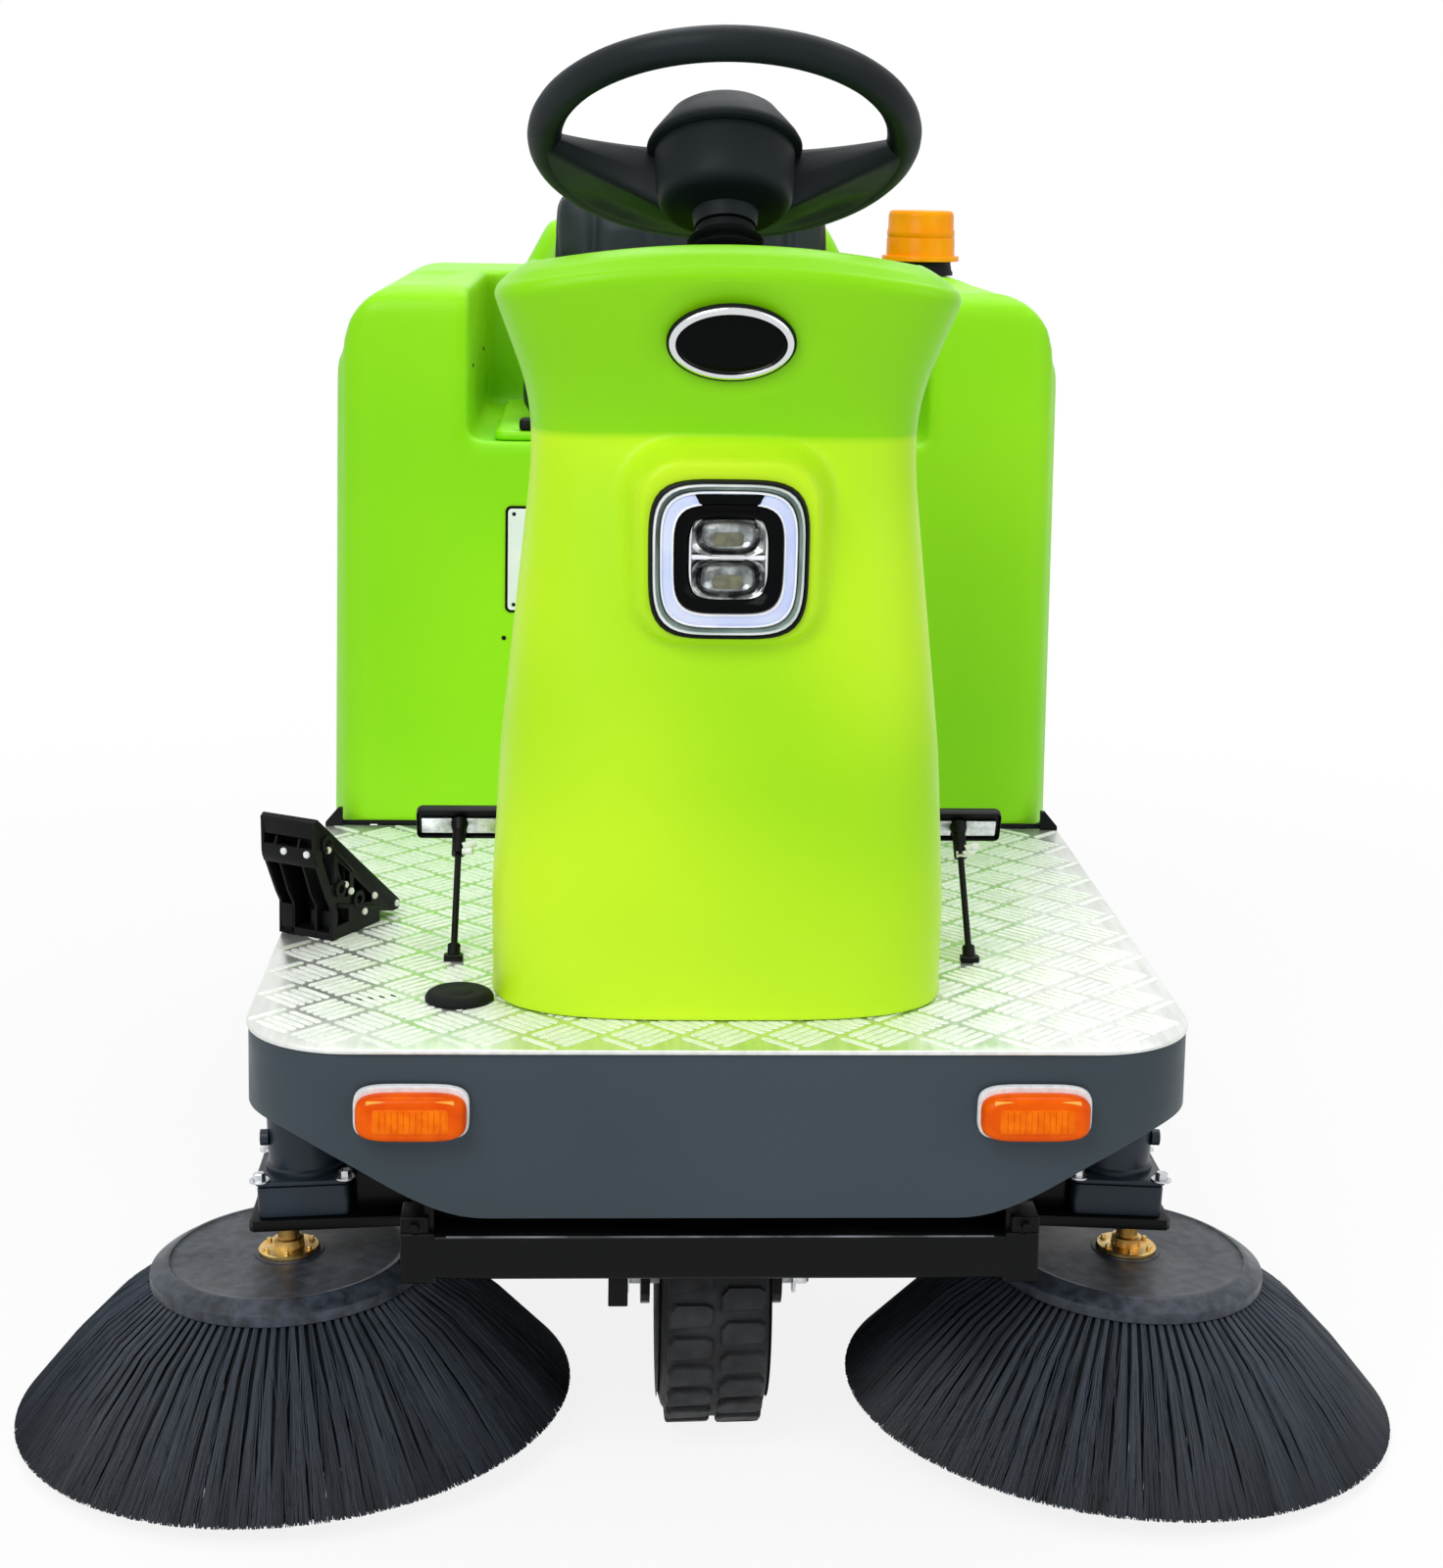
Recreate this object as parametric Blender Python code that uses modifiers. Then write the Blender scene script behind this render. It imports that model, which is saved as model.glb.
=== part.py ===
"""Ride-on electric sweeper: one steered front wheel, two side brushes, a main roller brush and a
pull-out hopper. Metres, +Z up, the front faces -Y and the driver's left is +X. The origin is on the
floor under the middle of the machine. A name ending in _Y is a distance behind the front edge of
the driver's platform, and front_y() turns it into a world coordinate."""

from math import atan2, cos, degrees, pi, radians, sin, sqrt

import bmesh
import bpy
from mathutils import Matrix, Vector

# ---- driving dimensions ---------------------------------------------------------------------
GAP = 0.0003                  # between pieces that touch
SHEET = 0.003                 # folded steel sheet
MOULDING = 0.005              # wall of the moulded body and cowl
CLEARANCE = 0.006             # around whatever moves

OVERALL_LENGTH = 1.555        # from the side bristles to the rear bumper
PLATFORM_WIDTH = 0.780
PLATFORM_LENGTH = 0.7177
PLATFORM_CORNER = 0.090
TREAD_PLATE = 0.004
APRON_SIDE_DEPTH = 0.068
APRON_FRONT_DEPTH = 0.141
APRON_FLAT_WIDTH = 0.380      # straight stretch of the apron's lower edge
APRON_STEP = 0.190            # how far the S-curve takes to rise on each side

FRONT_TYRE_RADIUS = 0.125
FRONT_TYRE_WIDTH = 0.095
STEERING_ROOM = 0.140         # from the top of the front tyre to the platform's top
PLATFORM_TOP = 2 * FRONT_TYRE_RADIUS + STEERING_ROOM
FRONT_RIM_RADIUS = 0.082
FORK_PLATE = 0.008
FORK_CROWN_GAP = 0.012
KINGPIN_RADIUS = 0.0248
AXLE_RADIUS = 0.0095
BORE_PLAY = 0.0007            # radial, between a turning bore and its pin

REAR_AXLE_Y = 1.130
REAR_TYRE_RADIUS = 0.145
REAR_TYRE_WIDTH = 0.070
REAR_RIM_RADIUS = 0.090
REAR_TRACK = 0.682            # between the middles of the rear tyres

CROSSBAR_TUBE = 0.038
CROSSBAR_Y = 0.029
CROSSBAR_Z = 0.212
CROSSBAR_WIDTH = 0.490

TYRE_TO_CROSSBAR = 0.0291143  # from the crossbar's back to the front tyre, at the bar's underside
TYRE_RISE = CROSSBAR_Z - CROSSBAR_TUBE / 2 - FRONT_TYRE_RADIUS
STEER_Y = (CROSSBAR_Y + CROSSBAR_TUBE / 2 + TYRE_TO_CROSSBAR
           + sqrt(FRONT_TYRE_RADIUS ** 2 - TYRE_RISE ** 2))

SIDE_BRUSH_Y = 0.184
SIDE_BRUSH_X = 0.370
SIDE_BRUSH_RADIUS = 0.245
SIDE_DISC_RADIUS = 0.120
SIDE_DISC_THICKNESS = 0.018
SIDE_TILT = radians(2.5)      # outer edge down
SIDE_PIVOT_X = 0.245
SIDE_PIVOT_Z = 0.206
BRISTLE_FLOOR_GAP = 0.005
PIVOT_ROD_RADIUS = 0.008
ARM_PLATE = 0.010
GEARBOX = 0.078
GEARBOX_OFFSET = 0.019        # the gearbox stands inwards of the shaft it drives
GEARBOX_HEIGHT = 0.032
MOTOR_RADIUS = 0.0325
MOTOR_HEIGHT = 0.096

MAIN_BRUSH_Y = 0.800
MAIN_BRUSH_RADIUS = 0.132
MAIN_BRUSH_WIDTH = 0.560
MAIN_BRUSH_FLOOR_GAP = 0.006

SIDE_PLATE_X = 0.296          # inner face of the rear side plates
SIDE_PLATE = 0.004
CHASSIS_REAR_Y = 1.440
REAR_FRAME_HEIGHT = 0.015

HOPPER_FRONT_Y = 0.965
HOPPER_REAR_Y = 1.452
HOPPER_BOTTOM = 0.058
HOPPER_TOP = 0.335
RAIL_REACH = 0.032            # how far the hopper's rails stand in from the side plates
SLIDE_PLAY = 0.001            # between the hopper and its rails

BODY_FRONT_Y = 0.721
BODY_REAR_Y = 1.430
BODY_WIDTH = 0.756            # at its foot
BODY_DRAFT = 0.0065           # each side leans in this much by the top
BODY_TOP = 0.961
BODY_CORNER = 0.060
FLANK_PROUD = 0.007
FLANK_TOP = 0.898
WELL_WIDTH = 0.481
WELL_DEPTH = 0.420
WELL_FILLET = 0.020
DECK_TOP = 0.799
HOOD_WIDTH = 0.400
HOOD_DEPTH = 0.170
HOOD_TOP = 1.022

LID_THICKNESS = 0.010
LID_WIDTH = WELL_WIDTH - 2 * (WELL_FILLET + CLEARANCE)
SEAT_WIDTH = 0.400
SEAT_DEPTH = 0.300
CUSHION_HEIGHT = 0.080
BACKREST_WIDTH = 0.334
BACKREST_HEIGHT = 0.176
BACKREST_DEPTH = 0.070

WHEEL_CENTRE_Y = 0.288
WHEEL_CENTRE_Z = 1.111
WHEEL_TILT = radians(29.0)    # steering wheel's axis, back from upright
WHEEL_DIAMETER = 0.344
WHEEL_RIM = 0.0150

COWL_FOOT = PLATFORM_TOP + GAP
COWL_TOP = 0.989
COWL_CROWN = 0.023
SKIRT_BOTTOM = 0.195

HALF_LENGTH = OVERALL_LENGTH / 2
BRISTLE_REACH = SIDE_BRUSH_RADIUS - SIDE_BRUSH_Y   # bristles ahead of the platform


def front_y(distance):
    """World Y of something this far behind the platform's front edge."""
    return BRISTLE_REACH - HALF_LENGTH + distance


# ---- scene, materials and shapes ------------------------------------------------------------
for old in list(bpy.data.objects):
    bpy.data.objects.remove(old, do_unlink=True)

PARTS = bpy.data.collections.new("ride_on_sweeper")
CUTTERS = bpy.data.collections.new("cutters")
bpy.context.scene.collection.children.link(PARTS)
bpy.context.scene.collection.children.link(CUTTERS)

FINISHES = {                  # name: colour, roughness, metallic
    "lime_moulding": ((0.35, 0.74, 0.02), 0.42, 0.0),
    "slate_paint": ((0.048, 0.062, 0.075), 0.45, 0.0),
    "black_paint": ((0.012, 0.013, 0.015), 0.50, 0.0),
    "tread_aluminium": ((0.80, 0.81, 0.80), 0.35, 1.0),
    "black_plastic": ((0.015, 0.017, 0.020), 0.50, 0.0),
    "bristle": ((0.020, 0.022, 0.028), 0.55, 0.0),
    "tyre_rubber": ((0.016, 0.016, 0.017), 0.80, 0.0),
    "leatherette": ((0.018, 0.020, 0.022), 0.50, 0.0),
    "zinc": ((0.60, 0.44, 0.20), 0.35, 1.0),
    "steel": ((0.50, 0.50, 0.50), 0.40, 1.0),
    "chrome": ((0.80, 0.80, 0.80), 0.10, 1.0),
    "amber_lens": ((0.90, 0.25, 0.01), 0.15, 0.0),
    "red_lens": ((0.55, 0.01, 0.01), 0.15, 0.0),
    "clear_lens": ((0.75, 0.78, 0.82), 0.08, 0.0),
    "white_plate": ((0.80, 0.80, 0.80), 0.40, 0.0),
    "silver_paint": ((0.42, 0.43, 0.44), 0.35, 0.0),
}


def material(finish):
    """The Principled material of this finish, made the first time it is asked for."""
    found = bpy.data.materials.get(finish)
    if found:
        return found
    colour, roughness, metallic = FINISHES[finish]
    made = bpy.data.materials.new(finish)
    made.use_nodes = True
    shader = made.node_tree.nodes["Principled BSDF"]
    shader.inputs["Base Color"].default_value = (*colour, 1.0)
    shader.inputs["Roughness"].default_value = roughness
    shader.inputs["Metallic"].default_value = metallic
    return made


def place(name, mesh, finish=None, at=(0, 0, 0), turn=(0, 0, 0), parent=None):
    """Link a mesh as a part, or as a hidden cutter where it has no finish."""
    made = bpy.data.objects.new(name, mesh)
    made.location = at
    made.rotation_euler = turn
    made.parent = parent
    if finish:
        mesh.materials.append(material(finish))
        PARTS.objects.link(made)
    else:
        made.hide_render = True
        made.display_type = "WIRE"
        CUTTERS.objects.link(made)
    return made


def pivot(name, at, turn=(0, 0, 0), parent=None):
    """An empty on a joint's axis, which carries the pieces that move there."""
    made = bpy.data.objects.new(name, None)
    made.location = at
    made.rotation_euler = turn
    made.parent = parent
    PARTS.objects.link(made)
    return made


def mesh_from(build):
    """A mesh filled by a function that is given an empty bmesh."""
    shape = bmesh.new()
    build(shape)
    mesh = bpy.data.meshes.new("shape")
    shape.to_mesh(mesh)
    shape.free()
    return mesh


def block(name, x, y, z, finish=None, round_edges=0.0, steps=3, open_foot=False, draft=0.0, **where):
    """A box between (low, high) pairs. round_edges bevels all edges, but not those of an open foot,
    and draft narrows the top at both sides."""
    spans = (x, y, z)

    def build(shape):
        bmesh.ops.create_cube(shape, size=1.0)
        for corner in shape.verts:
            side = [1 if value > 0 else 0 for value in corner.co]
            corner.co = [span[end] for span, end in zip(spans, side)]
            corner.co.x += draft * side[2] * (1 - 2 * side[0])
        if round_edges:
            low = min(z) + 1e-6
            edges = [e for e in shape.edges if not open_foot or max(v.co.z for v in e.verts) > low]
            bmesh.ops.bevel(shape, geom=edges, offset=round_edges, segments=steps, profile=0.5,
                            affect="EDGES", clamp_overlap=True)

    return place(name, mesh_from(build), finish, **where)


def rod(name, radius, start, end, finish=None, sides=24, end_radius=None, **where):
    """A round bar, or a cone, from one point to another."""
    start, end = Vector(start), Vector(end)
    along = end - start
    turn = along.to_track_quat("Z", "Y").to_matrix().to_4x4()

    def build(shape):
        bmesh.ops.create_cone(shape, cap_ends=True, segments=sides, radius1=radius,
                              radius2=radius if end_radius is None else end_radius,
                              depth=along.length, matrix=Matrix.Translation((start + end) / 2) @ turn)

    return place(name, mesh_from(build), finish, **where)


def turned(name, profile, finish=None, sides=32, ring=False, flat_down=False, **where):
    """A profile of (radius, height) turned about Z. It runs down its outer side. A ring's profile
    is a loop clear of the axis. flat_down makes the radius that of the flats, with one flat, and
    not a corner, on the -X side, which is the underside of a wheel laid along X."""
    half_step = pi / sides if flat_down else 0.0
    reach = 1 / cos(half_step)
    mesh = bpy.data.meshes.new("profile")
    points = [(r * reach * cos(half_step), r * reach * sin(half_step), h) for r, h in profile]
    edges = [(i, i + 1) for i in range(len(points) - 1)]
    if ring:
        edges.append((len(points) - 1, 0))
    mesh.from_pydata(points, edges, [])
    made = place(name, mesh, finish, **where)
    screw = made.modifiers.new("turn", "SCREW")
    screw.steps = sides
    screw.render_steps = sides
    screw.use_merge_vertices = True
    screw.merge_threshold = 0.00005
    screw.use_smooth_shade = True
    return made


def arc(centre, radius, start, end, steps=6):
    """Points along an arc, in degrees, both ends included."""
    angles = [radians(start + (end - start) * i / steps) for i in range(steps + 1)]
    return [(centre[0] + radius * cos(a), centre[1] + radius * sin(a)) for a in angles]


def rounded_outline(width, depth, radius, steps=4):
    """A rectangle about (0, 0) with four round corners."""
    x, y = width / 2 - radius, depth / 2 - radius
    corners = ((x, y, 0), (-x, y, 90), (-x, -y, 180), (x, -y, 270))
    return [p for cx, cy, a in corners for p in arc((cx, cy), radius, a, a + 90, steps)]


def slab(name, outline, thickness, finish=None, **where):
    """A flat outline filled and extruded, centred on its own XY plane."""
    curve = bpy.data.curves.new("outline", "CURVE")
    curve.dimensions = "2D"
    curve.fill_mode = "BOTH"
    curve.extrude = thickness / 2
    spline = curve.splines.new("POLY")
    spline.points.add(len(outline) - 1)
    for point, (x, y) in zip(spline.points, outline):
        point.co = (x, y, 0, 1)
    spline.use_cyclic_u = True
    drawn = bpy.data.objects.new("outline", curve)
    CUTTERS.objects.link(drawn)
    bpy.context.view_layer.update()
    mesh = bpy.data.meshes.new_from_object(drawn.evaluated_get(bpy.context.evaluated_depsgraph_get()))
    bpy.data.objects.remove(drawn, do_unlink=True)
    weld(mesh)
    return place(name, mesh, finish, **where)


def weld(mesh):
    """Close the loose caps of a mesh that came from a curve."""
    shape = bmesh.new()
    shape.from_mesh(mesh)
    bmesh.ops.remove_doubles(shape, verts=shape.verts, dist=1e-5)
    bmesh.ops.recalc_face_normals(shape, faces=shape.faces)
    shape.to_mesh(mesh)
    shape.free()


def tube(name, points, radius, finish=None, **where):
    """A bar bent through these points."""
    curve = bpy.data.curves.new("bar", "CURVE")
    curve.dimensions = "3D"
    curve.bevel_depth = radius
    curve.bevel_resolution = 2
    curve.use_fill_caps = True
    spline = curve.splines.new("POLY")
    spline.points.add(len(points) - 1)
    for point, position in zip(spline.points, points):
        point.co = (*position, 1)
    drawn = bpy.data.objects.new("bar", curve)
    CUTTERS.objects.link(drawn)
    bpy.context.view_layer.update()
    mesh = bpy.data.meshes.new_from_object(drawn.evaluated_get(bpy.context.evaluated_depsgraph_get()))
    bpy.data.objects.remove(drawn, do_unlink=True)
    weld(mesh)
    return place(name, mesh, finish, **where)


def combine(piece, other, operation):
    """Boolean another object into this one. The other stays as a hidden cutter."""
    change = piece.modifiers.new(operation.lower(), "BOOLEAN")
    change.operation = operation
    change.object = other
    return piece


def cut(piece, *cutters):
    for cutter in cutters:
        combine(piece, cutter, "DIFFERENCE")
    return piece


def join(piece, *others):
    for other in others:
        combine(piece, other, "UNION")
    return piece


ALONG_X = (0, pi / 2, 0)              # turns a profile's axis from Z to X
ON_SIDE = (pi / 2, 0, pi / 2)         # an outline drawn in (Y, Z), thickness along X
ON_FRONT = (pi / 2, 0, 0)             # an outline drawn in (X, Z), thickness along -Y
SIDES = (("right", -1), ("left", 1))  # the driver's sides and their signs along X


# ---- platform and chassis -------------------------------------------------------------------
def platform_outline(inset, rear):
    """The platform's edge seen from above, with round front corners, from rear left forwards."""
    half = PLATFORM_WIDTH / 2 - inset
    radius = PLATFORM_CORNER - inset
    middle = half - radius
    left = arc((middle, PLATFORM_CORNER), radius, 0, -90)
    right = arc((-middle, PLATFORM_CORNER), radius, -90, -180)
    return [(half, rear), *left, *right, (-half, rear)]


def apron_low_edge(x):
    """Height of the apron's lower edge: deep across the front, rising in an S towards the sides."""
    share = (abs(x) - APRON_FLAT_WIDTH / 2) / APRON_STEP
    share = min(max(share, 0.0), 1.0)
    rise = (1 - cos(pi * share)) / 2
    depth = APRON_FRONT_DEPTH + (APRON_SIDE_DEPTH - APRON_FRONT_DEPTH) * rise
    return PLATFORM_TOP - depth


def tread_plate():
    plate = slab("tread_plate", platform_outline(0, PLATFORM_LENGTH), TREAD_PLATE, "tread_aluminium",
                 at=(0, front_y(0), PLATFORM_TOP - TREAD_PLATE / 2))
    hole = rod("plate_hole", KINGPIN_RADIUS + CLEARANCE, (0, front_y(STEER_Y), PLATFORM_TOP - 0.02),
               (0, front_y(STEER_Y), PLATFORM_TOP + 0.02))
    return cut(plate, hole)


def front_apron():
    """The painted sheet round the platform, with an S-curve along its lower edge."""
    outline = platform_outline(SHEET / 2, PLATFORM_LENGTH)
    front = [i for i, p in enumerate(outline) if p[1] < SHEET]
    across = 36
    low, high = outline[front[-1]][0], outline[front[0]][0]
    straight = [(high + (low - high) * i / across, SHEET / 2) for i in range(1, across)]
    path = outline[:front[0] + 1] + straight + outline[front[-1]:]
    top = PLATFORM_TOP - TREAD_PLATE - GAP

    def build(shape):
        upper = [shape.verts.new((x, y, top)) for x, y in path]
        lower = [shape.verts.new((x, y, apron_low_edge(x))) for x, y in path]
        for i in range(len(path) - 1):
            shape.faces.new((upper[i], upper[i + 1], lower[i + 1], lower[i]))
        bmesh.ops.recalc_face_normals(shape, faces=shape.faces)

    apron = place("front_apron", mesh_from(build), "slate_paint", at=(0, front_y(0), 0))
    wall = apron.modifiers.new("sheet", "SOLIDIFY")
    wall.thickness = SHEET
    wall.offset = 0
    wall.use_even_offset = True
    return apron


RAIL_TOP = PLATFORM_TOP - TREAD_PLATE - GAP
RAIL_HEIGHT = 0.040
RAIL_X = (0.250, 0.282)
HEAD_CROSS_Y = (STEER_Y - 0.082, STEER_Y + 0.063)
CROSS_WIDTH = 0.030


def platform_frame():
    """The ladder of rails and cross members under the platform."""
    z = (RAIL_TOP - RAIL_HEIGHT, RAIL_TOP)
    y = (front_y(0.070), front_y(0.700))
    frame = block("platform_frame", RAIL_X, y, z, "black_paint")
    pieces = [block("rail", (-RAIL_X[1], -RAIL_X[0]), y, z)]
    for start in (*HEAD_CROSS_Y, 0.660):
        pieces.append(block("cross", (-RAIL_X[0] - 0.01, RAIL_X[0] + 0.01),
                            (front_y(start), front_y(start + CROSS_WIDTH)), z))
    return join(frame, *pieces)


HEAD_PLATE = 0.008
HEAD_TUBE_RADIUS = 0.036
HEAD_BOTTOM = 2 * FRONT_TYRE_RADIUS + FORK_CROWN_GAP + 0.028


def steering_head():
    """The bearing tube that the front fork turns in, hung from the cross members."""
    top = RAIL_TOP - RAIL_HEIGHT - GAP
    head = block("steering_head", (-0.090, 0.090), (front_y(HEAD_CROSS_Y[0]),
                 front_y(HEAD_CROSS_Y[1] + CROSS_WIDTH)), (top - HEAD_PLATE, top), "black_paint")
    collar = rod("head_tube", HEAD_TUBE_RADIUS, (0, front_y(STEER_Y), HEAD_BOTTOM),
                 (0, front_y(STEER_Y), top - HEAD_PLATE / 2), sides=32)
    bore = rod("head_bore", KINGPIN_RADIUS + BORE_PLAY, (0, front_y(STEER_Y), HEAD_BOTTOM - 0.01),
               (0, front_y(STEER_Y), top + 0.01), sides=32)
    return cut(join(head, collar), bore)


def side_plates():
    """The two upright plates that carry the rear wheels and main brush, each with a hopper rail."""
    top = PLATFORM_TOP - GAP - REAR_FRAME_HEIGHT - GAP
    low, high, nose = 0.640, CHASSIS_REAR_Y, 0.080
    foot = HOPPER_BOTTOM - 0.012
    outline = [(low, top), (low, 0.140), (low + nose, foot), (high, foot), (high, top)]
    for name, side in SIDES:
        plate = slab("side_plate_" + name, outline, SIDE_PLATE, "slate_paint", turn=ON_SIDE,
                     at=(side * (SIDE_PLATE_X + SIDE_PLATE / 2), front_y(0), 0))
        reach = sorted((side * (SIDE_PLATE_X + SIDE_PLATE / 2), side * (SIDE_PLATE_X - RAIL_REACH)))
        join(plate, block("hopper_rail", reach, (front_y(HOPPER_FRONT_Y + 0.010), front_y(high - 0.004)),
                          (HOPPER_BOTTOM - SLIDE_PLAY - 0.004, HOPPER_BOTTOM - SLIDE_PLAY)))


def rear_frame():
    """The flat frame on the side plates that carries the body and the battery."""
    z = (PLATFORM_TOP - GAP - REAR_FRAME_HEIGHT, PLATFORM_TOP - GAP)
    outer = SIDE_PLATE_X + SIDE_PLATE
    y = (front_y(BODY_FRONT_Y), front_y(CHASSIS_REAR_Y))
    frame = block("rear_frame", (outer - 0.040, outer), y, z, "black_paint")
    pieces = [block("rear_rail", (-outer, 0.040 - outer), y, z)]
    for start in (BODY_FRONT_Y, 0.980, CHASSIS_REAR_Y - 0.040):
        pieces.append(block("rear_cross", (0.02 - outer, outer - 0.02),
                            (front_y(start), front_y(start + 0.040)), z))
    return join(frame, *pieces)


def side_skirts():
    """The painted sheets that close the chassis below the body, each with a round wheel arch."""
    low, high = BODY_FRONT_Y + 0.006, CHASSIS_REAR_Y
    top = PLATFORM_TOP - 2 * GAP
    arch = REAR_TYRE_RADIUS + 3 * CLEARANCE
    rise = SKIRT_BOTTOM - REAR_TYRE_RADIUS
    start = degrees(atan2(rise, sqrt(arch ** 2 - rise ** 2)))
    round_top = arc((REAR_AXLE_Y, REAR_TYRE_RADIUS), arch, 180 - start, start, 12)
    outline = [(low, top), (low, SKIRT_BOTTOM), *round_top, (high, SKIRT_BOTTOM), (high, top)]
    x = BODY_WIDTH / 2 - SHEET / 2
    for name, side in SIDES:
        slab("side_skirt_" + name, outline, SHEET, "slate_paint", turn=ON_SIDE,
             at=(side * x, front_y(0), 0))


def battery_pack():
    return block("battery_pack", (-0.240, 0.240), (front_y(0.790), front_y(1.110)),
                 (PLATFORM_TOP, PLATFORM_TOP + 0.235), "black_plastic", round_edges=0.008, steps=1)


BUMPER_REAR_Y = OVERALL_LENGTH - BRISTLE_REACH


def rear_bumper():
    """A rounded bar across the back, above the hopper."""
    return block("rear_bumper", (-0.360, 0.360), (front_y(BODY_REAR_Y + 0.012), front_y(BUMPER_REAR_Y)),
                 (0.345, 0.425), "black_plastic", round_edges=0.016)


# ---- front wheel, fork and steering ---------------------------------------------------------
FORK_INSIDE = FRONT_TYRE_WIDTH / 2 + CLEARANCE
WHEEL_SIDES = 40              # facets round a tyre or rim


def tyre(name, radius, width, rim_radius, parent):
    """A ring with round shoulders, laid along X, standing on one of its flats."""
    half = width / 2
    shoulder = 0.014
    bead = half - 0.010
    side = [(rim_radius, bead), (rim_radius + 0.012, half), (radius - shoulder, half),
            (radius - 0.004, half - 0.007), (radius, half - shoulder)]
    lower = [(r, -h) for r, h in reversed(side)]
    return turned(name, side + lower, "tyre_rubber", sides=WHEEL_SIDES, ring=True, flat_down=True,
                  turn=ALONG_X, parent=parent)


def rim(name, radius, width, hub_radius, hub_width, finish, parent):
    """A dished wheel disc with a hub, bored for its axle."""
    half, hub = width / 2, hub_width / 2
    bore = AXLE_RADIUS + BORE_PLAY
    seat = radius - GAP
    profile = [(bore, hub), (hub_radius, hub), (hub_radius, 0.010), (seat - 0.010, 0.010),
               (seat - 0.006, half), (seat, half), (seat, -half), (seat - 0.006, -half),
               (seat - 0.010, -0.010), (hub_radius, -0.010), (hub_radius, -hub), (bore, -hub)]
    return turned(name, profile, finish, sides=WHEEL_SIDES, ring=True, flat_down=True, turn=ALONG_X,
                  parent=parent)


def front_wheel(fork):
    """Tyre and hub motor on an axle between the fork's plates."""
    spin = pivot("front_wheel_axis", (0, 0, FRONT_TYRE_RADIUS), parent=fork)
    tyre("front_tyre", FRONT_TYRE_RADIUS, FRONT_TYRE_WIDTH, FRONT_RIM_RADIUS, spin)
    rim("front_rim", FRONT_RIM_RADIUS, FRONT_TYRE_WIDTH - 0.024, 0.040, 0.080, "steel", spin)
    reach = FORK_INSIDE + FORK_PLATE + 0.010
    rod("front_axle", AXLE_RADIUS, (-reach, 0, FRONT_TYRE_RADIUS), (reach, 0, FRONT_TYRE_RADIUS),
        "steel", parent=fork)


def steering_fork():
    """Two plates, a crown over the tyre and the kingpin, welded into one."""
    fork = pivot("front_fork_axis", (0, front_y(STEER_Y), 0))
    crown = 2 * FRONT_TYRE_RADIUS + FORK_CROWN_GAP
    outside = FORK_INSIDE + FORK_PLATE
    yoke = block("steering_fork", (-outside, outside), (-0.036, 0.036), (crown, crown + 0.012),
                 "black_paint", parent=fork)
    leg = [(-0.026, crown + 0.006), (-0.026, FRONT_TYRE_RADIUS),
           *arc((0, FRONT_TYRE_RADIUS), 0.026, 180, 360, 8)[1:], (0.026, crown + 0.006)]
    for side in (-1, 1):
        plate = slab("fork_leg", leg, FORK_PLATE, turn=ON_SIDE, parent=fork,
                     at=(side * (FORK_INSIDE + FORK_PLATE / 2), 0, 0))
        join(yoke, plate)
    collar = rod("fork_collar", 0.046, (0, 0, crown + 0.006), (0, 0, HEAD_BOTTOM - 0.001), sides=32,
                 parent=fork)
    kingpin = rod("kingpin", KINGPIN_RADIUS, (0, 0, crown + 0.006), (0, 0, RAIL_TOP - 0.004), sides=32,
                  parent=fork)
    hole = rod("axle_hole", AXLE_RADIUS + GAP, (-0.1, 0, FRONT_TYRE_RADIUS),
               (0.1, 0, FRONT_TYRE_RADIUS), parent=fork)
    cut(join(yoke, collar, kingpin), hole)
    front_wheel(fork)


def wheel_frame(distance):
    """A point along the steering wheel's axis, from the middle of the wheel."""
    return (0, front_y(WHEEL_CENTRE_Y) + distance * sin(WHEEL_TILT),
            WHEEL_CENTRE_Z + distance * cos(WHEEL_TILT))


HUB_RADIUS = 0.065
COLUMN_RADIUS = 0.019


def steering_wheel():
    """Rim, round hub and a crescent of spokes across the lower half, moulded as one."""
    turn = pivot("steering_wheel_axis", wheel_frame(0), (-WHEEL_TILT, 0, 0))
    ring = WHEEL_DIAMETER / 2 - WHEEL_RIM

    def build(shape):
        around, section = 36, 8
        loops = []
        for i in range(around):
            a = 2 * pi * i / around
            loops.append([shape.verts.new(((ring + WHEEL_RIM * cos(b)) * cos(a),
                                           (ring + WHEEL_RIM * cos(b)) * sin(a), WHEEL_RIM * sin(b)))
                          for b in (2 * pi * j / section for j in range(section))])
        for i in range(around):
            here, there = loops[i], loops[(i + 1) % around]
            for j in range(section):
                k = (j + 1) % section
                shape.faces.new((here[j], there[j], there[k], here[k]))

    wheel = place("steering_wheel", mesh_from(build), "black_plastic", parent=turn)
    hub = turned("wheel_hub", [(0, 0.018), (0.050, 0.016), (HUB_RADIUS, 0.008), (HUB_RADIUS, -0.012),
                               (0.058, -0.040), (0.036, -0.070), (0.030, -0.086), (0, -0.086)],
                 parent=turn)
    lower = arc((0, 0), ring, 0, 180, 20)
    upper = [(-ring, -0.018), (ring, -0.018)]
    spokes = slab("wheel_spokes", lower + upper, 0.014, parent=turn, at=(0, 0, -0.004))
    for side in (-1, 1):
        slot = arc((0, 0), 0.134, 40, 70, 6) + arc((0, 0), 0.098, 66, 44, 6)
        slot = [(side * x, y) for x, y in slot]
        cut(spokes, slab("spoke_slot", slot, 0.060, parent=turn))
    return join(wheel, spokes, hub)


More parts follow.
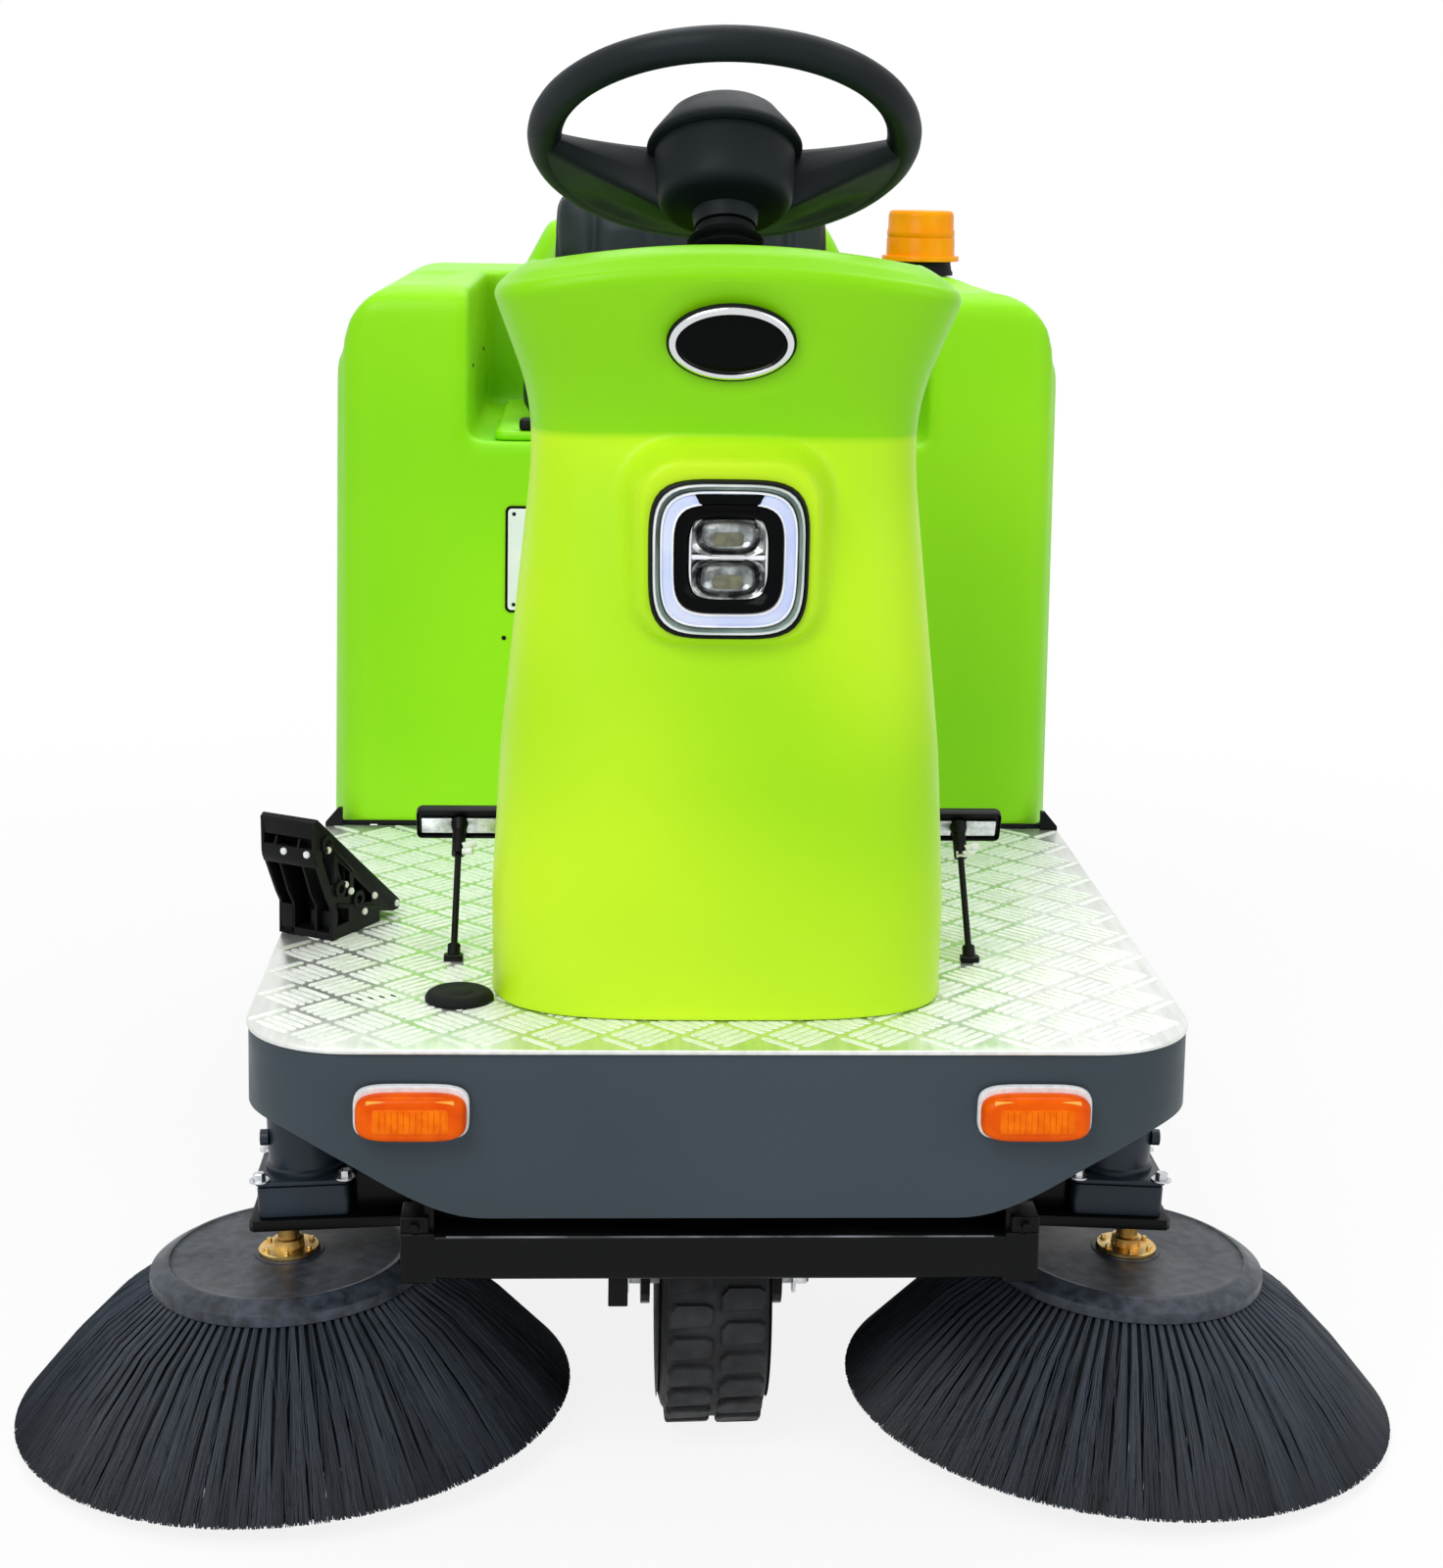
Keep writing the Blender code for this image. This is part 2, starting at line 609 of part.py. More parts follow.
def steering_column():
    """The tilted tube that holds the steering wheel, and the corrugated boot round it."""
    top, bottom = -0.092, -0.250
    rod("steering_column", COLUMN_RADIUS, wheel_frame(top), wheel_frame(bottom), "black_paint")
    rise = 0.012
    folds = 4
    profile = [(COLUMN_RADIUS + 0.001, folds * rise)]
    for fold in range(folds, 0, -1):
        profile.append((0.034 + 0.003 * (folds - fold), fold * rise))
        profile.append((0.028 + 0.003 * (folds - fold), (fold - 0.5) * rise))
    profile += [(0.052, 0), (COLUMN_RADIUS + 0.001, 0)]
    turned("steering_boot", profile, "black_plastic", sides=24, ring=True, turn=(-WHEEL_TILT, 0, 0),
           at=wheel_frame(-0.155))


# ---- cowl and what is on it -----------------------------------------------------------------
COWL_SECTIONS = (             # height, width, front, rear, squareness
    (COWL_FOOT, 0.384, 0.071, 0.345, 3.6),
    (0.470, 0.387, 0.072, 0.345, 3.6),
    (0.600, 0.374, 0.084, 0.342, 3.6),
    (0.740, 0.346, 0.110, 0.338, 3.8),
    (0.830, 0.328, 0.128, 0.335, 4.0),
    (0.872, 0.327, 0.134, 0.334, 4.2),
    (0.908, 0.334, 0.125, 0.340, 4.5),
    (COWL_TOP, 0.396, 0.085, 0.362, 5.0),
)
COWL_POINTS = 36
HEADLIGHT = 0.131
HEADLIGHT_Z = 0.772
HEADLIGHT_DEPTH = 0.020
HEADLIGHT_SUNK = 0.012
PAD_Y = 0.094                 # face of the raised pad round the headlight
PAD_EDGE = 0.017
PAD_HOOD = 0.032
BADGE = (0.106, 0.064)
BADGE_Z = 0.946
BADGE_THICKNESS = 0.006
BADGE_SUNK = 0.003


def cowl_section(width, front, rear, squareness, inset=0.0):
    """A rounded outline between the front and the rear: a superellipse of this squareness."""
    half, deep, middle = width / 2 - inset, (rear - front) / 2 - inset, (rear + front) / 2
    points = []
    for i in range(COWL_POINTS):
        a = 2 * pi * i / COWL_POINTS
        grow = (abs(cos(a)) ** squareness + abs(sin(a)) ** squareness) ** (-1 / squareness)
        points.append((half * grow * cos(a), middle + deep * grow * sin(a)))
    return points


def front_cowl():
    """A hollow moulding lofted through the sections, open at its foot and at its crowned top."""
    def build(shape):
        rings = []
        for height, width, front, rear, squareness in COWL_SECTIONS:
            crown = COWL_CROWN if height == COWL_TOP else 0.0
            rings.append([shape.verts.new((x, y, height + crown * (1 - (2 * x / width) ** 2)))
                          for x, y in cowl_section(width, front, rear, squareness)])
        for low, high in zip(rings, rings[1:]):
            for i in range(COWL_POINTS):
                k = (i + 1) % COWL_POINTS
                shape.faces.new((low[i], low[k], high[k], high[i]))
        bmesh.ops.recalc_face_normals(shape, faces=shape.faces)

    cowl = place("front_cowl", mesh_from(build), "lime_moulding", at=(0, front_y(0), 0))
    wall = cowl.modifiers.new("wall", "SOLIDIFY")
    wall.thickness = MOULDING
    wall.offset = -1
    pad_low, pad_high = HEADLIGHT_Z - HEADLIGHT / 2 - PAD_EDGE, HEADLIGHT_Z + HEADLIGHT / 2 + PAD_HOOD
    pad_half = HEADLIGHT / 2 + PAD_EDGE
    pad = block("headlight_pad", (-pad_half, pad_half), (front_y(PAD_Y), front_y(PAD_Y + 0.045)),
                (pad_low, pad_high), round_edges=0.012)
    lamp_pocket = headlight_shape("headlight_pocket", GAP, GAP)
    badge_pocket = badge_shape("badge_pocket", GAP)
    return cut(join(cowl, pad), lamp_pocket, badge_pocket)


DASH_DROP = 0.047             # from the cowl's rim to the middle of the panel


def dash_panel():
    """The instrument panel inside the cowl's top, with a hole for the column."""
    height, width, front, rear, squareness = COWL_SECTIONS[-1]
    outline = cowl_section(width, front, rear, squareness, inset=MOULDING + 0.030)
    panel = slab("dash_panel", outline, 0.006, "black_plastic", at=(0, front_y(0), COWL_TOP - DASH_DROP))
    hole = rod("column_hole", COLUMN_RADIUS + 0.002, wheel_frame(-0.10), wheel_frame(-0.30))
    return cut(panel, hole)


def headlight_shape(name, side_gap, back_gap, finish=None):
    """The lamp's round-cornered square, or with gaps the pocket that it sits in."""
    size = HEADLIGHT + 2 * side_gap
    depth = HEADLIGHT_DEPTH + back_gap
    back = PAD_Y + HEADLIGHT_SUNK + back_gap
    return slab(name, rounded_outline(size, size, 0.036 + side_gap), depth, finish, turn=ON_FRONT,
                at=(0, front_y(back - depth / 2), HEADLIGHT_Z))


def badge_shape(name, gap, finish=None):
    """The blank oval badge lying on the leaning face of the cowl's head, or its pocket."""
    low, high = COWL_SECTIONS[-2], COWL_SECTIONS[-1]
    lean = atan2(low[2] - high[2], high[0] - low[0])
    share = (BADGE_Z - low[0]) / (high[0] - low[0])
    face = low[2] + share * (high[2] - low[2])
    sunk = BADGE_SUNK + gap - (BADGE_THICKNESS + gap) / 2
    outline = [((BADGE[0] / 2 + gap) * cos(a), (BADGE[1] / 2 + gap) * sin(a))
               for a in (2 * pi * i / 32 for i in range(32))]
    return slab(name, outline, BADGE_THICKNESS + gap, finish, turn=(pi / 2 + lean, 0, 0),
                at=(0, front_y(face + sunk * cos(lean)), BADGE_Z + sunk * sin(lean)))


MARKER = (0.092, 0.045)
MARKER_X = 0.249
MARKER_Z = 0.340


def marker_lamps():
    """Amber lamps on the front of the apron, each a lens on a wider base."""
    base, lens = 0.006, 0.016
    for name, side in SIDES:
        x = side * MARKER_X
        lamp = slab("marker_lamp_" + name, rounded_outline(*MARKER, 0.012), base, "amber_lens",
                    turn=ON_FRONT, at=(x, front_y(-GAP - base / 2), MARKER_Z))
        narrow = rounded_outline(MARKER[0] - 0.008, MARKER[1] - 0.008, 0.010)
        join(lamp, slab("marker_lens", narrow, lens, turn=ON_FRONT,
                        at=(x, front_y(-GAP - base / 2 - lens / 2), MARKER_Z)))


# ---- side brushes ---------------------------------------------------------------------------
ARM_FRONT_Y = SIDE_BRUSH_Y - 0.053
ARM_BACK_Y = SIDE_BRUSH_Y + 0.053
BARREL_FRONT_Y = SIDE_BRUSH_Y - 0.086
BARREL_RADIUS = 0.014
HUB_SHAFT = 0.010


def front_crossbar():
    """A square tube on two hangers, with a pivot rod running back from each end."""
    half = CROSSBAR_TUBE / 2
    y = (front_y(CROSSBAR_Y - half), front_y(CROSSBAR_Y + half))
    bar = block("front_crossbar", (-CROSSBAR_WIDTH / 2, CROSSBAR_WIDTH / 2), y,
                (CROSSBAR_Z - half, CROSSBAR_Z + half), "black_paint", round_edges=0.004, steps=1)
    tab = block("hanging_tab", (-0.091, -0.075), (front_y(0.018), front_y(0.022)),
                (CROSSBAR_Z - half - 0.026, CROSSBAR_Z))
    join(bar, tab)
    for _, side in SIDES:
        x = sorted((side * (RAIL_X[0] - 0.010), side * (RAIL_X[0] - 0.018)))
        hanger = block("hanger", x, (front_y(CROSSBAR_Y - 0.012), front_y(0.090)),
                       (CROSSBAR_Z - half + 0.002, RAIL_TOP - RAIL_HEIGHT - GAP))
        pin = rod("pivot_rod", PIVOT_ROD_RADIUS, (side * SIDE_PIVOT_X, front_y(CROSSBAR_Y), SIDE_PIVOT_Z),
                  (side * SIDE_PIVOT_X, front_y(ARM_BACK_Y + 0.012), SIDE_PIVOT_Z), sides=16)
        lug = block("pivot_lug", sorted((side * (SIDE_PIVOT_X - 0.014), side * (SIDE_PIVOT_X + 0.014))),
                    (front_y(CROSSBAR_Y - half + 0.002), front_y(CROSSBAR_Y + half - 0.002)),
                    (SIDE_PIVOT_Z - 0.014, CROSSBAR_Z))
        join(bar, hanger, lug, pin)
    return bar


def side_brush(name, side):
    """One arm on its pivot rod, its gear motor and the brush below it, all tilted outwards."""
    reach = (SIDE_BRUSH_X - SIDE_PIVOT_X) / cos(SIDE_TILT)
    arm = pivot("brush_arm_axis_" + name, (side * SIDE_PIVOT_X, front_y(SIDE_BRUSH_Y), SIDE_PIVOT_Z),
                (0, side * SIDE_TILT, 0))
    ahead, behind = BARREL_FRONT_Y - SIDE_BRUSH_Y, ARM_BACK_Y - SIDE_BRUSH_Y
    plate_z = (-0.020, -0.020 + ARM_PLATE)
    hub_x = side * reach
    plate = block("brush_arm_" + name, sorted((side * 0.006, hub_x + side * 0.042)),
                  (ARM_FRONT_Y - SIDE_BRUSH_Y, behind), plate_z, "black_paint", parent=arm)
    barrel = rod("arm_barrel", BARREL_RADIUS, (0, ahead, 0), (0, behind, 0), sides=24, parent=arm)
    bore = rod("barrel_bore", PIVOT_ROD_RADIUS + BORE_PLAY, (0, ahead - 0.01, 0), (0, behind + 0.01, 0),
               sides=24, parent=arm)
    hub_hole = rod("hub_hole", HUB_SHAFT + CLEARANCE, (hub_x, 0, -0.05), (hub_x, 0, 0.02), parent=arm)
    cut(join(plate, barrel), bore, hub_hole)

    foot = plate_z[1] + GAP
    half, lip = GEARBOX / 2, 0.004
    motor_x = hub_x - side * GEARBOX_OFFSET
    motor = block("brush_motor_" + name, (motor_x - half, motor_x + half), (-half, half),
                  (foot, foot + GEARBOX_HEIGHT), "slate_paint", round_edges=0.004, steps=1, parent=arm)
    flange = block("motor_flange", (motor_x - half - lip, motor_x + half + lip),
                   (-half - lip, half + lip), (foot + GEARBOX_HEIGHT - 2 * lip, foot + GEARBOX_HEIGHT),
                   parent=arm)
    can = rod("motor_can", MOTOR_RADIUS, (motor_x, 0, foot + GEARBOX_HEIGHT / 2),
              (motor_x, 0, foot + MOTOR_HEIGHT), sides=32, parent=arm)
    join(motor, flange, can)

    spin = pivot("side_brush_axis_" + name, (hub_x, 0, 0), parent=arm)
    disc_top = plate_z[0] - 0.034
    disc_low = disc_top - SIDE_DISC_THICKNESS
    drop = (reach + SIDE_BRUSH_RADIUS) * sin(SIDE_TILT)
    tip = -(SIDE_PIVOT_Z - drop - BRISTLE_FLOOR_GAP) / cos(SIDE_TILT)
    turned("side_brush_hub_" + name, [(0, plate_z[1] - 0.004), (HUB_SHAFT, plate_z[1] - 0.004),
                                      (HUB_SHAFT, disc_top + 0.014), (0.017, disc_top + 0.012),
                                      (0.017, disc_top + 0.006), (0.026, disc_top + 0.005),
                                      (0.026, disc_top + GAP), (0, disc_top + GAP)],
           "zinc", sides=24, parent=spin)
    turned("side_brush_disc_" + name,
           [(0, disc_top), (0.060, disc_top), (SIDE_DISC_RADIUS - 0.014, disc_top - 0.004),
            (SIDE_DISC_RADIUS, disc_top - 0.002), (SIDE_DISC_RADIUS, disc_low),
            (0, disc_low)], "black_plastic", sides=36, parent=spin)
    turned("side_brush_bristles_" + name,
           [(SIDE_DISC_RADIUS - 0.010, disc_low - GAP), (SIDE_DISC_RADIUS + 0.002, disc_low - GAP),
            (SIDE_DISC_RADIUS + 0.066, disc_low - 0.034), (SIDE_BRUSH_RADIUS, tip),
            (SIDE_BRUSH_RADIUS - 0.045, tip), (SIDE_DISC_RADIUS + 0.020, disc_low - 0.036),
            (SIDE_DISC_RADIUS - 0.040, disc_low - 0.012), (SIDE_DISC_RADIUS - 0.040, disc_low - GAP)],
           "bristle", sides=36, ring=True, parent=spin)


# ---- rear body, seat and lamps --------------------------------------------------------------
def body_form(name, inset, finish=None):
    """The body's outside, with the seat well cut out. Inset by the wall, it is the hollow inside."""
    foot = PLATFORM_TOP + GAP - (0.02 if inset else 0)
    front, rear = front_y(BODY_FRONT_Y + inset), front_y(BODY_REAR_Y - inset)
    half = BODY_WIDTH / 2 - inset
    corner = BODY_CORNER - inset
    form = block(name, (-half, half), (front, rear), (foot, BODY_TOP - inset), finish,
                 round_edges=corner, open_foot=True, draft=BODY_DRAFT)
    flank = block("flank", (-half - FLANK_PROUD, half + FLANK_PROUD), (front + 0.024, rear - 0.040),
                  (foot, FLANK_TOP - inset), round_edges=corner * 0.6, open_foot=True, draft=0.003)
    well = block("seat_well", (-WELL_WIDTH / 2 - inset, WELL_WIDTH / 2 + inset),
                 (front_y(BODY_FRONT_Y - 0.10), front_y(BODY_FRONT_Y + WELL_DEPTH + inset)),
                 (DECK_TOP - inset, BODY_TOP + 0.20), round_edges=WELL_FILLET + inset)
    return cut(join(form, flank), well)


def rear_body():
    """The hollow moulding over the chassis, open below and under the seat lid."""
    body = body_form("rear_body", 0.0, "lime_moulding")
    inside = body_form("body_inside", MOULDING)
    opening = block("deck_opening", (-0.190, 0.190),
                    (front_y(BODY_FRONT_Y + 0.045), front_y(BODY_FRONT_Y + WELL_DEPTH - 0.045)),
                    (DECK_TOP - 0.03, DECK_TOP + 0.03))
    return cut(body, inside, opening)


def rear_hood():
    """A hollow cover on the body behind the seat."""
    half = HOOD_WIDTH / 2
    y = (front_y(BODY_FRONT_Y + WELL_DEPTH + 0.008), front_y(BODY_FRONT_Y + WELL_DEPTH + HOOD_DEPTH))
    foot = BODY_TOP + GAP
    hood = block("rear_hood", (-half, half), y, (foot, HOOD_TOP), "lime_moulding", round_edges=0.030,
                 open_foot=True)
    inside = block("hood_inside", (MOULDING - half, half - MOULDING),
                   (y[0] + MOULDING, y[1] - MOULDING), (foot - 0.01, HOOD_TOP - MOULDING),
                   round_edges=0.030 - MOULDING, open_foot=True)
    return cut(hood, inside)


LID_HINGE_Y = BODY_FRONT_Y + 0.014
LID_FOOT = DECK_TOP + GAP


def seat():
    """The lid over the battery, hinged along its front edge, with the seat bolted on it."""
    lid = pivot("seat_lid_axis", (0, front_y(LID_HINGE_Y), LID_FOOT + LID_THICKNESS))
    depth = BODY_FRONT_Y + WELL_DEPTH - WELL_FILLET - CLEARANCE - LID_HINGE_Y
    block("seat_lid", (-LID_WIDTH / 2, LID_WIDTH / 2), (0, depth), (-LID_THICKNESS, 0),
          "lime_moulding", round_edges=0.003, steps=1, parent=lid)
    back = depth - 0.002
    block("seat_cushion", (-SEAT_WIDTH / 2, SEAT_WIDTH / 2), (back - SEAT_DEPTH, back),
          (GAP, CUSHION_HEIGHT), "leatherette", round_edges=0.022, steps=2, parent=lid)
    block("seat_backrest", (-BACKREST_WIDTH / 2, BACKREST_WIDTH / 2), (back - BACKREST_DEPTH, back),
          (CUSHION_HEIGHT + GAP, CUSHION_HEIGHT + BACKREST_HEIGHT), "leatherette",
          round_edges=0.024, steps=2, parent=lid)


BEACON_X = 0.285
BEACON_Y = 1.200
BEACON_FOOT = 0.017


def beacon():
    """Amber beacon on a black foot, on the driver's left pod."""
    at = (BEACON_X, front_y(BEACON_Y), 0)
    foot = BODY_TOP + GAP
    top = foot + BEACON_FOOT
    turned("beacon_base", [(0, top), (0.040, top), (0.040, foot), (0, foot)], "black_plastic", at=at)
    low = top + GAP
    turned("beacon_lens", [(0, low + 0.061), (0.038, low + 0.061), (0.0415, low + 0.057),
                           (0.0415, low + 0.010), (0.047, low + 0.009), (0.047, low), (0, low)],
           "amber_lens", at=at)


PLACARD = (0.150, 0.113)
PLACARD_X = -0.127
PLACARD_Z = 0.676
PLACARD_THICKNESS = 0.0015


def placard():
    """A blank plate riveted to the body's front face."""
    slab("placard", rounded_outline(*PLACARD, 0.004, 2), PLACARD_THICKNESS, "white_plate", turn=ON_FRONT,
         at=(PLACARD_X, front_y(BODY_FRONT_Y - GAP - PLACARD_THICKNESS / 2), PLACARD_Z))


def tail_lamps():
    """Red lamps on the back of the body."""
    for name, side in SIDES:
        slab("tail_lamp_" + name, rounded_outline(0.100, 0.050, 0.010), 0.020, "red_lens",
             turn=ON_FRONT, at=(side * 0.270, front_y(BODY_REAR_Y + GAP + 0.010), 0.760))


# ---- controls on the platform ---------------------------------------------------------------
FLOOR = PLATFORM_TOP + GAP


def floor_cap():
    turned("floor_cap", [(0, 0.008), (0.022, 0.008), (0.029, 0.004), (0.029, 0), (0, 0)],
           "tyre_rubber", sides=24, at=(-0.218, front_y(0.129), FLOOR))


PEDAL_X = 0.2290
PEDAL_PAD = (0.078, 0.032, 0.014)     # width, depth, thickness
PEDAL_LEAN = radians(-65)             # the pad faces back and up, towards the driver's foot


def rod_pedal(name, side):
    """A slender steel rod that leans back from the platform and carries a ribbed pad."""
    x = side * PEDAL_X
    foot = Vector((x, front_y(0.240), FLOOR))
    head = Vector((x, front_y(0.338), PLATFORM_TOP + 0.100))
    width, depth, thickness = PEDAL_PAD
    pad = block(name, (-width / 2, width / 2), (-depth / 2, depth / 2), (-thickness / 2, thickness / 2),
                "black_paint", round_edges=0.005, steps=2, at=head, turn=(PEDAL_LEAN, 0, 0))
    stem = rod("pedal_stem", 0.0036, foot + Vector((0, 0.004, 0.004)), head, sides=12)
    heel = rod("pedal_heel", 0.008, foot, foot + Vector((0, 0, 0.014)), sides=16)
    return join(pad, stem, heel)


ACCELERATOR_AT = (-0.3475, 0.340)     # X and distance of its base's middle
ACCELERATOR_TURN = radians(-30)       # its toe points forwards and out
ACCELERATOR_WIDTH = 0.060


def accelerator_pedal():
    """A moulded organ pedal that slopes from its heel up to its toe, on a square base."""
    x, distance = ACCELERATOR_AT
    heel = [(0.037, 0.0), (0.037, 0.010), (0.060, 0.004), *arc((0.064, 0.010), 0.006, -60, 50, 4)]
    toe = [(-0.060, 0.117), (-0.064, 0.113), (-0.063, 0.082), (-0.043, 0.040), (-0.037, 0.030),
           (-0.037, 0.0)]
    pedal = pivot("accelerator_base", (x, front_y(distance), FLOOR), (0, 0, ACCELERATOR_TURN))
    return slab("accelerator_pedal", heel + toe, ACCELERATOR_WIDTH, "black_plastic", turn=ON_SIDE,
                parent=pedal)


# ---- rear wheels, main brush and hopper -----------------------------------------------------
def rear_wheel(name, side):
    """Tyre and rim on a stub axle that is flanged to the side plate."""
    x = side * REAR_TRACK / 2
    spin = pivot("rear_wheel_axis_" + name, (x, front_y(REAR_AXLE_Y), REAR_TYRE_RADIUS))
    tyre("rear_tyre_" + name, REAR_TYRE_RADIUS, REAR_TYRE_WIDTH, REAR_RIM_RADIUS, spin)
    rim("rear_rim_" + name, REAR_RIM_RADIUS, REAR_TYRE_WIDTH - 0.016, 0.030, 0.044, "silver_paint", spin)
    start = side * (SIDE_PLATE_X + SIDE_PLATE + GAP)
    centre = (front_y(REAR_AXLE_Y), REAR_TYRE_RADIUS)
    stub = rod("stub_axle_" + name, AXLE_RADIUS, (start, *centre), (x + side * 0.030, *centre), "steel")
    flange = rod("axle_flange", 0.034, (start, *centre), (start + side * 0.008, *centre))
    return join(stub, flange)


def main_brush():
    """The roller: a core with bristles all round, driven from the side plates."""
    spin = pivot("main_brush_axis", (0, front_y(MAIN_BRUSH_Y), MAIN_BRUSH_RADIUS + MAIN_BRUSH_FLOOR_GAP))
    half = MAIN_BRUSH_WIDTH / 2
    turned("main_brush", [(0, half + 0.010), (0.020, half + 0.010), (0.020, half), (0.070, half),
                          (MAIN_BRUSH_RADIUS, half - 0.006), (MAIN_BRUSH_RADIUS, -half + 0.006),
                          (0.070, -half), (0.020, -half), (0.020, -half - 0.010), (0, -half - 0.010)],
           "bristle", sides=36, turn=ALONG_X, parent=spin)


def brush_hood():
    """The curved sheet over the roller, from the front flap to the hopper's mouth."""
    inner = MAIN_BRUSH_RADIUS + 0.014
    centre = (MAIN_BRUSH_Y, MAIN_BRUSH_RADIUS + MAIN_BRUSH_FLOOR_GAP)
    outline = arc(centre, inner + SHEET, 190, 40, 18) + arc(centre, inner, 40, 190, 18)
    slab("brush_hood", outline, 2 * (SIDE_PLATE_X - GAP), "black_paint", turn=ON_SIDE,
         at=(0, front_y(0), 0))
    flap_top = centre[1] - 0.034
    block("front_flap", (-0.290, 0.290), (front_y(centre[0] - inner - 0.004), front_y(centre[0] - inner)),
          (0.012, flap_top), "tyre_rubber")


def hopper():
    """The pull-out dust box: open towards the roller and at its top, with a grip at the back."""
    x = SIDE_PLATE_X - 0.010
    y = (front_y(HOPPER_FRONT_Y), front_y(HOPPER_REAR_Y))
    box = block("hopper", (-x, x), y, (HOPPER_BOTTOM, HOPPER_TOP), "slate_paint")
    room = block("hopper_room", (SHEET - x, x - SHEET), (y[0] - 0.05, y[1] - SHEET),
                 (HOPPER_BOTTOM + SHEET, HOPPER_TOP + 0.05))
    return cut(box, room)


def hopper_handle():
    """A bent bar on the hopper's back."""
    y = front_y(HOPPER_REAR_Y) + GAP
    z = 0.200
    half, out = 0.090, 0.030
    points = [(-half, y, z), (-half, y + out - 0.012, z), (-half + 0.004, y + out - 0.004, z),
              (-half + 0.012, y + out, z), (half - 0.012, y + out, z), (half - 0.004, y + out - 0.004, z),
              (half, y + out - 0.012, z), (half, y, z)]
    return tube("hopper_handle", points, 0.006, "black_plastic")


# ---- assembly -------------------------------------------------------------------------------
tread_plate()
front_apron()
platform_frame()
steering_head()
side_plates()
rear_frame()
side_skirts()
battery_pack()
rear_bumper()
steering_fork()
steering_wheel()
steering_column()
front_cowl()
dash_panel()
headlight_shape("headlight", 0, 0, "black_plastic")
badge_shape("badge", 0, "chrome")
marker_lamps()
front_crossbar()
rear_body()
rear_hood()
seat()
beacon()
placard()
tail_lamps()
floor_cap()
rod_pedal("brake_pedal", -1)
rod_pedal("lift_pedal", 1)
accelerator_pedal()
main_brush()
brush_hood()
hopper()
hopper_handle()
for side_name, side_sign in SIDES:
    side_brush(side_name, side_sign)
    rear_wheel(side_name, side_sign)
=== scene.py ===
"""The looks of a ride-on electric sweeper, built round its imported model. Metres, +Z up, the front
faces -Y and the driver's left is +X."""

from math import atan2, cos, pi, radians, sin, sqrt

import bmesh
import bpy
import numpy as np
from mathutils import Matrix, Vector


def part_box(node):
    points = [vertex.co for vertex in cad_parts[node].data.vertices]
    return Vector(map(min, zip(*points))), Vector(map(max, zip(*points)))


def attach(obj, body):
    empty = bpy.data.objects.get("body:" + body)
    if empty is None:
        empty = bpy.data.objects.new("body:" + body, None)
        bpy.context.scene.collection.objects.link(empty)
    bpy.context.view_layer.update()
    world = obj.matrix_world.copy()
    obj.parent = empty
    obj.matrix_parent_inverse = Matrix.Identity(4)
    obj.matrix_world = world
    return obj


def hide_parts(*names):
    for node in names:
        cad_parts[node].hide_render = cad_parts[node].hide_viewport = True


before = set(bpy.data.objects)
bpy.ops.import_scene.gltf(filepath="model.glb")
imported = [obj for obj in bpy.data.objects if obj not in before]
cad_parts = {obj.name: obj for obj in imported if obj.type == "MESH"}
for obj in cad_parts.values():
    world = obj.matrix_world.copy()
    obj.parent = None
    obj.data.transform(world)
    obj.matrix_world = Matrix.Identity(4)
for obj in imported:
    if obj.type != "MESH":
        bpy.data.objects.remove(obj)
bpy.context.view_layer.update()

# ---- Camera, floor and light ------------------------------------------------------------------
# A portrait camera just above the steering wheel, tipped down and turned a little to the driver's
# left. The floor is a plain pale sheet under one wide lamp from the front and two soft fills.
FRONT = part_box("tread_plate")[0].y            # the platform's front edge


def behind(distance):
    """World Y of something this far behind the platform's front edge."""
    return FRONT + distance


def link(made):
    bpy.context.scene.collection.objects.link(made)
    return made


lens = bpy.data.cameras.new("camera")
lens.lens = 60.3
lens.shift_y = -0.1571
camera = link(bpy.data.objects.new("camera", lens))
camera.matrix_world = (Matrix.Translation((-0.109, behind(-2.012), 1.0858))
                       @ Matrix.Rotation(radians(-2.8), 4, "Z") @ Matrix.Rotation(radians(82.0), 4, "X")
                       @ Matrix.Rotation(radians(1.017), 4, "Z"))
bpy.context.scene.camera = camera
bpy.context.scene.view_settings.view_transform = "Standard"


def colour(code):
    """Linear RGBA of an sRGB hex code."""
    parts = [int(code[i:i + 2], 16) / 255 for i in (1, 3, 5)]
    return (*[c / 12.92 if c <= 0.04045 else ((c + 0.055) / 1.055) ** 2.4 for c in parts], 1.0)


def add(tree, kind, links=(), **settings):
    """Add a node with its settings. links gives its inputs, by name or in order, their values, or the
    nodes and outputs that feed them."""
    made = tree.nodes.new(kind)
    for name, value in settings.items():
        setattr(made, name, value)
    for socket, value in (links if isinstance(links, dict) else dict(enumerate(links))).items():
        if isinstance(value, bpy.types.Node):
            value = value.outputs[0]
        if isinstance(value, bpy.types.NodeSocket):
            tree.links.new(value, made.inputs[socket])
        else:
            made.inputs[socket].default_value = value
    return made


def seen_directly(tree):
    """1 for the camera's own rays and for those off metal or through glass, and 0 for the light."""
    path = add(tree, "ShaderNodeLightPath").outputs
    first = add(tree, "ShaderNodeMath", [path["Is Camera Ray"], path["Is Glossy Ray"]], operation="MAXIMUM")
    return add(tree, "ShaderNodeMath", [first, path["Is Transmission Ray"]], operation="MAXIMUM")


world = bpy.data.worlds.new("studio")
bpy.context.scene.world = world
world.use_nodes = True
sky = world.node_tree
backdrop = add(sky, "ShaderNodeMix", {0: seen_directly(sky), 6: colour("#a3a6aa"), 7: colour("#ffffff")},
               data_type="RGBA")
sky.links.new(backdrop.outputs[2], sky.nodes["Background"].inputs["Color"])

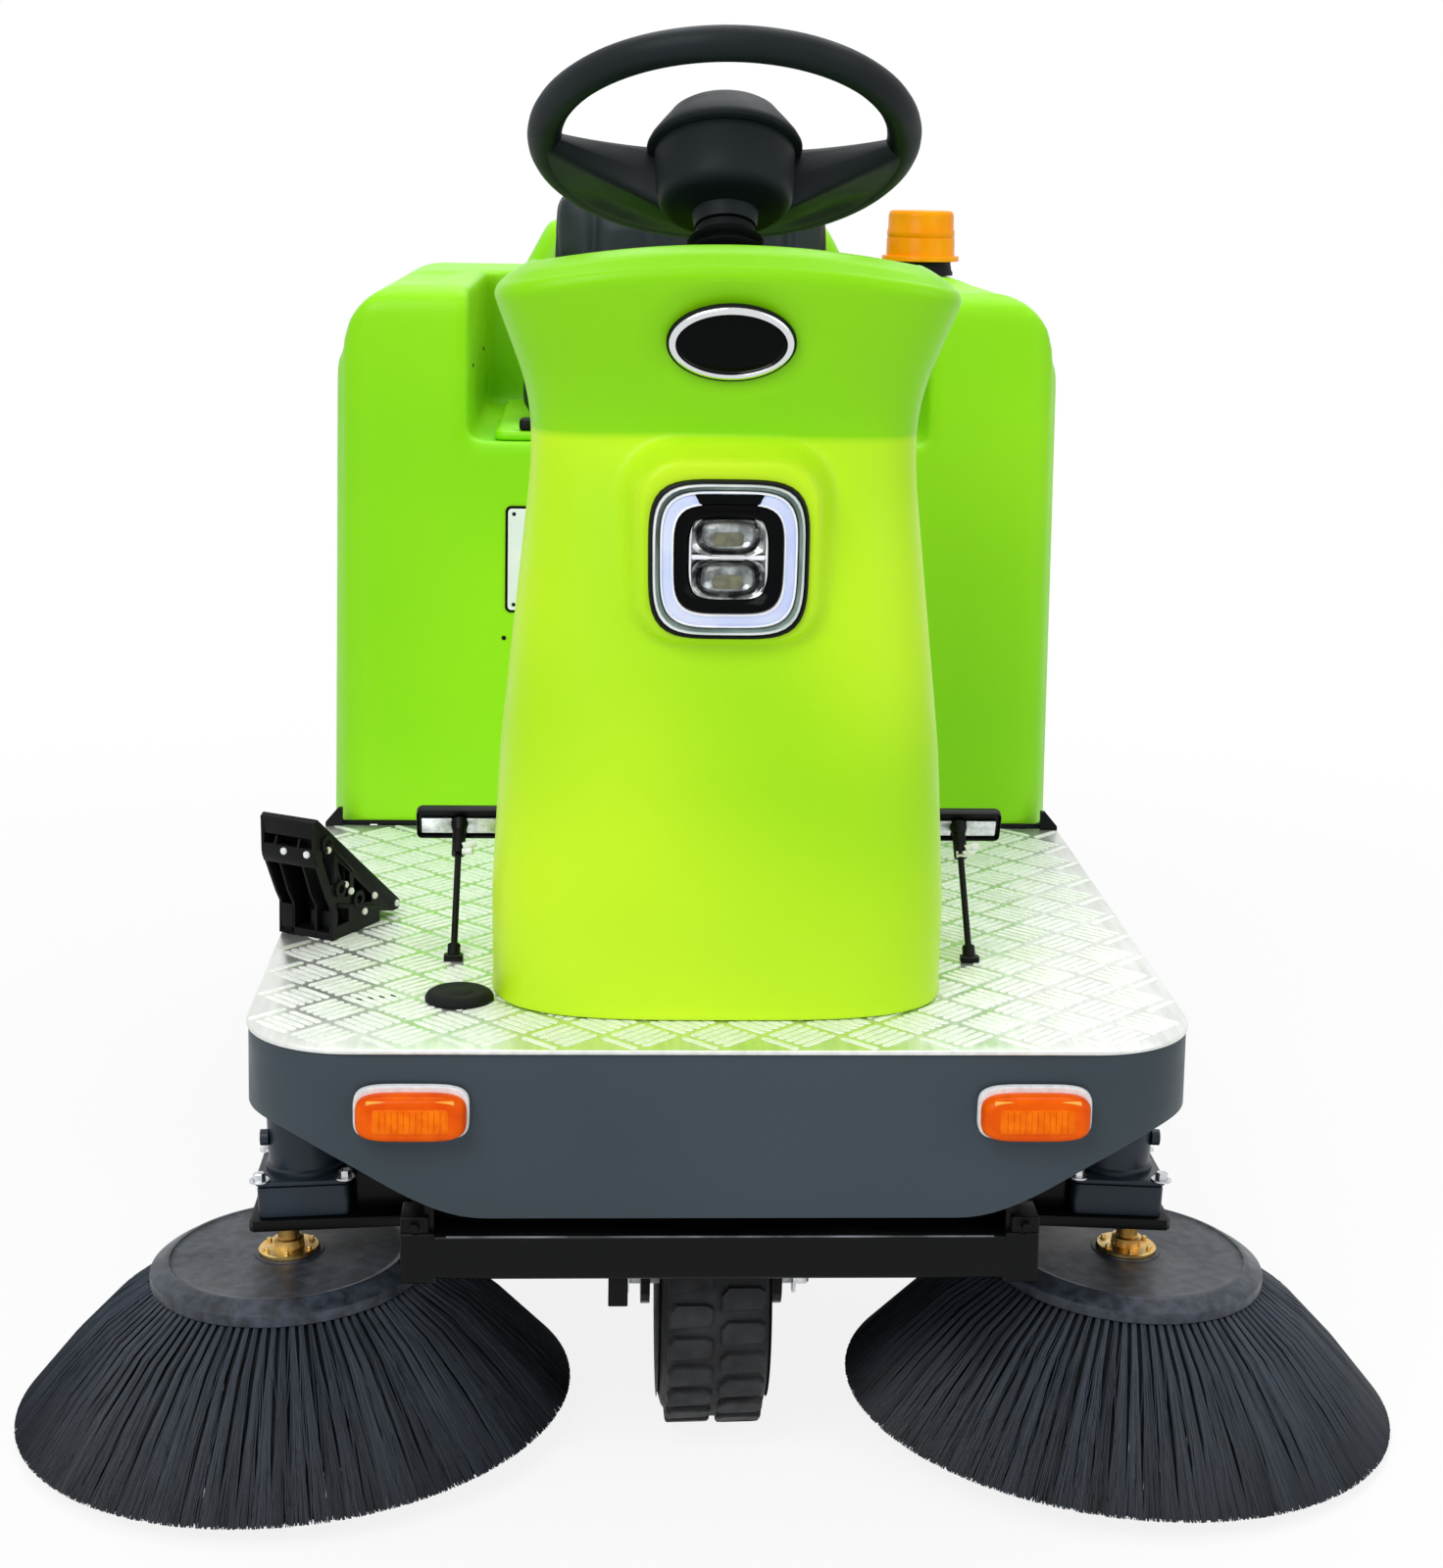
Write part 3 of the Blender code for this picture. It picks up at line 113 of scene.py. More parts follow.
floor_sheet = bpy.data.meshes.new("floor")
floor_sheet.from_pydata([(-60, -60, 0), (60, -60, 0), (60, 60, 0), (-60, 60, 0)], [], [(0, 1, 2, 3)])
floor = link(bpy.data.objects.new("floor", floor_sheet))
paper = bpy.data.materials.new("pale_paper")
paper.use_nodes = True
paper_tree = paper.node_tree
paper_tree.nodes["Principled BSDF"].inputs["Base Color"].default_value = colour("#f2f3f3")
paper_tree.nodes["Principled BSDF"].inputs["Roughness"].default_value = 0.9
glow = add(paper_tree, "ShaderNodeEmission", {"Color": colour("#ffffff")})
away = add(paper_tree, "ShaderNodeVectorMath", [add(paper_tree, "ShaderNodeTexCoord").outputs["Object"]],
           operation="LENGTH").outputs["Value"]
# The sheet keeps the machine's shadow and fades to the backdrop's white away from it.
paler = add(paper_tree, "ShaderNodeMapRange", {"Value": away, "From Min": 0.9, "From Max": 2.6,
                                               "To Min": 0.86,
                                               "To Max": 1.0}, interpolation_type="SMOOTHSTEP")
share = add(paper_tree, "ShaderNodeMath", [seen_directly(paper_tree), paler], operation="MULTIPLY")
lit = add(paper_tree, "ShaderNodeMixShader", [share, paper_tree.nodes["Principled BSDF"], glow])
paper_tree.links.new(lit.outputs[0], paper_tree.nodes["Material Output"].inputs["Surface"])
floor_sheet.materials.append(paper)

for name, place, power, size in (("key", (-1.6, -3.2, 3.4), 98, 2.6), ("fill", (2.8, -2.0, 2.2), 25, 2.4),
                                 ("top", (0.3, 0.7, 3.3), 52, 2.6)):
    lamp_data = bpy.data.lights.new(name, "AREA")
    lamp_data.energy = power
    lamp_data.size = size
    lamp = link(bpy.data.objects.new(name, lamp_data))
    lamp.location = place
    lamp.rotation_euler = (Vector((0, -0.1, 0.6)) - Vector(place)).to_track_quat("-Z", "Y").to_euler()


# ---- Deck: five-bar tread plate -----------------------------------------------------------------
# The driver stands on a 4 mm aluminium sheet with round front corners, pressed with groups of five
# short bars that turn by a right angle from group to group, and laid flat on the frame's rails.
def finish(name, base, rough, metal=0.0, cloud=None, shine=None, grain=None, **sockets):
    """A material whose colour, gloss and skin drift over the piece, from coordinates fixed to it.

    cloud is a patch size and two colours, shine a patch size and two roughnesses, and grain a size and
    a depth, in metres. Each may go on with its detail, and cloud with its ramp's ends and its stretch.
    A function in place of the size makes its own pattern."""
    made = bpy.data.materials.new(name)
    made.use_nodes = True
    tree = made.node_tree
    shader = tree.nodes["Principled BSDF"]
    for socket, value in {"Base Color": colour(base), "Roughness": rough, "Metallic": metal,
                          **sockets}.items():
        shader.inputs[socket.replace("_", " ")].default_value = value
    place = add(tree, "ShaderNodeTexCoord").outputs["Object"]

    def pattern(size, detail, stretch=(1, 1, 1)):
        if callable(size):
            return size(tree, place)
        spread = add(tree, "ShaderNodeMapping", {"Vector": place, "Scale": stretch})
        return add(tree, "ShaderNodeTexNoise", {"Vector": spread, "Scale": 1 / size, "Detail": detail})

    def drift(socket, size, low, high, detail=3.0, start=0.35, end=0.65, stretch=(1, 1, 1)):
        ramp = add(tree, "ShaderNodeValToRGB", [pattern(size, detail, stretch)])
        for stop, spot, value in zip(ramp.color_ramp.elements, (start, end), (low, high)):
            stop.position = spot
            stop.color = colour(value) if isinstance(value, str) else (value, value, value, 1.0)
        tree.links.new(ramp.outputs[0], shader.inputs[socket])

    if cloud:
        drift("Base Color", *cloud)
    if shine:
        drift("Roughness", *shine, start=0.3, end=0.7)
    if grain:
        size, depth, detail = (*grain, 2.0)[:3]
        bump = add(tree, "ShaderNodeBump", {"Height": pattern(size, detail), "Distance": depth,
                                            "Strength": 1.0})
        tree.links.new(bump.outputs[0], shader.inputs["Normal"])
    return made


def mesh_of(shape):
    """A bmesh's plain mesh. The bmesh is thrown away."""
    mesh = bpy.data.meshes.new("part")
    shape.to_mesh(mesh)
    shape.free()
    return mesh


def tool(shape):
    """An object to build with, from a bmesh or a mesh."""
    return link(bpy.data.objects.new("tool",
                                     mesh_of(shape) if isinstance(shape, bmesh.types.BMesh) else shape))


def evaluated(made):
    """The plain mesh that an object's modifiers make of it."""
    bpy.context.view_layer.update()
    return bpy.data.meshes.new_from_object(made.evaluated_get(bpy.context.evaluated_depsgraph_get()))


def shown(name, source, material, body="chassis", replaces=(), slot=None, smooth=40):
    """Make a bmesh or a mesh a piece of the machine, with edges sharper than smooth kept crisp."""
    mesh = source
    if isinstance(source, bmesh.types.BMesh):
        bmesh.ops.remove_doubles(source, verts=source.verts, dist=1e-6)
        bmesh.ops.recalc_face_normals(source, faces=source.faces)
        mesh = mesh_of(source)
    mesh.name = name
    mesh.materials.clear()
    mesh.materials.append(material)
    if smooth:
        mesh.shade_smooth()
        mesh.set_sharp_from_angle(angle=radians(smooth))
    made = link(bpy.data.objects.new(name, mesh))
    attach(made, body)
    if replaces:
        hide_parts(*replaces)
    return made


def joined(shape, into):
    """Put one shape into another, if there is one."""
    if into is None:
        return shape
    holder = mesh_of(shape)
    into.from_mesh(holder)
    bpy.data.meshes.remove(holder)
    return into


def placed(shape, lay):
    """Move a shape to its place."""
    shape.transform(lay)
    return shape


def at(x, y, z):
    return Matrix.Translation((x, y, z))


def skinned(rings, ends="capped", into=None):
    """A skin over rings of points: capped at both ends, open, or joined round from last to first."""
    shape = into or bmesh.new()
    loops = [[shape.verts.new(point) for point in ring] for ring in rings]
    for low, high in zip(loops, loops[1:] + (loops[:1] if ends == "joined" else [])):
        for i in range(len(low)):
            k = (i + 1) % len(low)
            shape.faces.new((low[i], low[k], high[k], high[i]))
    if ends == "capped":
        shape.faces.new(loops[0][::-1])
        shape.faces.new(loops[-1])
    return shape


def nested(outlines, heights, ends="capped", into=None):
    """A skin through flat outlines in X and Y at these heights."""
    return skinned([[(x, y, z) for x, y in outline] for outline, z in zip(outlines, heights)], ends, into)


def prism(outline, low, high, into=None):
    """A flat outline in X and Y, closed between two heights."""
    return nested([outline, outline], (low, high), into=into)


def arc(centre, radius, start, end, steps=8):
    """Points along an arc, in degrees, both ends included."""
    turns = [radians(start + (end - start) * i / steps) for i in range(steps + 1)]
    return [(centre[0] + radius * cos(a), centre[1] + radius * sin(a)) for a in turns]


DECK_CORNER = 0.090


def deck_outline(inset):
    """The deck's edge from its rear left corner forwards, with two round corners at the front."""
    half = deck_high.x - inset
    radius = DECK_CORNER - inset
    centre_y = deck_low.y + DECK_CORNER
    return [(half, deck_high.y - inset), *arc((half - radius, centre_y), radius, 0, -90, 20),
            *arc((radius - half, centre_y), radius, -90, -180, 20), (-half, deck_high.y - inset)]


def soften(shape, width, steps=2, sharper_than=30):
    """Round a bmesh's edges that turn by more than this many degrees."""
    shape.normal_update()
    limit = radians(sharper_than)
    chosen = [e for e in shape.edges if len(e.link_faces) == 2 and e.calc_face_angle() > limit]
    bmesh.ops.bevel(shape, geom=chosen, offset=width, segments=steps, profile=0.5, affect="EDGES",
                    clamp_overlap=True)
    return shape


def solve(tree, source=None, **sizes):
    """The mesh that a Geometry Nodes tree makes of a tool, or of nothing, with its named inputs set."""
    holder = source or tool(bpy.data.meshes.new("empty"))
    change = holder.modifiers.new("shape", "NODES")
    change.node_group = tree
    for item in tree.interface.items_tree:
        if item.item_type == "SOCKET" and item.in_out == "INPUT" and item.name in sizes:
            change[item.identifier] = sizes[item.name]
    mesh = evaluated(holder)
    bpy.data.objects.remove(holder)
    return mesh


def new_tree(name, **inputs):
    """An empty Geometry Nodes tree with these named inputs, and the outputs of its input node."""
    tree = bpy.data.node_groups.new(name, "GeometryNodeTree")
    tree.interface.new_socket("Geometry", in_out="INPUT", socket_type="NodeSocketGeometry")
    for label, kind in inputs.items():
        tree.interface.new_socket(label, in_out="INPUT", socket_type="NodeSocket" + kind)
    tree.interface.new_socket("Geometry", in_out="OUTPUT", socket_type="NodeSocketGeometry")
    return tree, add(tree, "NodeGroupInput").outputs


def end_tree(tree, geometry, material):
    """Make a tree's instances real, give them their finish and pass them out."""
    solid = add(tree, "GeometryNodeRealizeInstances", [geometry])
    add(tree, "NodeGroupOutput", [add(tree, "GeometryNodeSetMaterial",
                                      {"Geometry": solid, "Material": material})])


deck_low, deck_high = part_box("tread_plate")
# Bright and slightly streaked along the rolling direction, with scuffs and the rolled sheet's waves.
aluminium = finish("mill_finished_aluminium", "#e4e7e2", 0.34, 0.85,
                   cloud=(0.008, "#dcdfda", "#eceeea", 4.0, 0.35, 0.65, (1.0, 0.08, 1.0)),
                   shine=(0.055, 0.24, 0.40), grain=(0.030, 0.00010))
# The bars' tops are scuffed by boots, so they look whiter and duller than the sheet.
scuffed = finish("scuffed_aluminium", "#fbfcfa", 0.48, 0.35, cloud=(0.004, "#eff1ee", "#ffffff"),
                 shine=(0.012, 0.40, 0.56))

tree, given = new_tree("five_bar_tread", Bar="Object", Field="Object", Cell="Float", Spacing="Float",
                       Reach="Float")
cells_along = add(tree, "ShaderNodeMath", [given["Reach"], given["Cell"]], operation="DIVIDE")
count = add(tree, "ShaderNodeMath", [add(tree, "ShaderNodeMath", [cells_along], operation="ROUND"), 1.0])
cells = add(tree, "GeometryNodeMeshGrid", {"Size X": given["Reach"], "Size Y": given["Reach"],
                                           "Vertices X": count, "Vertices Y": count})
index = add(tree, "GeometryNodeInputIndex")
column = add(tree, "ShaderNodeMath", [add(tree, "ShaderNodeMath", [index, count], operation="DIVIDE")],
             operation="FLOOR")
row = add(tree, "ShaderNodeMath", [index, count], operation="MODULO")
every_other = add(tree, "ShaderNodeMath", [add(tree, "ShaderNodeMath", [row, column]), 2.0],
                  operation="MODULO")
turn = add(tree, "ShaderNodeMath", [every_other, pi / 2], operation="MULTIPLY")
step = add(tree, "ShaderNodeCombineXYZ", {"Y": given["Spacing"]})
first = add(tree, "ShaderNodeVectorMath", {0: step, "Scale": -2.0}, operation="SCALE")
five = add(tree, "GeometryNodeMeshLine", {"Count": 5, "Start Location": first, "Offset": step})
marked = add(tree, "GeometryNodeStoreNamedAttribute", {"Geometry": cells, "Name": "turn", "Value": turn},
             domain="POINT")
groups = add(tree, "GeometryNodeInstanceOnPoints", {
    "Points": marked, "Instance": five, "Rotation": add(tree, "ShaderNodeCombineXYZ", {"Z": turn})})
laid = add(tree, "GeometryNodeTransform", {
    "Geometry": add(tree, "GeometryNodeRealizeInstances", [groups]), "Rotation": (0, 0, pi / 4),
    "Translation": (0, (deck_low.y + deck_high.y) / 2, deck_high.z)})
field = add(tree, "GeometryNodeObjectInfo", {"Object": given["Field"]}).outputs["Geometry"]
over = add(tree, "GeometryNodeRaycast", {"Target Geometry": field, "Ray Direction": (0, 0, -1),
                                         "Ray Length": 1.0})
kept = add(tree, "GeometryNodeDeleteGeometry", {
    "Geometry": laid, "Selection": add(tree, "FunctionNodeBooleanMath", [over.outputs["Is Hit"]],
                                       operation="NOT")})
group_turn = add(tree, "GeometryNodeInputNamedAttribute", {"Name": "turn"}).outputs["Attribute"]
bars = add(tree, "GeometryNodeInstanceOnPoints", {
    "Points": kept, "Instance": add(tree, "GeometryNodeObjectInfo",
                                    {"Object": given["Bar"]}).outputs["Geometry"],
    "Rotation": add(tree, "ShaderNodeCombineXYZ", {"Z": add(tree, "ShaderNodeMath",
                                                            [group_turn, pi / 4])})})
end_tree(tree, bars, scuffed)

BAR_HALF, BAR_ROUND = 0.0165, 0.0029          # half a bar's straight run, and the radius of its ends
bar = prism(arc((BAR_HALF, 0), BAR_ROUND, -90, 90, 3) + arc((-BAR_HALF, 0), BAR_ROUND, 90, 270, 3), -0.0005,
            0.0005)
lid = max(bar.faces, key=lambda f: f.calc_center_median().z)
bmesh.ops.inset_region(bar, faces=[lid], thickness=0.0013, depth=0.0012)
bar_tool, field_tool = tool(bar), tool(prism(deck_outline(0.013), deck_high.z - 0.1, deck_high.z - 0.05))
bars_mesh = solve(tree, Bar=bar_tool, Field=field_tool, Cell=0.0455, Spacing=0.0087, Reach=1.1830)
for used in (bar_tool, field_tool):
    bpy.data.objects.remove(used)
deck = soften(prism(deck_outline(0), deck_low.z, deck_high.z), 0.0012, 3, 60)
shown("deck_sheet", deck, aluminium, replaces=["tread_plate"], slot="tread_aluminium", smooth=50)
shown("deck_tread_bars", bars_mesh, scuffed, slot="tread_aluminium", smooth=35)

# ---- Apron --------------------------------------------------------------------------------------
# A 3 mm steel sheet bent round the deck's edge and painted slate grey. Its lower edge is deep
# across the front and rises in an S towards each side; it is welded to the frame's cross members.

# Even satin slate grey, with the faint orange peel of baked powder.
slate = finish("slate_powder_coat", "#3a454c", 0.42, cloud=(0.30, "#364147", "#3c474e", 2.0),
               shine=(0.05, 0.36, 0.48), grain=(0.0012, 0.00006), Specular_IOR_Level=0.2)

APRON_SHEET = 0.003


def apron_depth(x):
    """How far the apron reaches below the deck's top, at this distance from the middle."""
    share = min(max((abs(x) - 0.190) / 0.190, 0.0), 1.0)
    return 0.141 + (0.068 - 0.141) * (1 - cos(pi * share)) / 2


edge = deck_outline(APRON_SHEET / 2)
bends = [p for p in edge if p[1] < deck_low.y + APRON_SHEET]
middle_run = [(bends[0][0] + (bends[-1][0] - bends[0][0]) * i / 60, bends[0][1]) for i in range(1, 60)]
turn_in, turn_out = edge.index(bends[0]), edge.index(bends[-1])
run = edge[:turn_in + 1] + middle_run + edge[turn_out:]
apron = bmesh.new()
apron_top = deck_low.z - 0.0003
strips = []
for share in (0.0, 0.25, 0.5, 0.75, 1.0):
    feet = [(x, y, deck_high.z - apron_depth(x)) for x, y in run]
    strips.append([apron.verts.new((x, y, z + (apron_top - z) * share)) for x, y, z in feet])
for lower, upper in zip(strips, strips[1:]):
    for i in range(len(run) - 1):
        apron.faces.new((lower[i], lower[i + 1], upper[i + 1], upper[i]))
bmesh.ops.recalc_face_normals(apron, faces=apron.faces)
bmesh.ops.solidify(apron, geom=apron.faces[:], thickness=APRON_SHEET)
soften(apron, 0.0007, 2, 60)
shown("apron_sheet", apron, slate, replaces=["front_apron"], slot="slate_paint")

# ---- Cowl ---------------------------------------------------------------------------------------
# The steering tower is one rotomoulded polyethylene shell, 5 mm thick and coloured through. It
# narrows to a waist, flares into an arched head, and swells into a hood over the headlamp; a
# turned-in flange at its foot is screwed to the deck.
def moulding(name, dark, light, clouds, low, high):
    """Rotomoulded polyethylene: a soft sheen, cloudy colour and a fine pebbled skin."""
    return finish(name, light, 0.40, cloud=(clouds, dark, light, 1.0, low, high), shine=(0.035, 0.34, 0.44),
                  grain=(0.0016, 0.00005, 3.0), Specular_IOR_Level=0.2)


HEAD_FOOT = 0.869             # painted shade: the head is a darker green from this height up, standing in for the shade under its overhang


def clouds_and_painted_shade(tree, place):
    """The cowl's clouds with painted shade: darker green on the head above its crease, standing in for the
    shade under its overhang, and darker in a broad patch low on the front to the driver's left.
    """
    spread = add(tree, "ShaderNodeMapping", {"Vector": place})
    share = add(tree, "ShaderNodeTexNoise", {"Vector": spread, "Scale": 1 / 0.30, "Detail": 1.0})
    level = add(tree, "ShaderNodeSeparateXYZ", [place]).outputs["Z"]
    apart = add(tree, "ShaderNodeVectorMath", [place, (0.085, behind(0.085), 0.540)],
                operation="DISTANCE").outputs["Value"]
    for value, *ends in ((level, HEAD_FOOT - 0.008, HEAD_FOOT + 0.010, 0.0, 0.82),
                         (apart, 0.0, 0.26, 0.42, 0.0)):
        shade = add(tree, "ShaderNodeMapRange", [value, *ends], interpolation_type="SMOOTHSTEP")
        share = add(tree, "ShaderNodeMath", [share, shade], operation="SUBTRACT")
    return share


# Painted shade on the cowl: a darker green head and a darker patch low on its front, over its random
# clouds.
lime_cowl = moulding("lime_cowl_polyethylene", "#8ad808", "#d8fb26", clouds_and_painted_shade, -0.42, 0.62)
cowl_low, cowl_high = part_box("front_cowl")
SHELL = 0.005
COWL_TOP = 0.989
COWL_CROWN = cowl_high.z - COWL_TOP
STATIONS = (             # height, width, front, rear, squareness of the section
    (cowl_low.z, 0.384, 0.071, 0.345, 3.4),
    (0.470, 0.387, 0.072, 0.345, 3.4),
    (0.600, 0.374, 0.084, 0.342, 3.4),
    (0.740, 0.346, 0.110, 0.338, 3.6),
    (0.830, 0.328, 0.128, 0.335, 3.8),
    (0.872, 0.327, 0.134, 0.334, 4.0),
    (0.908, 0.338, 0.125, 0.340, 4.3),
    (COWL_TOP, 0.396, 0.085, 0.362, 4.8))
station_z, *station_values = np.array(STATIONS).T
AROUND = 240
LAMP_Z = 0.772
HOOD_PLANE = 0.094            # how far behind the deck's edge the lamp's mounting face stands


def cowl_station(z):
    """Width, front, rear and squareness at a height, with the creases between stations eased."""
    near = np.clip(z + np.linspace(-0.016, 0.016, 9), cowl_low.z, COWL_TOP)
    return [np.interp(near, station_z, values).mean() for values in station_values]


def cowl_ring(z, inset):
    """One section through the shell, moved in by an inset."""
    width, front, rear, square = cowl_station(z)
    a = np.linspace(0, 2 * pi, AROUND, endpoint=False)
    grow = (abs(np.cos(a)) ** square + abs(np.sin(a)) ** square) ** (-1 / square)
    x = (width / 2 - inset) * grow * np.cos(a)
    y = behind((front + rear) / 2) + ((rear - front) / 2 - inset) * grow * np.sin(a)
    arch = COWL_CROWN * np.clip((z - 0.90) / (COWL_TOP - 0.90), 0, 1) ** 1.5
    return np.stack([x, y, z + arch * (1 - (2 * x / width) ** 2)], axis=1)


def swell(ring):
    """Push the front face out into the headlamp's hood, and dish it behind the badge."""
    x, y, z = ring.T
    middle = behind(0.21)
    across = np.maximum(abs(x) - 0.040, 0)
    up = np.where(z > LAMP_Z, np.maximum(z - LAMP_Z - 0.046, 0), np.maximum(LAMP_Z - z - 0.034, 0))
    spread = np.hypot(across, up)
    face = behind(HOOD_PLANE) - 0.002 + 20.0 * np.maximum(spread - 0.027, 0) ** 2 \
        + 2.0 * np.maximum(spread - 0.033, 0)
    ease = 0.0032
    merged = -ease * np.logaddexp(-y / ease, -face / ease)
    badge = (x / 0.066) ** 2 + ((z - 0.948) / 0.043) ** 2
    dish = 0.0035 * np.clip(1.25 - badge, 0, 1) ** 0.7
    pocket = (abs(x) / 0.0605) ** 4 + (abs(z - LAMP_Z) / 0.0605) ** 4 < 1
    ring[:, 1] = np.where(y < middle, np.where(pocket, behind(0.108), merged + dish), y)
    return ring


levels = np.concatenate([np.linspace(cowl_low.z + 0.005, 0.66, 42),
                         np.linspace(0.664, COWL_TOP - 0.010, 92)])
rings = [swell(cowl_ring(z, 0)) for z in levels]
rings[0:0] = [cowl_ring(cowl_low.z + rise, inset) for rise, inset in ((0.0002, 0.003), (0.0014, -0.0004),
                                                                      (0.0024, -0.0010))]
LIP = 0.010                   # radius of the rolled top edge
for turn in np.radians(np.linspace(12, 84, 6)):
    rings.append(cowl_ring(COWL_TOP - LIP, LIP * 0.62 * (1 - cos(turn))) + [0, 0, LIP * sin(turn)])
for inset, rise in ((0.012, 0.0028), (0.020, 0.0064), (0.028, 0.0096), (0.034, 0.0112), (0.0368, 0.0108),
                    (0.0380, 0.0088), (0.0380, 0.0040)):
    band = cowl_ring(COWL_TOP, inset)
    back = np.clip((band[:, 1] - behind(0.20)) / 0.14, 0, 1)
    band[:, 2] += rise - 0.012 * back
    rings.append(band)
rings += [cowl_ring(z, 0.0375) for z in (COWL_TOP - 0.020, 0.945)]
rings += [cowl_ring(z, SHELL) for z in (0.93, 0.90, 0.87, 0.80, 0.70, 0.60, 0.50, cowl_low.z + 0.0002)]
cowl_points = np.concatenate(rings)
total = len(rings)
cowl_faces = [(r * AROUND + i, r * AROUND + (i + 1) % AROUND, (r + 1) % total * AROUND + (i + 1) % AROUND,
               (r + 1) % total * AROUND + i) for r in range(total) for i in range(AROUND)]
cowl_mesh = bpy.data.meshes.new("cowl")
cowl_mesh.from_pydata(cowl_points.tolist(), [], cowl_faces)
shown("cowl_shell", cowl_mesh, lime_cowl, replaces=["front_cowl"], slot="lime_moulding", smooth=60)

# ---- Headlamp -----------------------------------------------------------------------------------
# A square LED headlamp in a black housing: a clear rim, a smoked one, a milky light guide between
# two frosted edges, a gloss black bezel with a blank tab, and two lenses over diodes in a reflector.
def superellipse(turn, square):
    """How far a rounded square reaches at this turn, in shares of its half width and half height."""
    grow = (abs(cos(turn)) ** square + abs(sin(turn)) ** square) ** (-1 / square)
    return grow * cos(turn), grow * sin(turn)


def squircle(width, height, square, taper=0.0):
    """A rounded square outline. taper narrows its foot."""
    spots = [superellipse(2 * pi * i / 72, square) for i in range(72)]
    return [(width / 2 * x * (1 + taper * y), height / 2 * y) for x, y in spots]


def stand(shape, x=0.0, distance=0.0, z=0.0, lean=0.0):
    """Turn a shape drawn in X and Y to face forwards, at this place behind the deck's edge."""
    return placed(shape, at(x, behind(distance), z) @ Matrix.Rotation(pi / 2 + lean, 4, "X"))


def squares(rows, square, ends="capped", taper=0.0):
    """A skin through rounded squares, each row one's width, height and distance forwards, in mm."""
    return nested([squircle(w / 1000, h / 1000, square, taper) for w, h, _ in rows],
                  [z / 1000 for *_, z in rows], ends)


def squared(width, depth, low, high, x=0.0, y=0.0, round_by=0.004, edge=0.001, into=None):
    """A block with round corners and eased edges, about this place."""
    outline = []
    for sx, sy, start in ((1, 1, 0), (-1, 1, 90), (-1, -1, 180), (1, -1, 270)):
        outline += arc((x + sx * (width / 2 - round_by), y + sy * (depth / 2 - round_by)), round_by, start,
                       start + 90, 5)
    shape = prism(outline, low, high)
    if edge:
        soften(shape, edge, 2, 60)
    return joined(shape, into)


# Matt black with the fine grain of a spark-eroded mould.
black_plastic = finish("black_glass_filled_nylon", "#08090a", 0.44, shine=(0.03, 0.42, 0.56),
                       grain=(0.0008, 0.00006), Specular_IOR_Level=0.15)
# Deep black that mirrors the lamps, with wipe marks.
gloss_black = finish("gloss_black_acrylic", "#050607", 0.12, shine=(0.02, 0.07, 0.14),
                     Specular_IOR_Level=0.05)
# Milky and softly lit from within.
light_guide = finish("milky_light_guide", "#d3dcf8", 0.24, cloud=(0.05, "#c6d1f4", "#dbe2fa"),
                     Specular_IOR_Level=0.4, Subsurface_Weight=0.3, Subsurface_Scale=0.004)
# Clear plastic over a pale seat, so it reads as a silvery green.
clear_rim = finish("clear_polycarbonate_rim", "#d9dfdb", 0.08, cloud=(0.09, "#b4c4ba", "#f2f5f3"),
                   Coat_Weight=0.8)
# A clean mirror with slight polishing haze.
chrome = finish("bright_chrome_plate", "#d9dcdf", 0.07, 1.0, shine=(0.02, 0.05, 0.12))
# Clear, with faint ripples of the mould.
lens_glass = finish("moulded_lens_glass", "#f4f7f8", 0.03, grain=(0.004, 0.0002), IOR=1.49,
                    Transmission_Weight=1.0)
# A frosted white line where the guide's light leaves it.
lit_edge = finish("frosted_guide_edge", "#f6f8fc", 0.25, cloud=(0.02, "#eef1f9", "#ffffff"),
                  Specular_IOR_Level=0.3)
# Grey-green plastic that darkens towards its thick parts.
smoked_rim = finish("smoked_polycarbonate", "#5f7069", 0.10, cloud=(0.07, "#3e4d48", "#8fa49a"),
                    Specular_IOR_Level=0.4)
# Thin bright metal; the dark patches are what the bowl mirrors.
reflector = finish("vacuum_metallised_reflector", "#7d8280", 0.16, 1.0,
                   cloud=(0.012, "#3c4042", "#b9bdbb", 3.0, 0.38, 0.66))
# The dull yellow chip of an unlit diode.
diode = finish("phosphor_coated_diode", "#66623f", 0.40, cloud=(0.006, "#4c4a38", "#7d774a"),
               Specular_IOR_Level=0.3)

lamp_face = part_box("headlight")[0].y - FRONT
LAMP_SQUARE, LAMP_TAPER = 4.2, 0.012


def lamp_piece(name, shape, material, lift=0.0, **more):
    """One piece of the headlamp, drawn about the middle of its face."""
    shown("headlamp_" + name, stand(shape, 0, lamp_face, LAMP_Z + lift), material, slot="lamp_lens", **more)


def lamp_ring(name, material, *rows, **more):
    """A ring whose section runs through (size, distance forwards) pairs in mm."""
    lamp_piece(name, squares([(size, size, z) for size, z in rows], LAMP_SQUARE, "joined", LAMP_TAPER),
               material, **more)


lamp_ring("housing", black_plastic, (131, -20), (131, -4), (129, -1.2), (126.5, -0.5), (124.5, -2),
          (124.5, -20), replaces=["headlight"])
lamp_ring("clear_rim", clear_rim, (124.2, -10), (124, -2), (122.8, -0.4), (120.5, -0.3), (119.2, -1.2),
          (119.2, -10), (124.2, -10))
lamp_ring("smoked_rim", smoked_rim, (119.2, -10), (119, -1.2), (115, -3), (113.6, -4.2), (113.6, -10),
          (119.2, -10))
lamp_ring("light_guide", light_guide, (111.2, -14), (111, -4.5), (108, -2.5), (102, -1.6), (92.5, -2.2),
          (90, -4.5), (90, -14), (111.2, -14))
for name, size in (("outer", 111.8), ("inner", 93.4)):
    lamp_ring("guide_edge_" + name, lit_edge, (size, -10), (size - 0.4, -1.6), (size - 1.6, -0.8),
              (size - 3, -0.8), (size - 3.6, -1.6), (size - 3.6, -10))
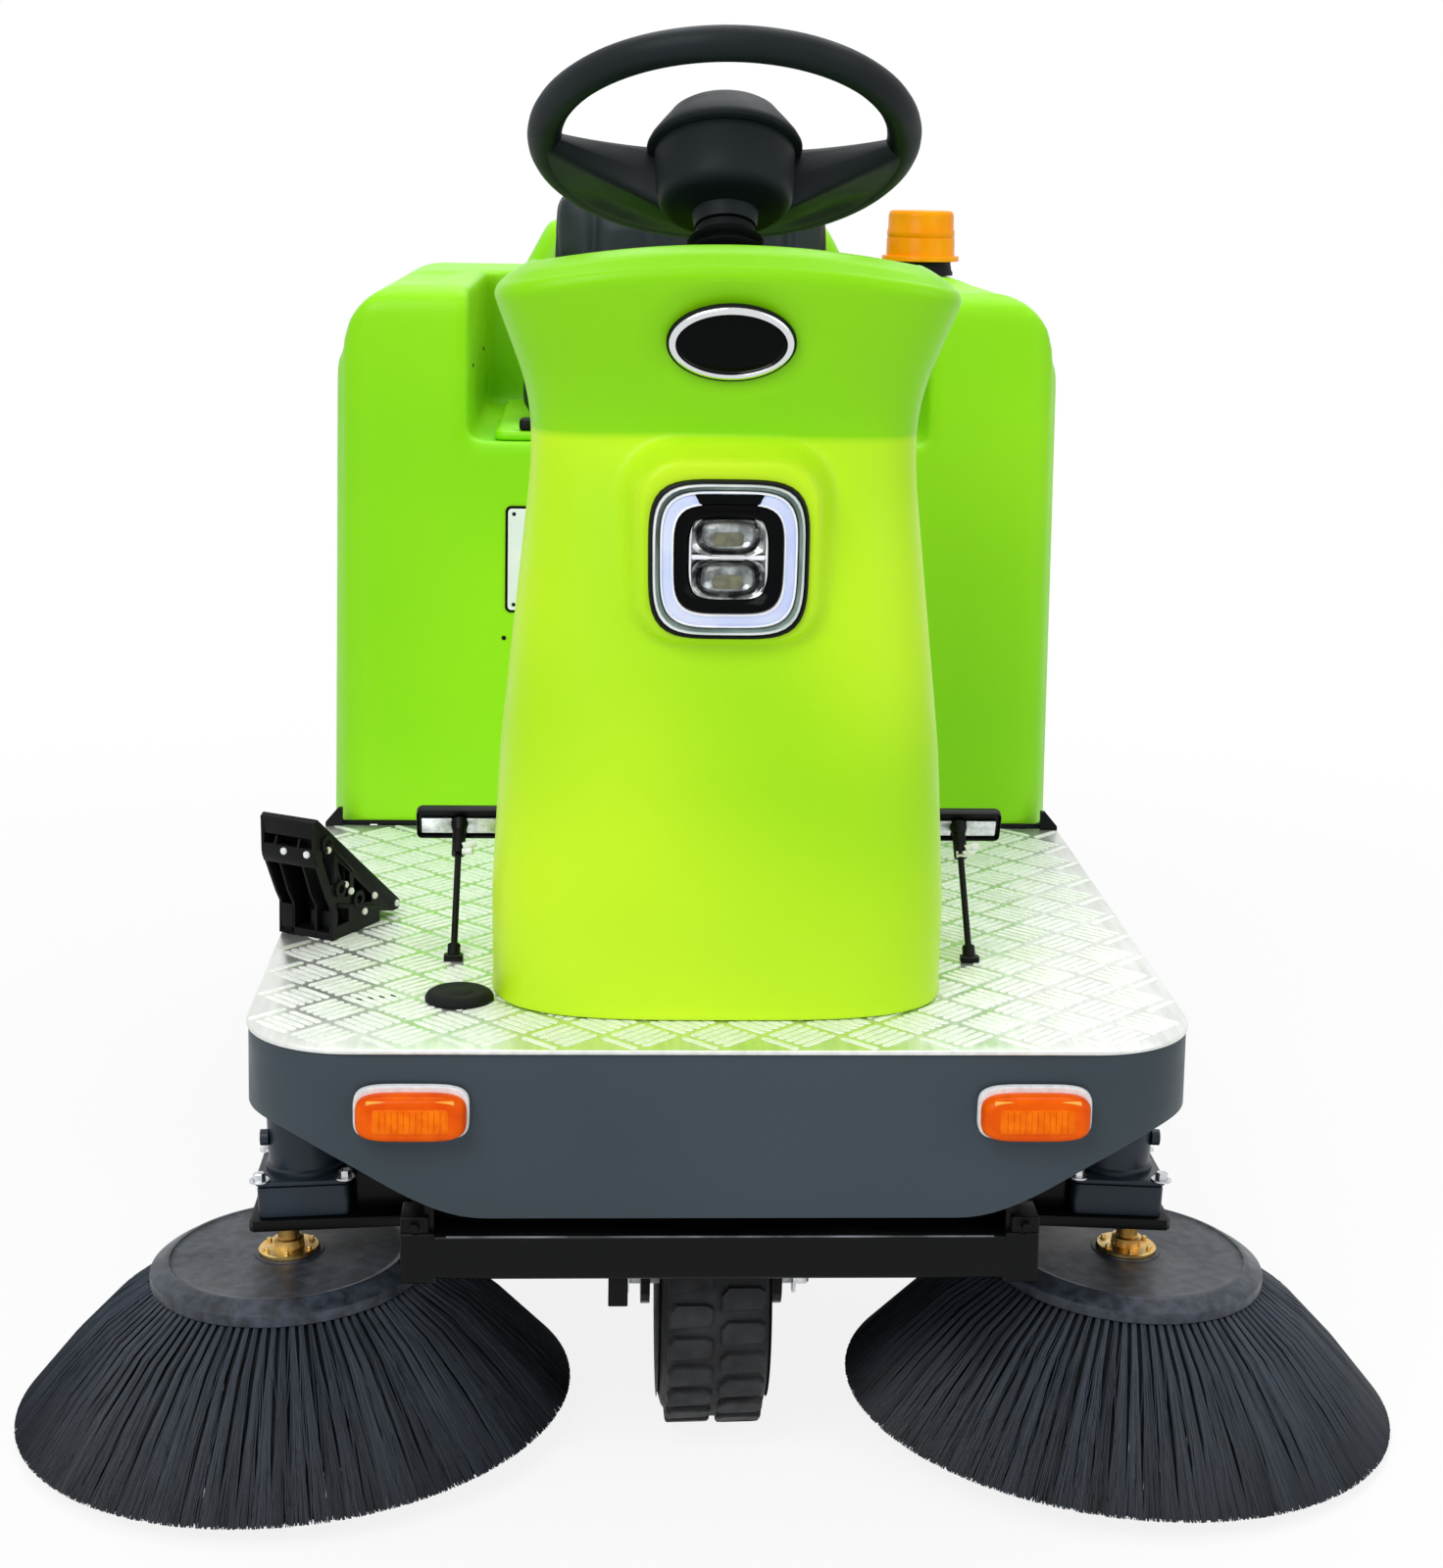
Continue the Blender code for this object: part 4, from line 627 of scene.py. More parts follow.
lamp_ring("bezel", gloss_black, (89.7, -18), (89.5, -6), (87, -4.2), (84, -4), (70, -7.5), (64, -11),
          (64, -18), (89.7, -18))
lamp_piece("blank_tab", soften(prism([(-0.0215, 0.040), (0.0215, 0.040), (0.0285, 0.0535),
                                      (-0.0285, 0.0535)],
                                     -0.008, -0.0008), 0.0012), gloss_black)
lamp_piece("reflector_plate", squares([(70, 76, -18.5), (70, 76, -17.2)], 4.0), reflector, 0.001)
lamp_piece("reflector_edge", squares([(64, 70, -16), (64, 70, -9.8), (61, 67, -9.4), (60, 66, -10.4),
                                      (60, 66, -16)], 4.0, "joined"), lit_edge, 0.001)
lamp_piece("divider", squared(0.0600, 0.0038, -0.0120, -0.0088, 0, 0.0010, 0.0012, 0.0005), lit_edge)
for name, lift in (("upper", 0.0185), ("lower", -0.0165)):
    bowl = squares([(60, 33.5, -8.5), (57, 30.5, -9.5), (45, 22, -14.5), (30, 13, -16.8)], 3.6, "open")
    bmesh.ops.solidify(bowl, geom=bowl.faces[:], thickness=0.0008)
    lamp_piece("reflector_" + name, bowl, reflector, lift)
    lamp_piece("diode_" + name, squared(0.0240, 0.0100, -0.0172, -0.0160, 0, -0.0030, 0.003, 0.0004), diode,
               lift)
    dome = nested([squircle(w, h, square) for w, h, square in (
        (0.044, 0.026, 3.2), (0.044, 0.026, 3.2), (0.041, 0.0235, 3.0), (0.034, 0.0185, 2.8),
        (0.022, 0.011, 2.4), (0.008, 0.004, 2.0))], (-0.0155, -0.0110, -0.0085, -0.0068, -0.0058, -0.0055))
    lamp_piece("lens_" + name, dome, lens_glass, lift)

# ---- Badge --------------------------------------------------------------------------------------
# A blank oval boss: a domed gloss black insert snapped into a chromed ring, in a shallow dish on
# the leaning face of the cowl's head.
badge_low, badge_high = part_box("badge")
badge_z = (badge_low.z + badge_high.z) / 2
badge_y = (badge_low.y + badge_high.y) / 2 - FRONT
LEAN = atan2(0.125 - 0.085, COWL_TOP - 0.908)          # the head's front leans back between two stations
wide, tall = (badge_high.x - badge_low.x) * 0.970, 0.0685


def badge_piece(name, rows, material, **more):
    """A skin through ovals inside the badge's outline, each row one's share of it and its height in mm."""
    outlines = [[(wide / 2 * s * cos(a), (tall / 2 - wide / 2 * (1 - s)) * sin(a))
                 for a in (2 * pi * i / 64 for i in range(64))] for s, _ in rows]
    shape = nested(outlines, [z / 1000 for _, z in rows])
    shown("badge_" + name, stand(shape, 0, badge_y, badge_z, LEAN), material, **more)


badge_piece("gasket", ((1.028, -3), (1.028, 0.2), (1.018, 0.9), (1, 0.9)), black_plastic,
            slot="black_plastic")
badge_piece("ring", ((1, -3), (0.997, 0.8), (0.975, 2.6), (0.93, 3.4), (0.885, 2.8), (0.865, 1.2),
                     (0.865, -3)),
            chrome, replaces=["badge"], slot="chrome_trim")
badge_piece("insert", ((0.868, 0.6), (0.862, 1.4), (0.80, 2.2), (0.66, 3.0), (0.5, 3.3)), gloss_black,
            slot="chrome_trim", smooth=60)

# ---- Steering wheel and column ------------------------------------------------------------------
# A soft polyurethane rim and web moulded over a steel spider, with a bell-shaped shroud under a
# flat-topped cap. Below it a black corrugated boot hides the column where it leaves the cowl.
def lathe(profile, steps=64, scale=0.001):
    """Turn (radius, height) pairs, in mm, about the Z axis. A radius of 0 closes that end."""
    shape = bmesh.new()
    loops = []
    for radius, height in profile:
        turns = [2 * pi * i / steps for i in range(steps if radius > 1e-6 else 1)]
        loops.append([shape.verts.new((radius * scale * cos(a), radius * scale * sin(a), height * scale))
                      for a in turns])
    for low, high in zip(loops, loops[1:]):
        for i in range(steps):
            k = (i + 1) % steps
            corners = (low[i % len(low)], low[k % len(low)], high[k % len(high)], high[i % len(high)])
            around = list(dict.fromkeys(corners))
            if len(around) > 2:
                shape.faces.new(around)
    return shape


# Slightly warm-worn black foam with a fine leather-like skin.
soft_black = finish("soft_polyurethane_foam", "#12181c", 0.48, cloud=(0.14, "#11171a", "#192024", 2.0),
                    shine=(0.05, 0.44, 0.58), grain=(0.0012, 0.00009, 3.0), Specular_IOR_Level=0.14)
# Flat black rubber that scatters nearly all light.
dull_black = finish("black_nitrile_rubber", "#0e0f11", 0.60, shine=(0.04, 0.55, 0.70),
                    grain=(0.0010, 0.00006), Specular_IOR_Level=0.15)

WHEEL_TILT = radians(29.0)
RIM_RING, RIM_TUBE = 0.1557, 0.015
HUB = 0.050                   # the web starts this far from the wheel's middle
wheel_frame = at(0, behind(0.288), 1.111) @ Matrix.Rotation(-WHEEL_TILT, 4, "X")


def wheel_piece(name, shape, smooth=50, **more):
    """A soft moulding that turns with the steering wheel, drawn on its own axis."""
    shown("steering_" + name, placed(shape, wheel_frame), soft_black, "steering_wheel",
          slot="black_plastic", smooth=smooth, **more)


wheel_piece("rim", lathe([(RIM_RING + RIM_TUBE * cos(2 * pi * j / 20), RIM_TUBE * sin(2 * pi * j / 20))
                          for j in range(21)], 120, 1), 60, replaces=["steering_wheel"])


def web_height(radius, turn, under):
    """The web's upper or lower face: dished at the hub, hollowed under each thumb."""
    share = (radius - HUB) / (RIM_RING - HUB)
    level = -0.016 * (1 - share) ** 1.5
    thick = 0.0065 + 0.004 * (1 - share)
    deep = 0.0076 + 0.032 * (1 - share) ** 1.2             # the web thickens underneath towards the hub
    beside = min(abs(turn - radians(48)), abs(turn - radians(132))) / radians(22)
    along = abs(radius - 0.126) / 0.022
    hollow = 0.0075 * max(0.0, 1 - beside ** 2) * max(0.0, 1 - along ** 2)
    return level - thick - deep + hollow if under else level + thick - 0.4 * hollow


web = bmesh.new()
WEB_RINGS, WEB_TURNS = 22, 96
grids = []
for under in (False, True):
    grid = []
    for i in range(WEB_RINGS + 1):
        radius = HUB + (RIM_RING - HUB) * i / WEB_RINGS
        edge = radians(5.0 - 9.0 * (i / WEB_RINGS) ** 2)
        row = []
        for j in range(WEB_TURNS + 1):
            turn = edge + (pi - 2 * edge) * j / WEB_TURNS
            near_edge = min(j, WEB_TURNS - j) / 3
            pinch = 1 if near_edge >= 1 else sqrt(1 - (1 - near_edge) ** 2)
            middle = (web_height(radius, turn, True) + web_height(radius, turn, False)) / 2
            height = middle + (web_height(radius, turn, under) - middle) * max(pinch, 0.02)
            row.append(web.verts.new((radius * cos(turn), radius * sin(turn), height)))
        grid.append(row)
    grids.append(grid)
upper, lower = grids
patches = [(g[i][j], g[i][j + 1], g[i + 1][j + 1], g[i + 1][j]) for g in grids for i in range(WEB_RINGS)
           for j in range(WEB_TURNS)]
patches += [(upper[i][j], upper[i + 1][j], lower[i + 1][j], lower[i][j]) for j in (0, WEB_TURNS)
            for i in range(WEB_RINGS)]
patches += [(upper[i][j], upper[i][j + 1], lower[i][j + 1], lower[i][j]) for i in (0, WEB_RINGS)
            for j in range(WEB_TURNS)]
for patch in patches:
    web.faces.new(patch)
wheel_piece("web", web, 60)
wheel_piece("shroud", lathe([(0, -14), (60, -14), (60.8, -14.8), (60.5, -22), (59.8, -40), (59, -52),
                             (57.8, -60), (54.5, -65.5), (48, -68.8), (36, -70.6), (28.5, -73.5),
                             (26.5, -86), (0, -86)], 96))
wheel_piece("cap", lathe([(0, -13), (65, -13), (66.8, -11.8), (67.5, -9.2), (65, -4), (58, 6), (51.5, 14.8),
                          (47.5, 20.5), (44, 23.2), (39, 24.6), (20, 25.6), (0, 25.8)], 96))

FOLDS, PER_FOLD = 5, 8
BOOT_TOP, BOOT_FOOT = -88.5, -160                      # mm along the column
boot = [(20, BOOT_TOP), (25.5, BOOT_TOP), (26.2, BOOT_TOP - 7), (23.5, BOOT_TOP - 9)]
for share in (i / (FOLDS * PER_FOLD) for i in range(FOLDS * PER_FOLD + 1)):
    boot.append((26.5 + 15 * share + 5.5 * sin(2 * pi * FOLDS * share),
                 BOOT_TOP - 9 + (BOOT_FOOT - BOOT_TOP + 12) * share))
boot += [(52, BOOT_FOOT + 3), (52, BOOT_FOOT), (20, BOOT_FOOT), (20, BOOT_TOP)]
shown("steering_boot_folds", placed(lathe(boot, 72), wheel_frame), dull_black, replaces=["steering_boot"],
      slot="boot_rubber", smooth=50)

# ---- Dash panel ---------------------------------------------------------------------------------
# A flat moulded panel let into the top of the cowl, with a round gauge, a key switch, two rocker
# switches and a mushroom stop button, each in its own bezel.
dash_low, dash_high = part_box("dash_panel")
width, front, rear, square = cowl_station(COWL_TOP)
PANEL_INSET = 0.034           # from the cowl's outline to the panel's edge
panel_outline = []
for x, y in (superellipse(2 * pi * i / 144, square) for i in range(144)):
    panel_outline.append(((width / 2 - PANEL_INSET) * x,
                          behind((front + rear) / 2) + ((rear - front) / 2 - PANEL_INSET) * y))
panel = soften(prism(panel_outline, dash_low.z, dash_high.z), 0.0012, 2, 60)
shown("dash_moulding", panel, black_plastic, replaces=["dash_panel"], slot="black_plastic")
# Thin white ink, a little uneven.
white_print = finish("white_screen_ink", "#e9ebea", 0.55, cloud=(0.004, "#dfe2e1", "#f0f1f0"))
# Signal red with a moulded sheen.
red_plastic = finish("red_moulded_nylon", "#b81410", 0.35, shine=(0.01, 0.30, 0.42))


def on_dash(x, distance):
    return at(x, behind(distance), dash_high.z)


gauge_at = on_dash(-0.095, 0.285)
bezel = lathe([(30, -1), (30, 4.5), (28.8, 5.8), (26.8, 5.8), (25.8, 4), (25.2, 1.2), (25.2, -1), (30, -1)])
shown("gauge_bezel", placed(bezel, gauge_at), chrome, slot="chrome_trim")
dial = lathe([(0, 0.4), (25, 0.4), (25, 1.4), (0, 1.4)], 48)
shown("gauge_dial", placed(dial, gauge_at), gloss_black, slot="black_plastic")
marks = squared(0.0200, 0.0014, 0.0017, 0.0022, 0.0070, 0, 0.0004, 0)                # the needle
for i in range(21):
    long, broad = (0.0038, 0.0007) if i % 5 else (0.0065, 0.0011)
    tick = squared(long, broad, 0.0014, 0.0016, 0.0228 - long / 2, 0, 0.0002, 0)
    joined(placed(tick, Matrix.Rotation(radians(-30 + 12 * i), 4, "Z")), marks)
shown("gauge_marks", placed(marks, gauge_at), white_print, slot="white_plate", smooth=0)
for name, x in (("left", 0.075), ("right", 0.112)):
    switch = squared(0.024, 0.036, -0.001, 0.0030, 0, 0, 0.003, 0.0008)
    squared(0.017, 0.029, 0.0030, 0.0062, 0, 0, 0.002, 0.0012, switch)
    shown("rocker_switch_" + name, placed(switch, on_dash(x, 0.262)), gloss_black, slot="black_plastic")
key = lathe([(0, 7), (7.5, 7), (8.5, 6.2), (10.5, 4), (11.8, 2.2), (11.8, -1), (0, -1)], 48)
squared(0.0026, 0.020, 0.006, 0.026, 0, 0, 0.0012, 0.0004, key)                      # the key's bow
shown("key_switch", placed(key, on_dash(-0.045, 0.292)), chrome, slot="chrome_trim")
stop = lathe([(0, 26), (12, 25.2), (18, 22.5), (20, 19), (19, 16.5), (11, 15), (10, -1), (0, -1)], 56)
shown("stop_button", placed(stop, on_dash(0.095, 0.312)), red_plastic, slot="red_lens", smooth=50)

# ---- Floor cap and pedals -----------------------------------------------------------------------
# A rubber cap plugs a hole in the deck beside the cowl. Brake and brush lift are steel pads on
# slender rods that lean back; the throttle is a ribbed nylon organ pedal on a square base.
tree, given = new_tree("fixings", Fixing="Object", Turn="Vector", Finish="Material")
end_tree(tree, add(tree, "GeometryNodeInstanceOnPoints", {
    "Points": given["Geometry"], "Rotation": given["Turn"],
    "Instance": add(tree, "GeometryNodeObjectInfo", {"Object": given["Fixing"]}).outputs["Geometry"]}),
         given["Finish"])
fixing_tree = tree


def fixings(name, shape, points, turn, material, body="chassis", slot="zinc_plate"):
    """Set one fixing at each of these points, turned by this matrix."""
    fixing = tool(shape)
    spots = bpy.data.meshes.new("spots")
    spots.from_pydata([tuple(p) for p in points], [], [])
    mesh = solve(fixing_tree, tool(spots), Fixing=fixing, Turn=tuple(turn.to_euler()), Finish=material)
    bpy.data.objects.remove(fixing)
    return shown(name, mesh, material, body, slot=slot, smooth=35)


def facing(axis, degrees):
    """A fixing's turn, from standing up to this many degrees about an axis."""
    return Matrix.Rotation(radians(degrees), 3, axis)


UPRIGHT = facing("Z", 0)


def hexagon_bolt(across):
    """A hexagon head, across its flats, standing on the XY plane over a washer."""
    foot = across * 0.12
    shape = prism(arc((0, 0), across * 0.92, 0, 345, 23), -0.0002, foot)
    flats = arc((0, 0), across / sqrt(3), 0, 300, 5)
    inner = [(x * 0.86, y * 0.86) for x, y in flats]
    return nested([flats, flats, inner], (foot - 0.0002, foot + across * 0.52, foot + across * 0.62),
                  into=shape)


def sweep(path, radius, sides=14, into=None):
    """A round bar through these points. radius is one number, or one for each point."""
    path = [Vector(p) for p in path]
    radii = radius if isinstance(radius, (list, tuple)) else [radius] * len(path)
    rings = []
    side = None
    for i, point in enumerate(path):
        ahead = (path[min(i + 1, len(path) - 1)] - path[max(i - 1, 0)]).normalized()
        side = side or ahead.orthogonal().normalized()
        side = (side - ahead * side.dot(ahead)).normalized()
        other = ahead.cross(side)
        turns = [2 * pi * j / sides for j in range(sides)]
        rings.append([point + (side * cos(a) + other * sin(a)) * radii[i] for a in turns])
    return skinned(rings, into=into)


cap_low, cap_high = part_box("floor_cap")
floor_plug = lathe([(0, 7.8), (10.5, 8), (11.5, 7.4), (13, 7.2), (20, 7.8), (24, 7.4), (27.2, 5.6),
                    (28.8, 3), (29, 0.6), (28.4, 0), (0, 0)], 72)
shown("floor_plug", placed(floor_plug, at((cap_low.x + cap_high.x) / 2, (cap_low.y + cap_high.y) / 2,
                                          cap_low.z)),
      dull_black, replaces=["floor_cap"], slot="boot_rubber", smooth=50)
plug = prism(arc((0, 0), 0.0032, 0, 330, 11), 0.0001, 0.0004)
holes = [(-0.302 + 0.0095 * i, behind(0.128 + 0.0035 * i), deck_high.z) for i in range(4)]
fixings("deck_hole_plugs", plug, holes, UPRIGHT, dull_black, slot="boot_rubber")

# Thin black enamel with a soft shine and slight runs.
semi_black = finish("black_stoved_enamel", "#060708", 0.34, shine=(0.04, 0.30, 0.44),
                    grain=(0.0020, 0.00005), Specular_IOR_Level=0.13)
# Pale silver plating with a cloudy passivation.
bright_zinc = finish("bright_zinc_plate", "#c9ccd0", 0.30, 1.0, cloud=(0.006, "#b9bdc2", "#d8dadc"),
                     shine=(0.015, 0.24, 0.38))
# Plain white moulding with a low sheen.
white_nylon = finish("white_nylon", "#eceeee", 0.40, cloud=(0.006, "#e2e4e4", "#f4f5f5"))

PEDAL_LEAN = radians(-65)
for name, side in (("brake_pedal", -1), ("lift_pedal", 1)):
    foot = Vector((side * 0.229, behind(0.240), deck_high.z + 0.0005))
    head = Vector((side * 0.229, behind(0.338), deck_high.z + 0.100))
    lay = Matrix.Translation(head) @ Matrix.Rotation(PEDAL_LEAN, 4, "X")
    tray = squared(0.078, 0.032, -0.0045, 0.0040, 0, 0, 0.005, 0.0010)
    under = [f for f in tray.faces if f.normal.z < -0.9]
    bmesh.ops.inset_region(tray, faces=under, thickness=0.0018, depth=0.0)
    bmesh.ops.translate(tray, verts=list({v for f in under for v in f.verts}), vec=(0, 0, 0.0045))
    shown(name + "_tray", placed(tray, lay), semi_black, replaces=[name], slot="black_paint")
    tread = squared(0.076, 0.030, 0.0042, 0.0058, 0, 0, 0.005, 0.0004)
    for i in range(7):
        squared(0.070, 0.0022, 0.0056, 0.0070, 0, -0.0120 + 0.0040 * i, 0.0009, 0.0004, tread)
    shown(name + "_tread", placed(tread, lay), dull_black, slot="boot_rubber")
    plates = None
    for x in (-0.0205, 0.0205):
        plates = squared(0.028, 0.017, -0.0030, -0.0008, x, 0.002, 0.001, 0.0004, plates)
    shown(name + "_plates", placed(plates, lay), bright_zinc, slot="zinc_plate")
    ahead = (head - foot).normalized()
    rod = None
    for start, end, radius in ((foot + ahead * 0.006, head - ahead * 0.003, 0.0030),
                               (foot + ahead * 0.014, foot + ahead * 0.002, 0.0058),
                               (head - ahead * 0.034, head - ahead * 0.010, 0.0062),
                               (head - ahead * 0.010, head, (0.0062, 0.0090))):
        rod = sweep([start, end], radius, 12 if rod else 14, rod)
    squared(0.017, 0.012, deck_high.z, deck_high.z + 0.0052, foot.x, foot.y, 0.003, 0.0008, rod)
    shown(name + "_rod", rod, semi_black, slot="black_paint")
    clip = sweep([head - ahead * 0.030 + Vector((-0.004 * side, -0.003, 0)),
                  head - ahead * 0.030 + Vector((0.013, -0.005, 0.001))], 0.0032, 12)
    sweep([head - ahead * 0.024 + Vector((0.004, -0.006, 0)),
           head - ahead * 0.020 + Vector((0.016, -0.006, 0))],
          0.0036, 12, clip)
    shown(name + "_clip", clip, white_nylon, slot="white_plate")

# The throttle's side outline, as distance towards the heel and height above the deck, in mm.
heel_round = [(x * 1000, y * 1000) for x, y in arc((0.064, 0.010), 0.006, -60, 50, 6)]
toe_face = [(-60, 117), (-64, 113), (-63, 82), (-43, 40), (-37, 30), (-37, 0)]
THROTTLE = (at(-0.3475, behind(0.340), deck_high.z + 0.0004) @ Matrix.Rotation(radians(-30), 4, "Z")
            @ Matrix.Rotation(pi / 2, 4, "Z") @ Matrix.Rotation(pi / 2, 4, "X"))


def slab(outline, low, high):
    """A side outline in mm, closed between two places across the throttle."""
    return prism([(x / 1000, y / 1000) for x, y in outline], low / 1000, high / 1000)


def lump(shape, turn=None):
    """A hidden solid for booleans, turned by this matrix."""
    if turn:
        shape.transform(turn)
    bmesh.ops.recalc_face_normals(shape, faces=shape.faces)
    return tool(shape)


def combined(base, tools, operation):
    """Apply booleans with these solids to the base, and throw the solids away."""
    for other in tools:
        change = base.modifiers.new("form", "BOOLEAN")
        change.operation = operation
        change.solver = "EXACT"
        change.object = other
    mesh = evaluated(base)
    base.modifiers.clear()
    base.data = mesh
    for other in tools:
        bpy.data.objects.remove(other)
    return base


cheek = [(37, 0), (37, 10), (58, 5), *heel_round[2:], *toe_face]
windows = ([(-52, 92), (-52, 78), (-40, 52), (-34, 52), (-34, 79)],
           [(-28, 72), (-28, 44), (-16, 36), (-10, 38), (-10, 58)],
           [(-4, 52), (-4, 36), (10, 24), (24, 22), (24, 29)],
           [(-30, 30), (-30, 12), (-12, 12), (-12, 24)])
CHEEK_IN, CHEEK_OUT, INSIDE = 26.2, 29.6, 29.0
open_cheek = combined(lump(slab(cheek, CHEEK_IN, CHEEK_OUT)), [lump(slab(w, 20, 40)) for w in windows],
                      "DIFFERENCE")
throttle = soften(slab(cheek, -CHEEK_OUT, -CHEEK_IN), 0.0006, 2, 35)
throttle.from_mesh(open_cheek.data)
bpy.data.objects.remove(open_cheek)
rib = [(-61, 98), (-64, 90), (-45, 43), (-37, 30), (-37, 0), (-15, 0), (-15, 60)]
ribs = [(rib, x, x + 2.4, 0.5) for x in (-15, 10)]
crosswise = [([(low, 6), (high, 6), (high, 112 - 0.86 * (high + 60)), (low, 112 - 0.86 * (low + 60))],
              -CHEEK_IN, CHEEK_IN, 0.4) for low, high in ((-15, -12.5), (13, 15.5))]
for outline, low, high, edge in (                      # outline, from, to and edge radius
        ([(58.5, 4.5), *heel_round, (-59.5, 117.5), (-64.5, 113.5), (-61.8, 108.5), (56, 8)], -30, 30, 1),
        ([(-64, 115), (-60.5, 115), (-59, 100), (-62.8, 99)], -29.5, 29.5, 0.6),
        ([(-63, 90), (-63.3, 79), (-60, 72), (-57, 73), (-56, 90)], -INSIDE, INSIDE, 0.8),
        ([(-33, 78), (-16.5, 42), (-14, 43), (-30, 80)], -26.5, 26.5, 0.6),
        ([(-37, 28), (-37, 0), (-31, 0), (-31, 28)], -INSIDE, -12, 0.6),
        ([(-37, 7), (-37, 0), (36.5, 0), (36.5, 7)], -INSIDE, INSIDE, 0.6),
        ([(-29, 24), (-29, 6), (-23, 6), (-23, 24)], 0, CHEEK_IN, 0.6), *ribs, *crosswise,
        ([(-51, 96), (-6, 57), (-6, 60), (-49, 98.5)], 29.4, 31.2, 0.5),
        ([(-30, 30), (40, 12), (40, 14.5), (-28, 33)], 29.4, 31.2, 0.5)):
    joined(soften(slab(outline, low, high), edge / 1000, 2, 35), throttle)
for y, z in ((-0.026, 0.046), (0.002, 0.030), (-0.046, 0.092)):
    boss = lathe([(4, 29), (4, 31.8), (8, 31.8), (8, 29), (4, 29)], 24)
    joined(placed(boss, at(y, z, 0)), throttle)
shown("throttle_moulding", placed(throttle, THROTTLE), black_plastic, replaces=["accelerator_pedal"],
      slot="black_plastic")


def stud(radius, height):
    """A low domed head, in mm."""
    return lathe([(0, height), (radius * 0.7, height), (radius, height * 0.6), (radius, -0.5), (0, -0.5)],
                 16)


fixings("throttle_studs", stud(3.2, 2.6), [THROTTLE @ Vector((y, z, 0.0296)) for y, z in (
    (-0.0440, 0.0860), (-0.0090, 0.0400), (0.0120, 0.0160), (-0.0175, 0.0480), (0.0640, 0.0110),
    (0.0280, 0.0270))],
        THROTTLE.to_3x3(), white_nylon, slot="white_plate")
fixings("throttle_front_studs", stud(3.2, 2.4),
        [THROTTLE @ Vector((-0.0632, 0.0850, x)) for x in (-0.004, 0.021)],
        THROTTLE.to_3x3() @ facing("Y", -90), white_nylon, slot="white_plate")

# ---- Marker lamps -------------------------------------------------------------------------------
# Two amber side lamps on the apron: a ribbed acrylic lens snapped over a white moulded base, held
# by two screws from behind.

# Deep orange lens.
amber = finish("amber_acrylic", "#ee5800", 0.16, cloud=(0.02, "#e65000", "#f46200"),
               Specular_IOR_Level=0.08)
# Painted highlight: the flutes are a brighter orange than the lens round them, standing in for the light
# they catch.
amber_block = finish("fluted_amber_acrylic", "#f87000", 0.18, cloud=(0.01, "#f26800", "#fd7c04"),
                     Specular_IOR_Level=0.08)
# Painted highlight: the lens's upper lip is a paler amber, standing in for the light that falls on it.
pale_amber = finish("sunlit_amber_acrylic", "#ffb347", 0.20, cloud=(0.02, "#fba52e", "#ffc05e"),
                    Specular_IOR_Level=0.3)
for side_name, side in (("left", 1), ("right", -1)):
    flutes = squared(0.0600, 0.0200, 0.0190, 0.0202, 0, 0, 0.003, 0.0005)
    for i in range(12):
        squared(0.0046, 0.0190, 0.0196, 0.0209, -0.0264 + 0.0048 * i, 0, 0.0018, 0.0006, flutes)
    for name, shape, z, material, more in (
            ("base", squares([(92, 45, 0), (92, 45, 5), (90.5, 43.5, 6.2), (88, 41, 6.2)], 4.4),
             0.340, white_nylon, {"replaces": ["marker_lamp_" + side_name], "slot": "white_plate"}),
            ("lens", squares([(88, 38.5, 5.8), (88, 38.5, 10.5), (86, 36.8, 15), (80, 31, 19.2),
                              (70, 24, 19.8)], 4.0),
             0.3385, amber, {"slot": "amber_lens", "smooth": 50}),
            ("brow", squared(0.0700, 0.0044, 0.0160, 0.0192, 0, 0.0142, 0.0018, 0.0012), 0.338, pale_amber,
             {"slot": "amber_lens", "smooth": 50}),
            ("flutes", flutes, 0.338, amber_block, {"slot": "amber_lens", "smooth": 50})):
        shown(f"marker_{name}_{side_name}", stand(shape, side * 0.249, -0.0003, z), material, **more)

# ---- Crossbar -----------------------------------------------------------------------------------
# A 38 mm square steel tube on two hangers across the front, stove-enamelled black. A bracket at
# each end is bolted over the tube and carries the rod that a brush arm swings on.
def block(low, high, round_by, steps):
    """A bmesh block between two corners, with round edges."""
    shape = bmesh.new()
    bmesh.ops.create_cube(shape, size=1.0, matrix=at(*[(a + b) / 2 for a, b in zip(low, high)])
                          @ Matrix.Diagonal((*[b - a for a, b in zip(low, high)], 1)))
    return soften(shape, round_by, steps, 30)


def beam(low, high, round_by=0.002, into=None):
    """A block between two corners, given as x, distance behind the deck's edge, and z."""
    (x, y, z), (far_x, far_y, far_z) = low, high
    x, far_x = sorted((x, far_x))
    return joined(block((x, behind(y), z), (far_x, behind(far_y), far_z), round_by, 3), into)


crossbar = beam((-0.245, 0.0105, 0.1935), (0.245, 0.0475, 0.2305), 0.0035)
beam((-0.232, 0.0490, 0.2080), (0.232, 0.0640, 0.2440), 0.0015, crossbar)
beam((-0.091, 0.018, 0.1672), (-0.075, 0.022, 0.200), 0.0010, crossbar)
for side in (-1, 1):
    beam((side * 0.240, 0.017, 0.196), (side * 0.232, 0.090, 0.3452), 0.0008, crossbar)
    beam((side * 0.231, 0.0100, 0.1905), (side * 0.259, 0.0480, 0.2330), 0.0022, crossbar)
    beam((side * 0.236, 0.0120, 0.2300), (side * 0.259, 0.0460, 0.2460), 0.0015, crossbar)
    sweep([(side * 0.245, behind(0.047), 0.206), (side * 0.245, behind(0.249), 0.206)], 0.0080, 24,
          crossbar)
shown("crossbar_weldment", crossbar, semi_black, replaces=["front_crossbar"], slot="black_paint")
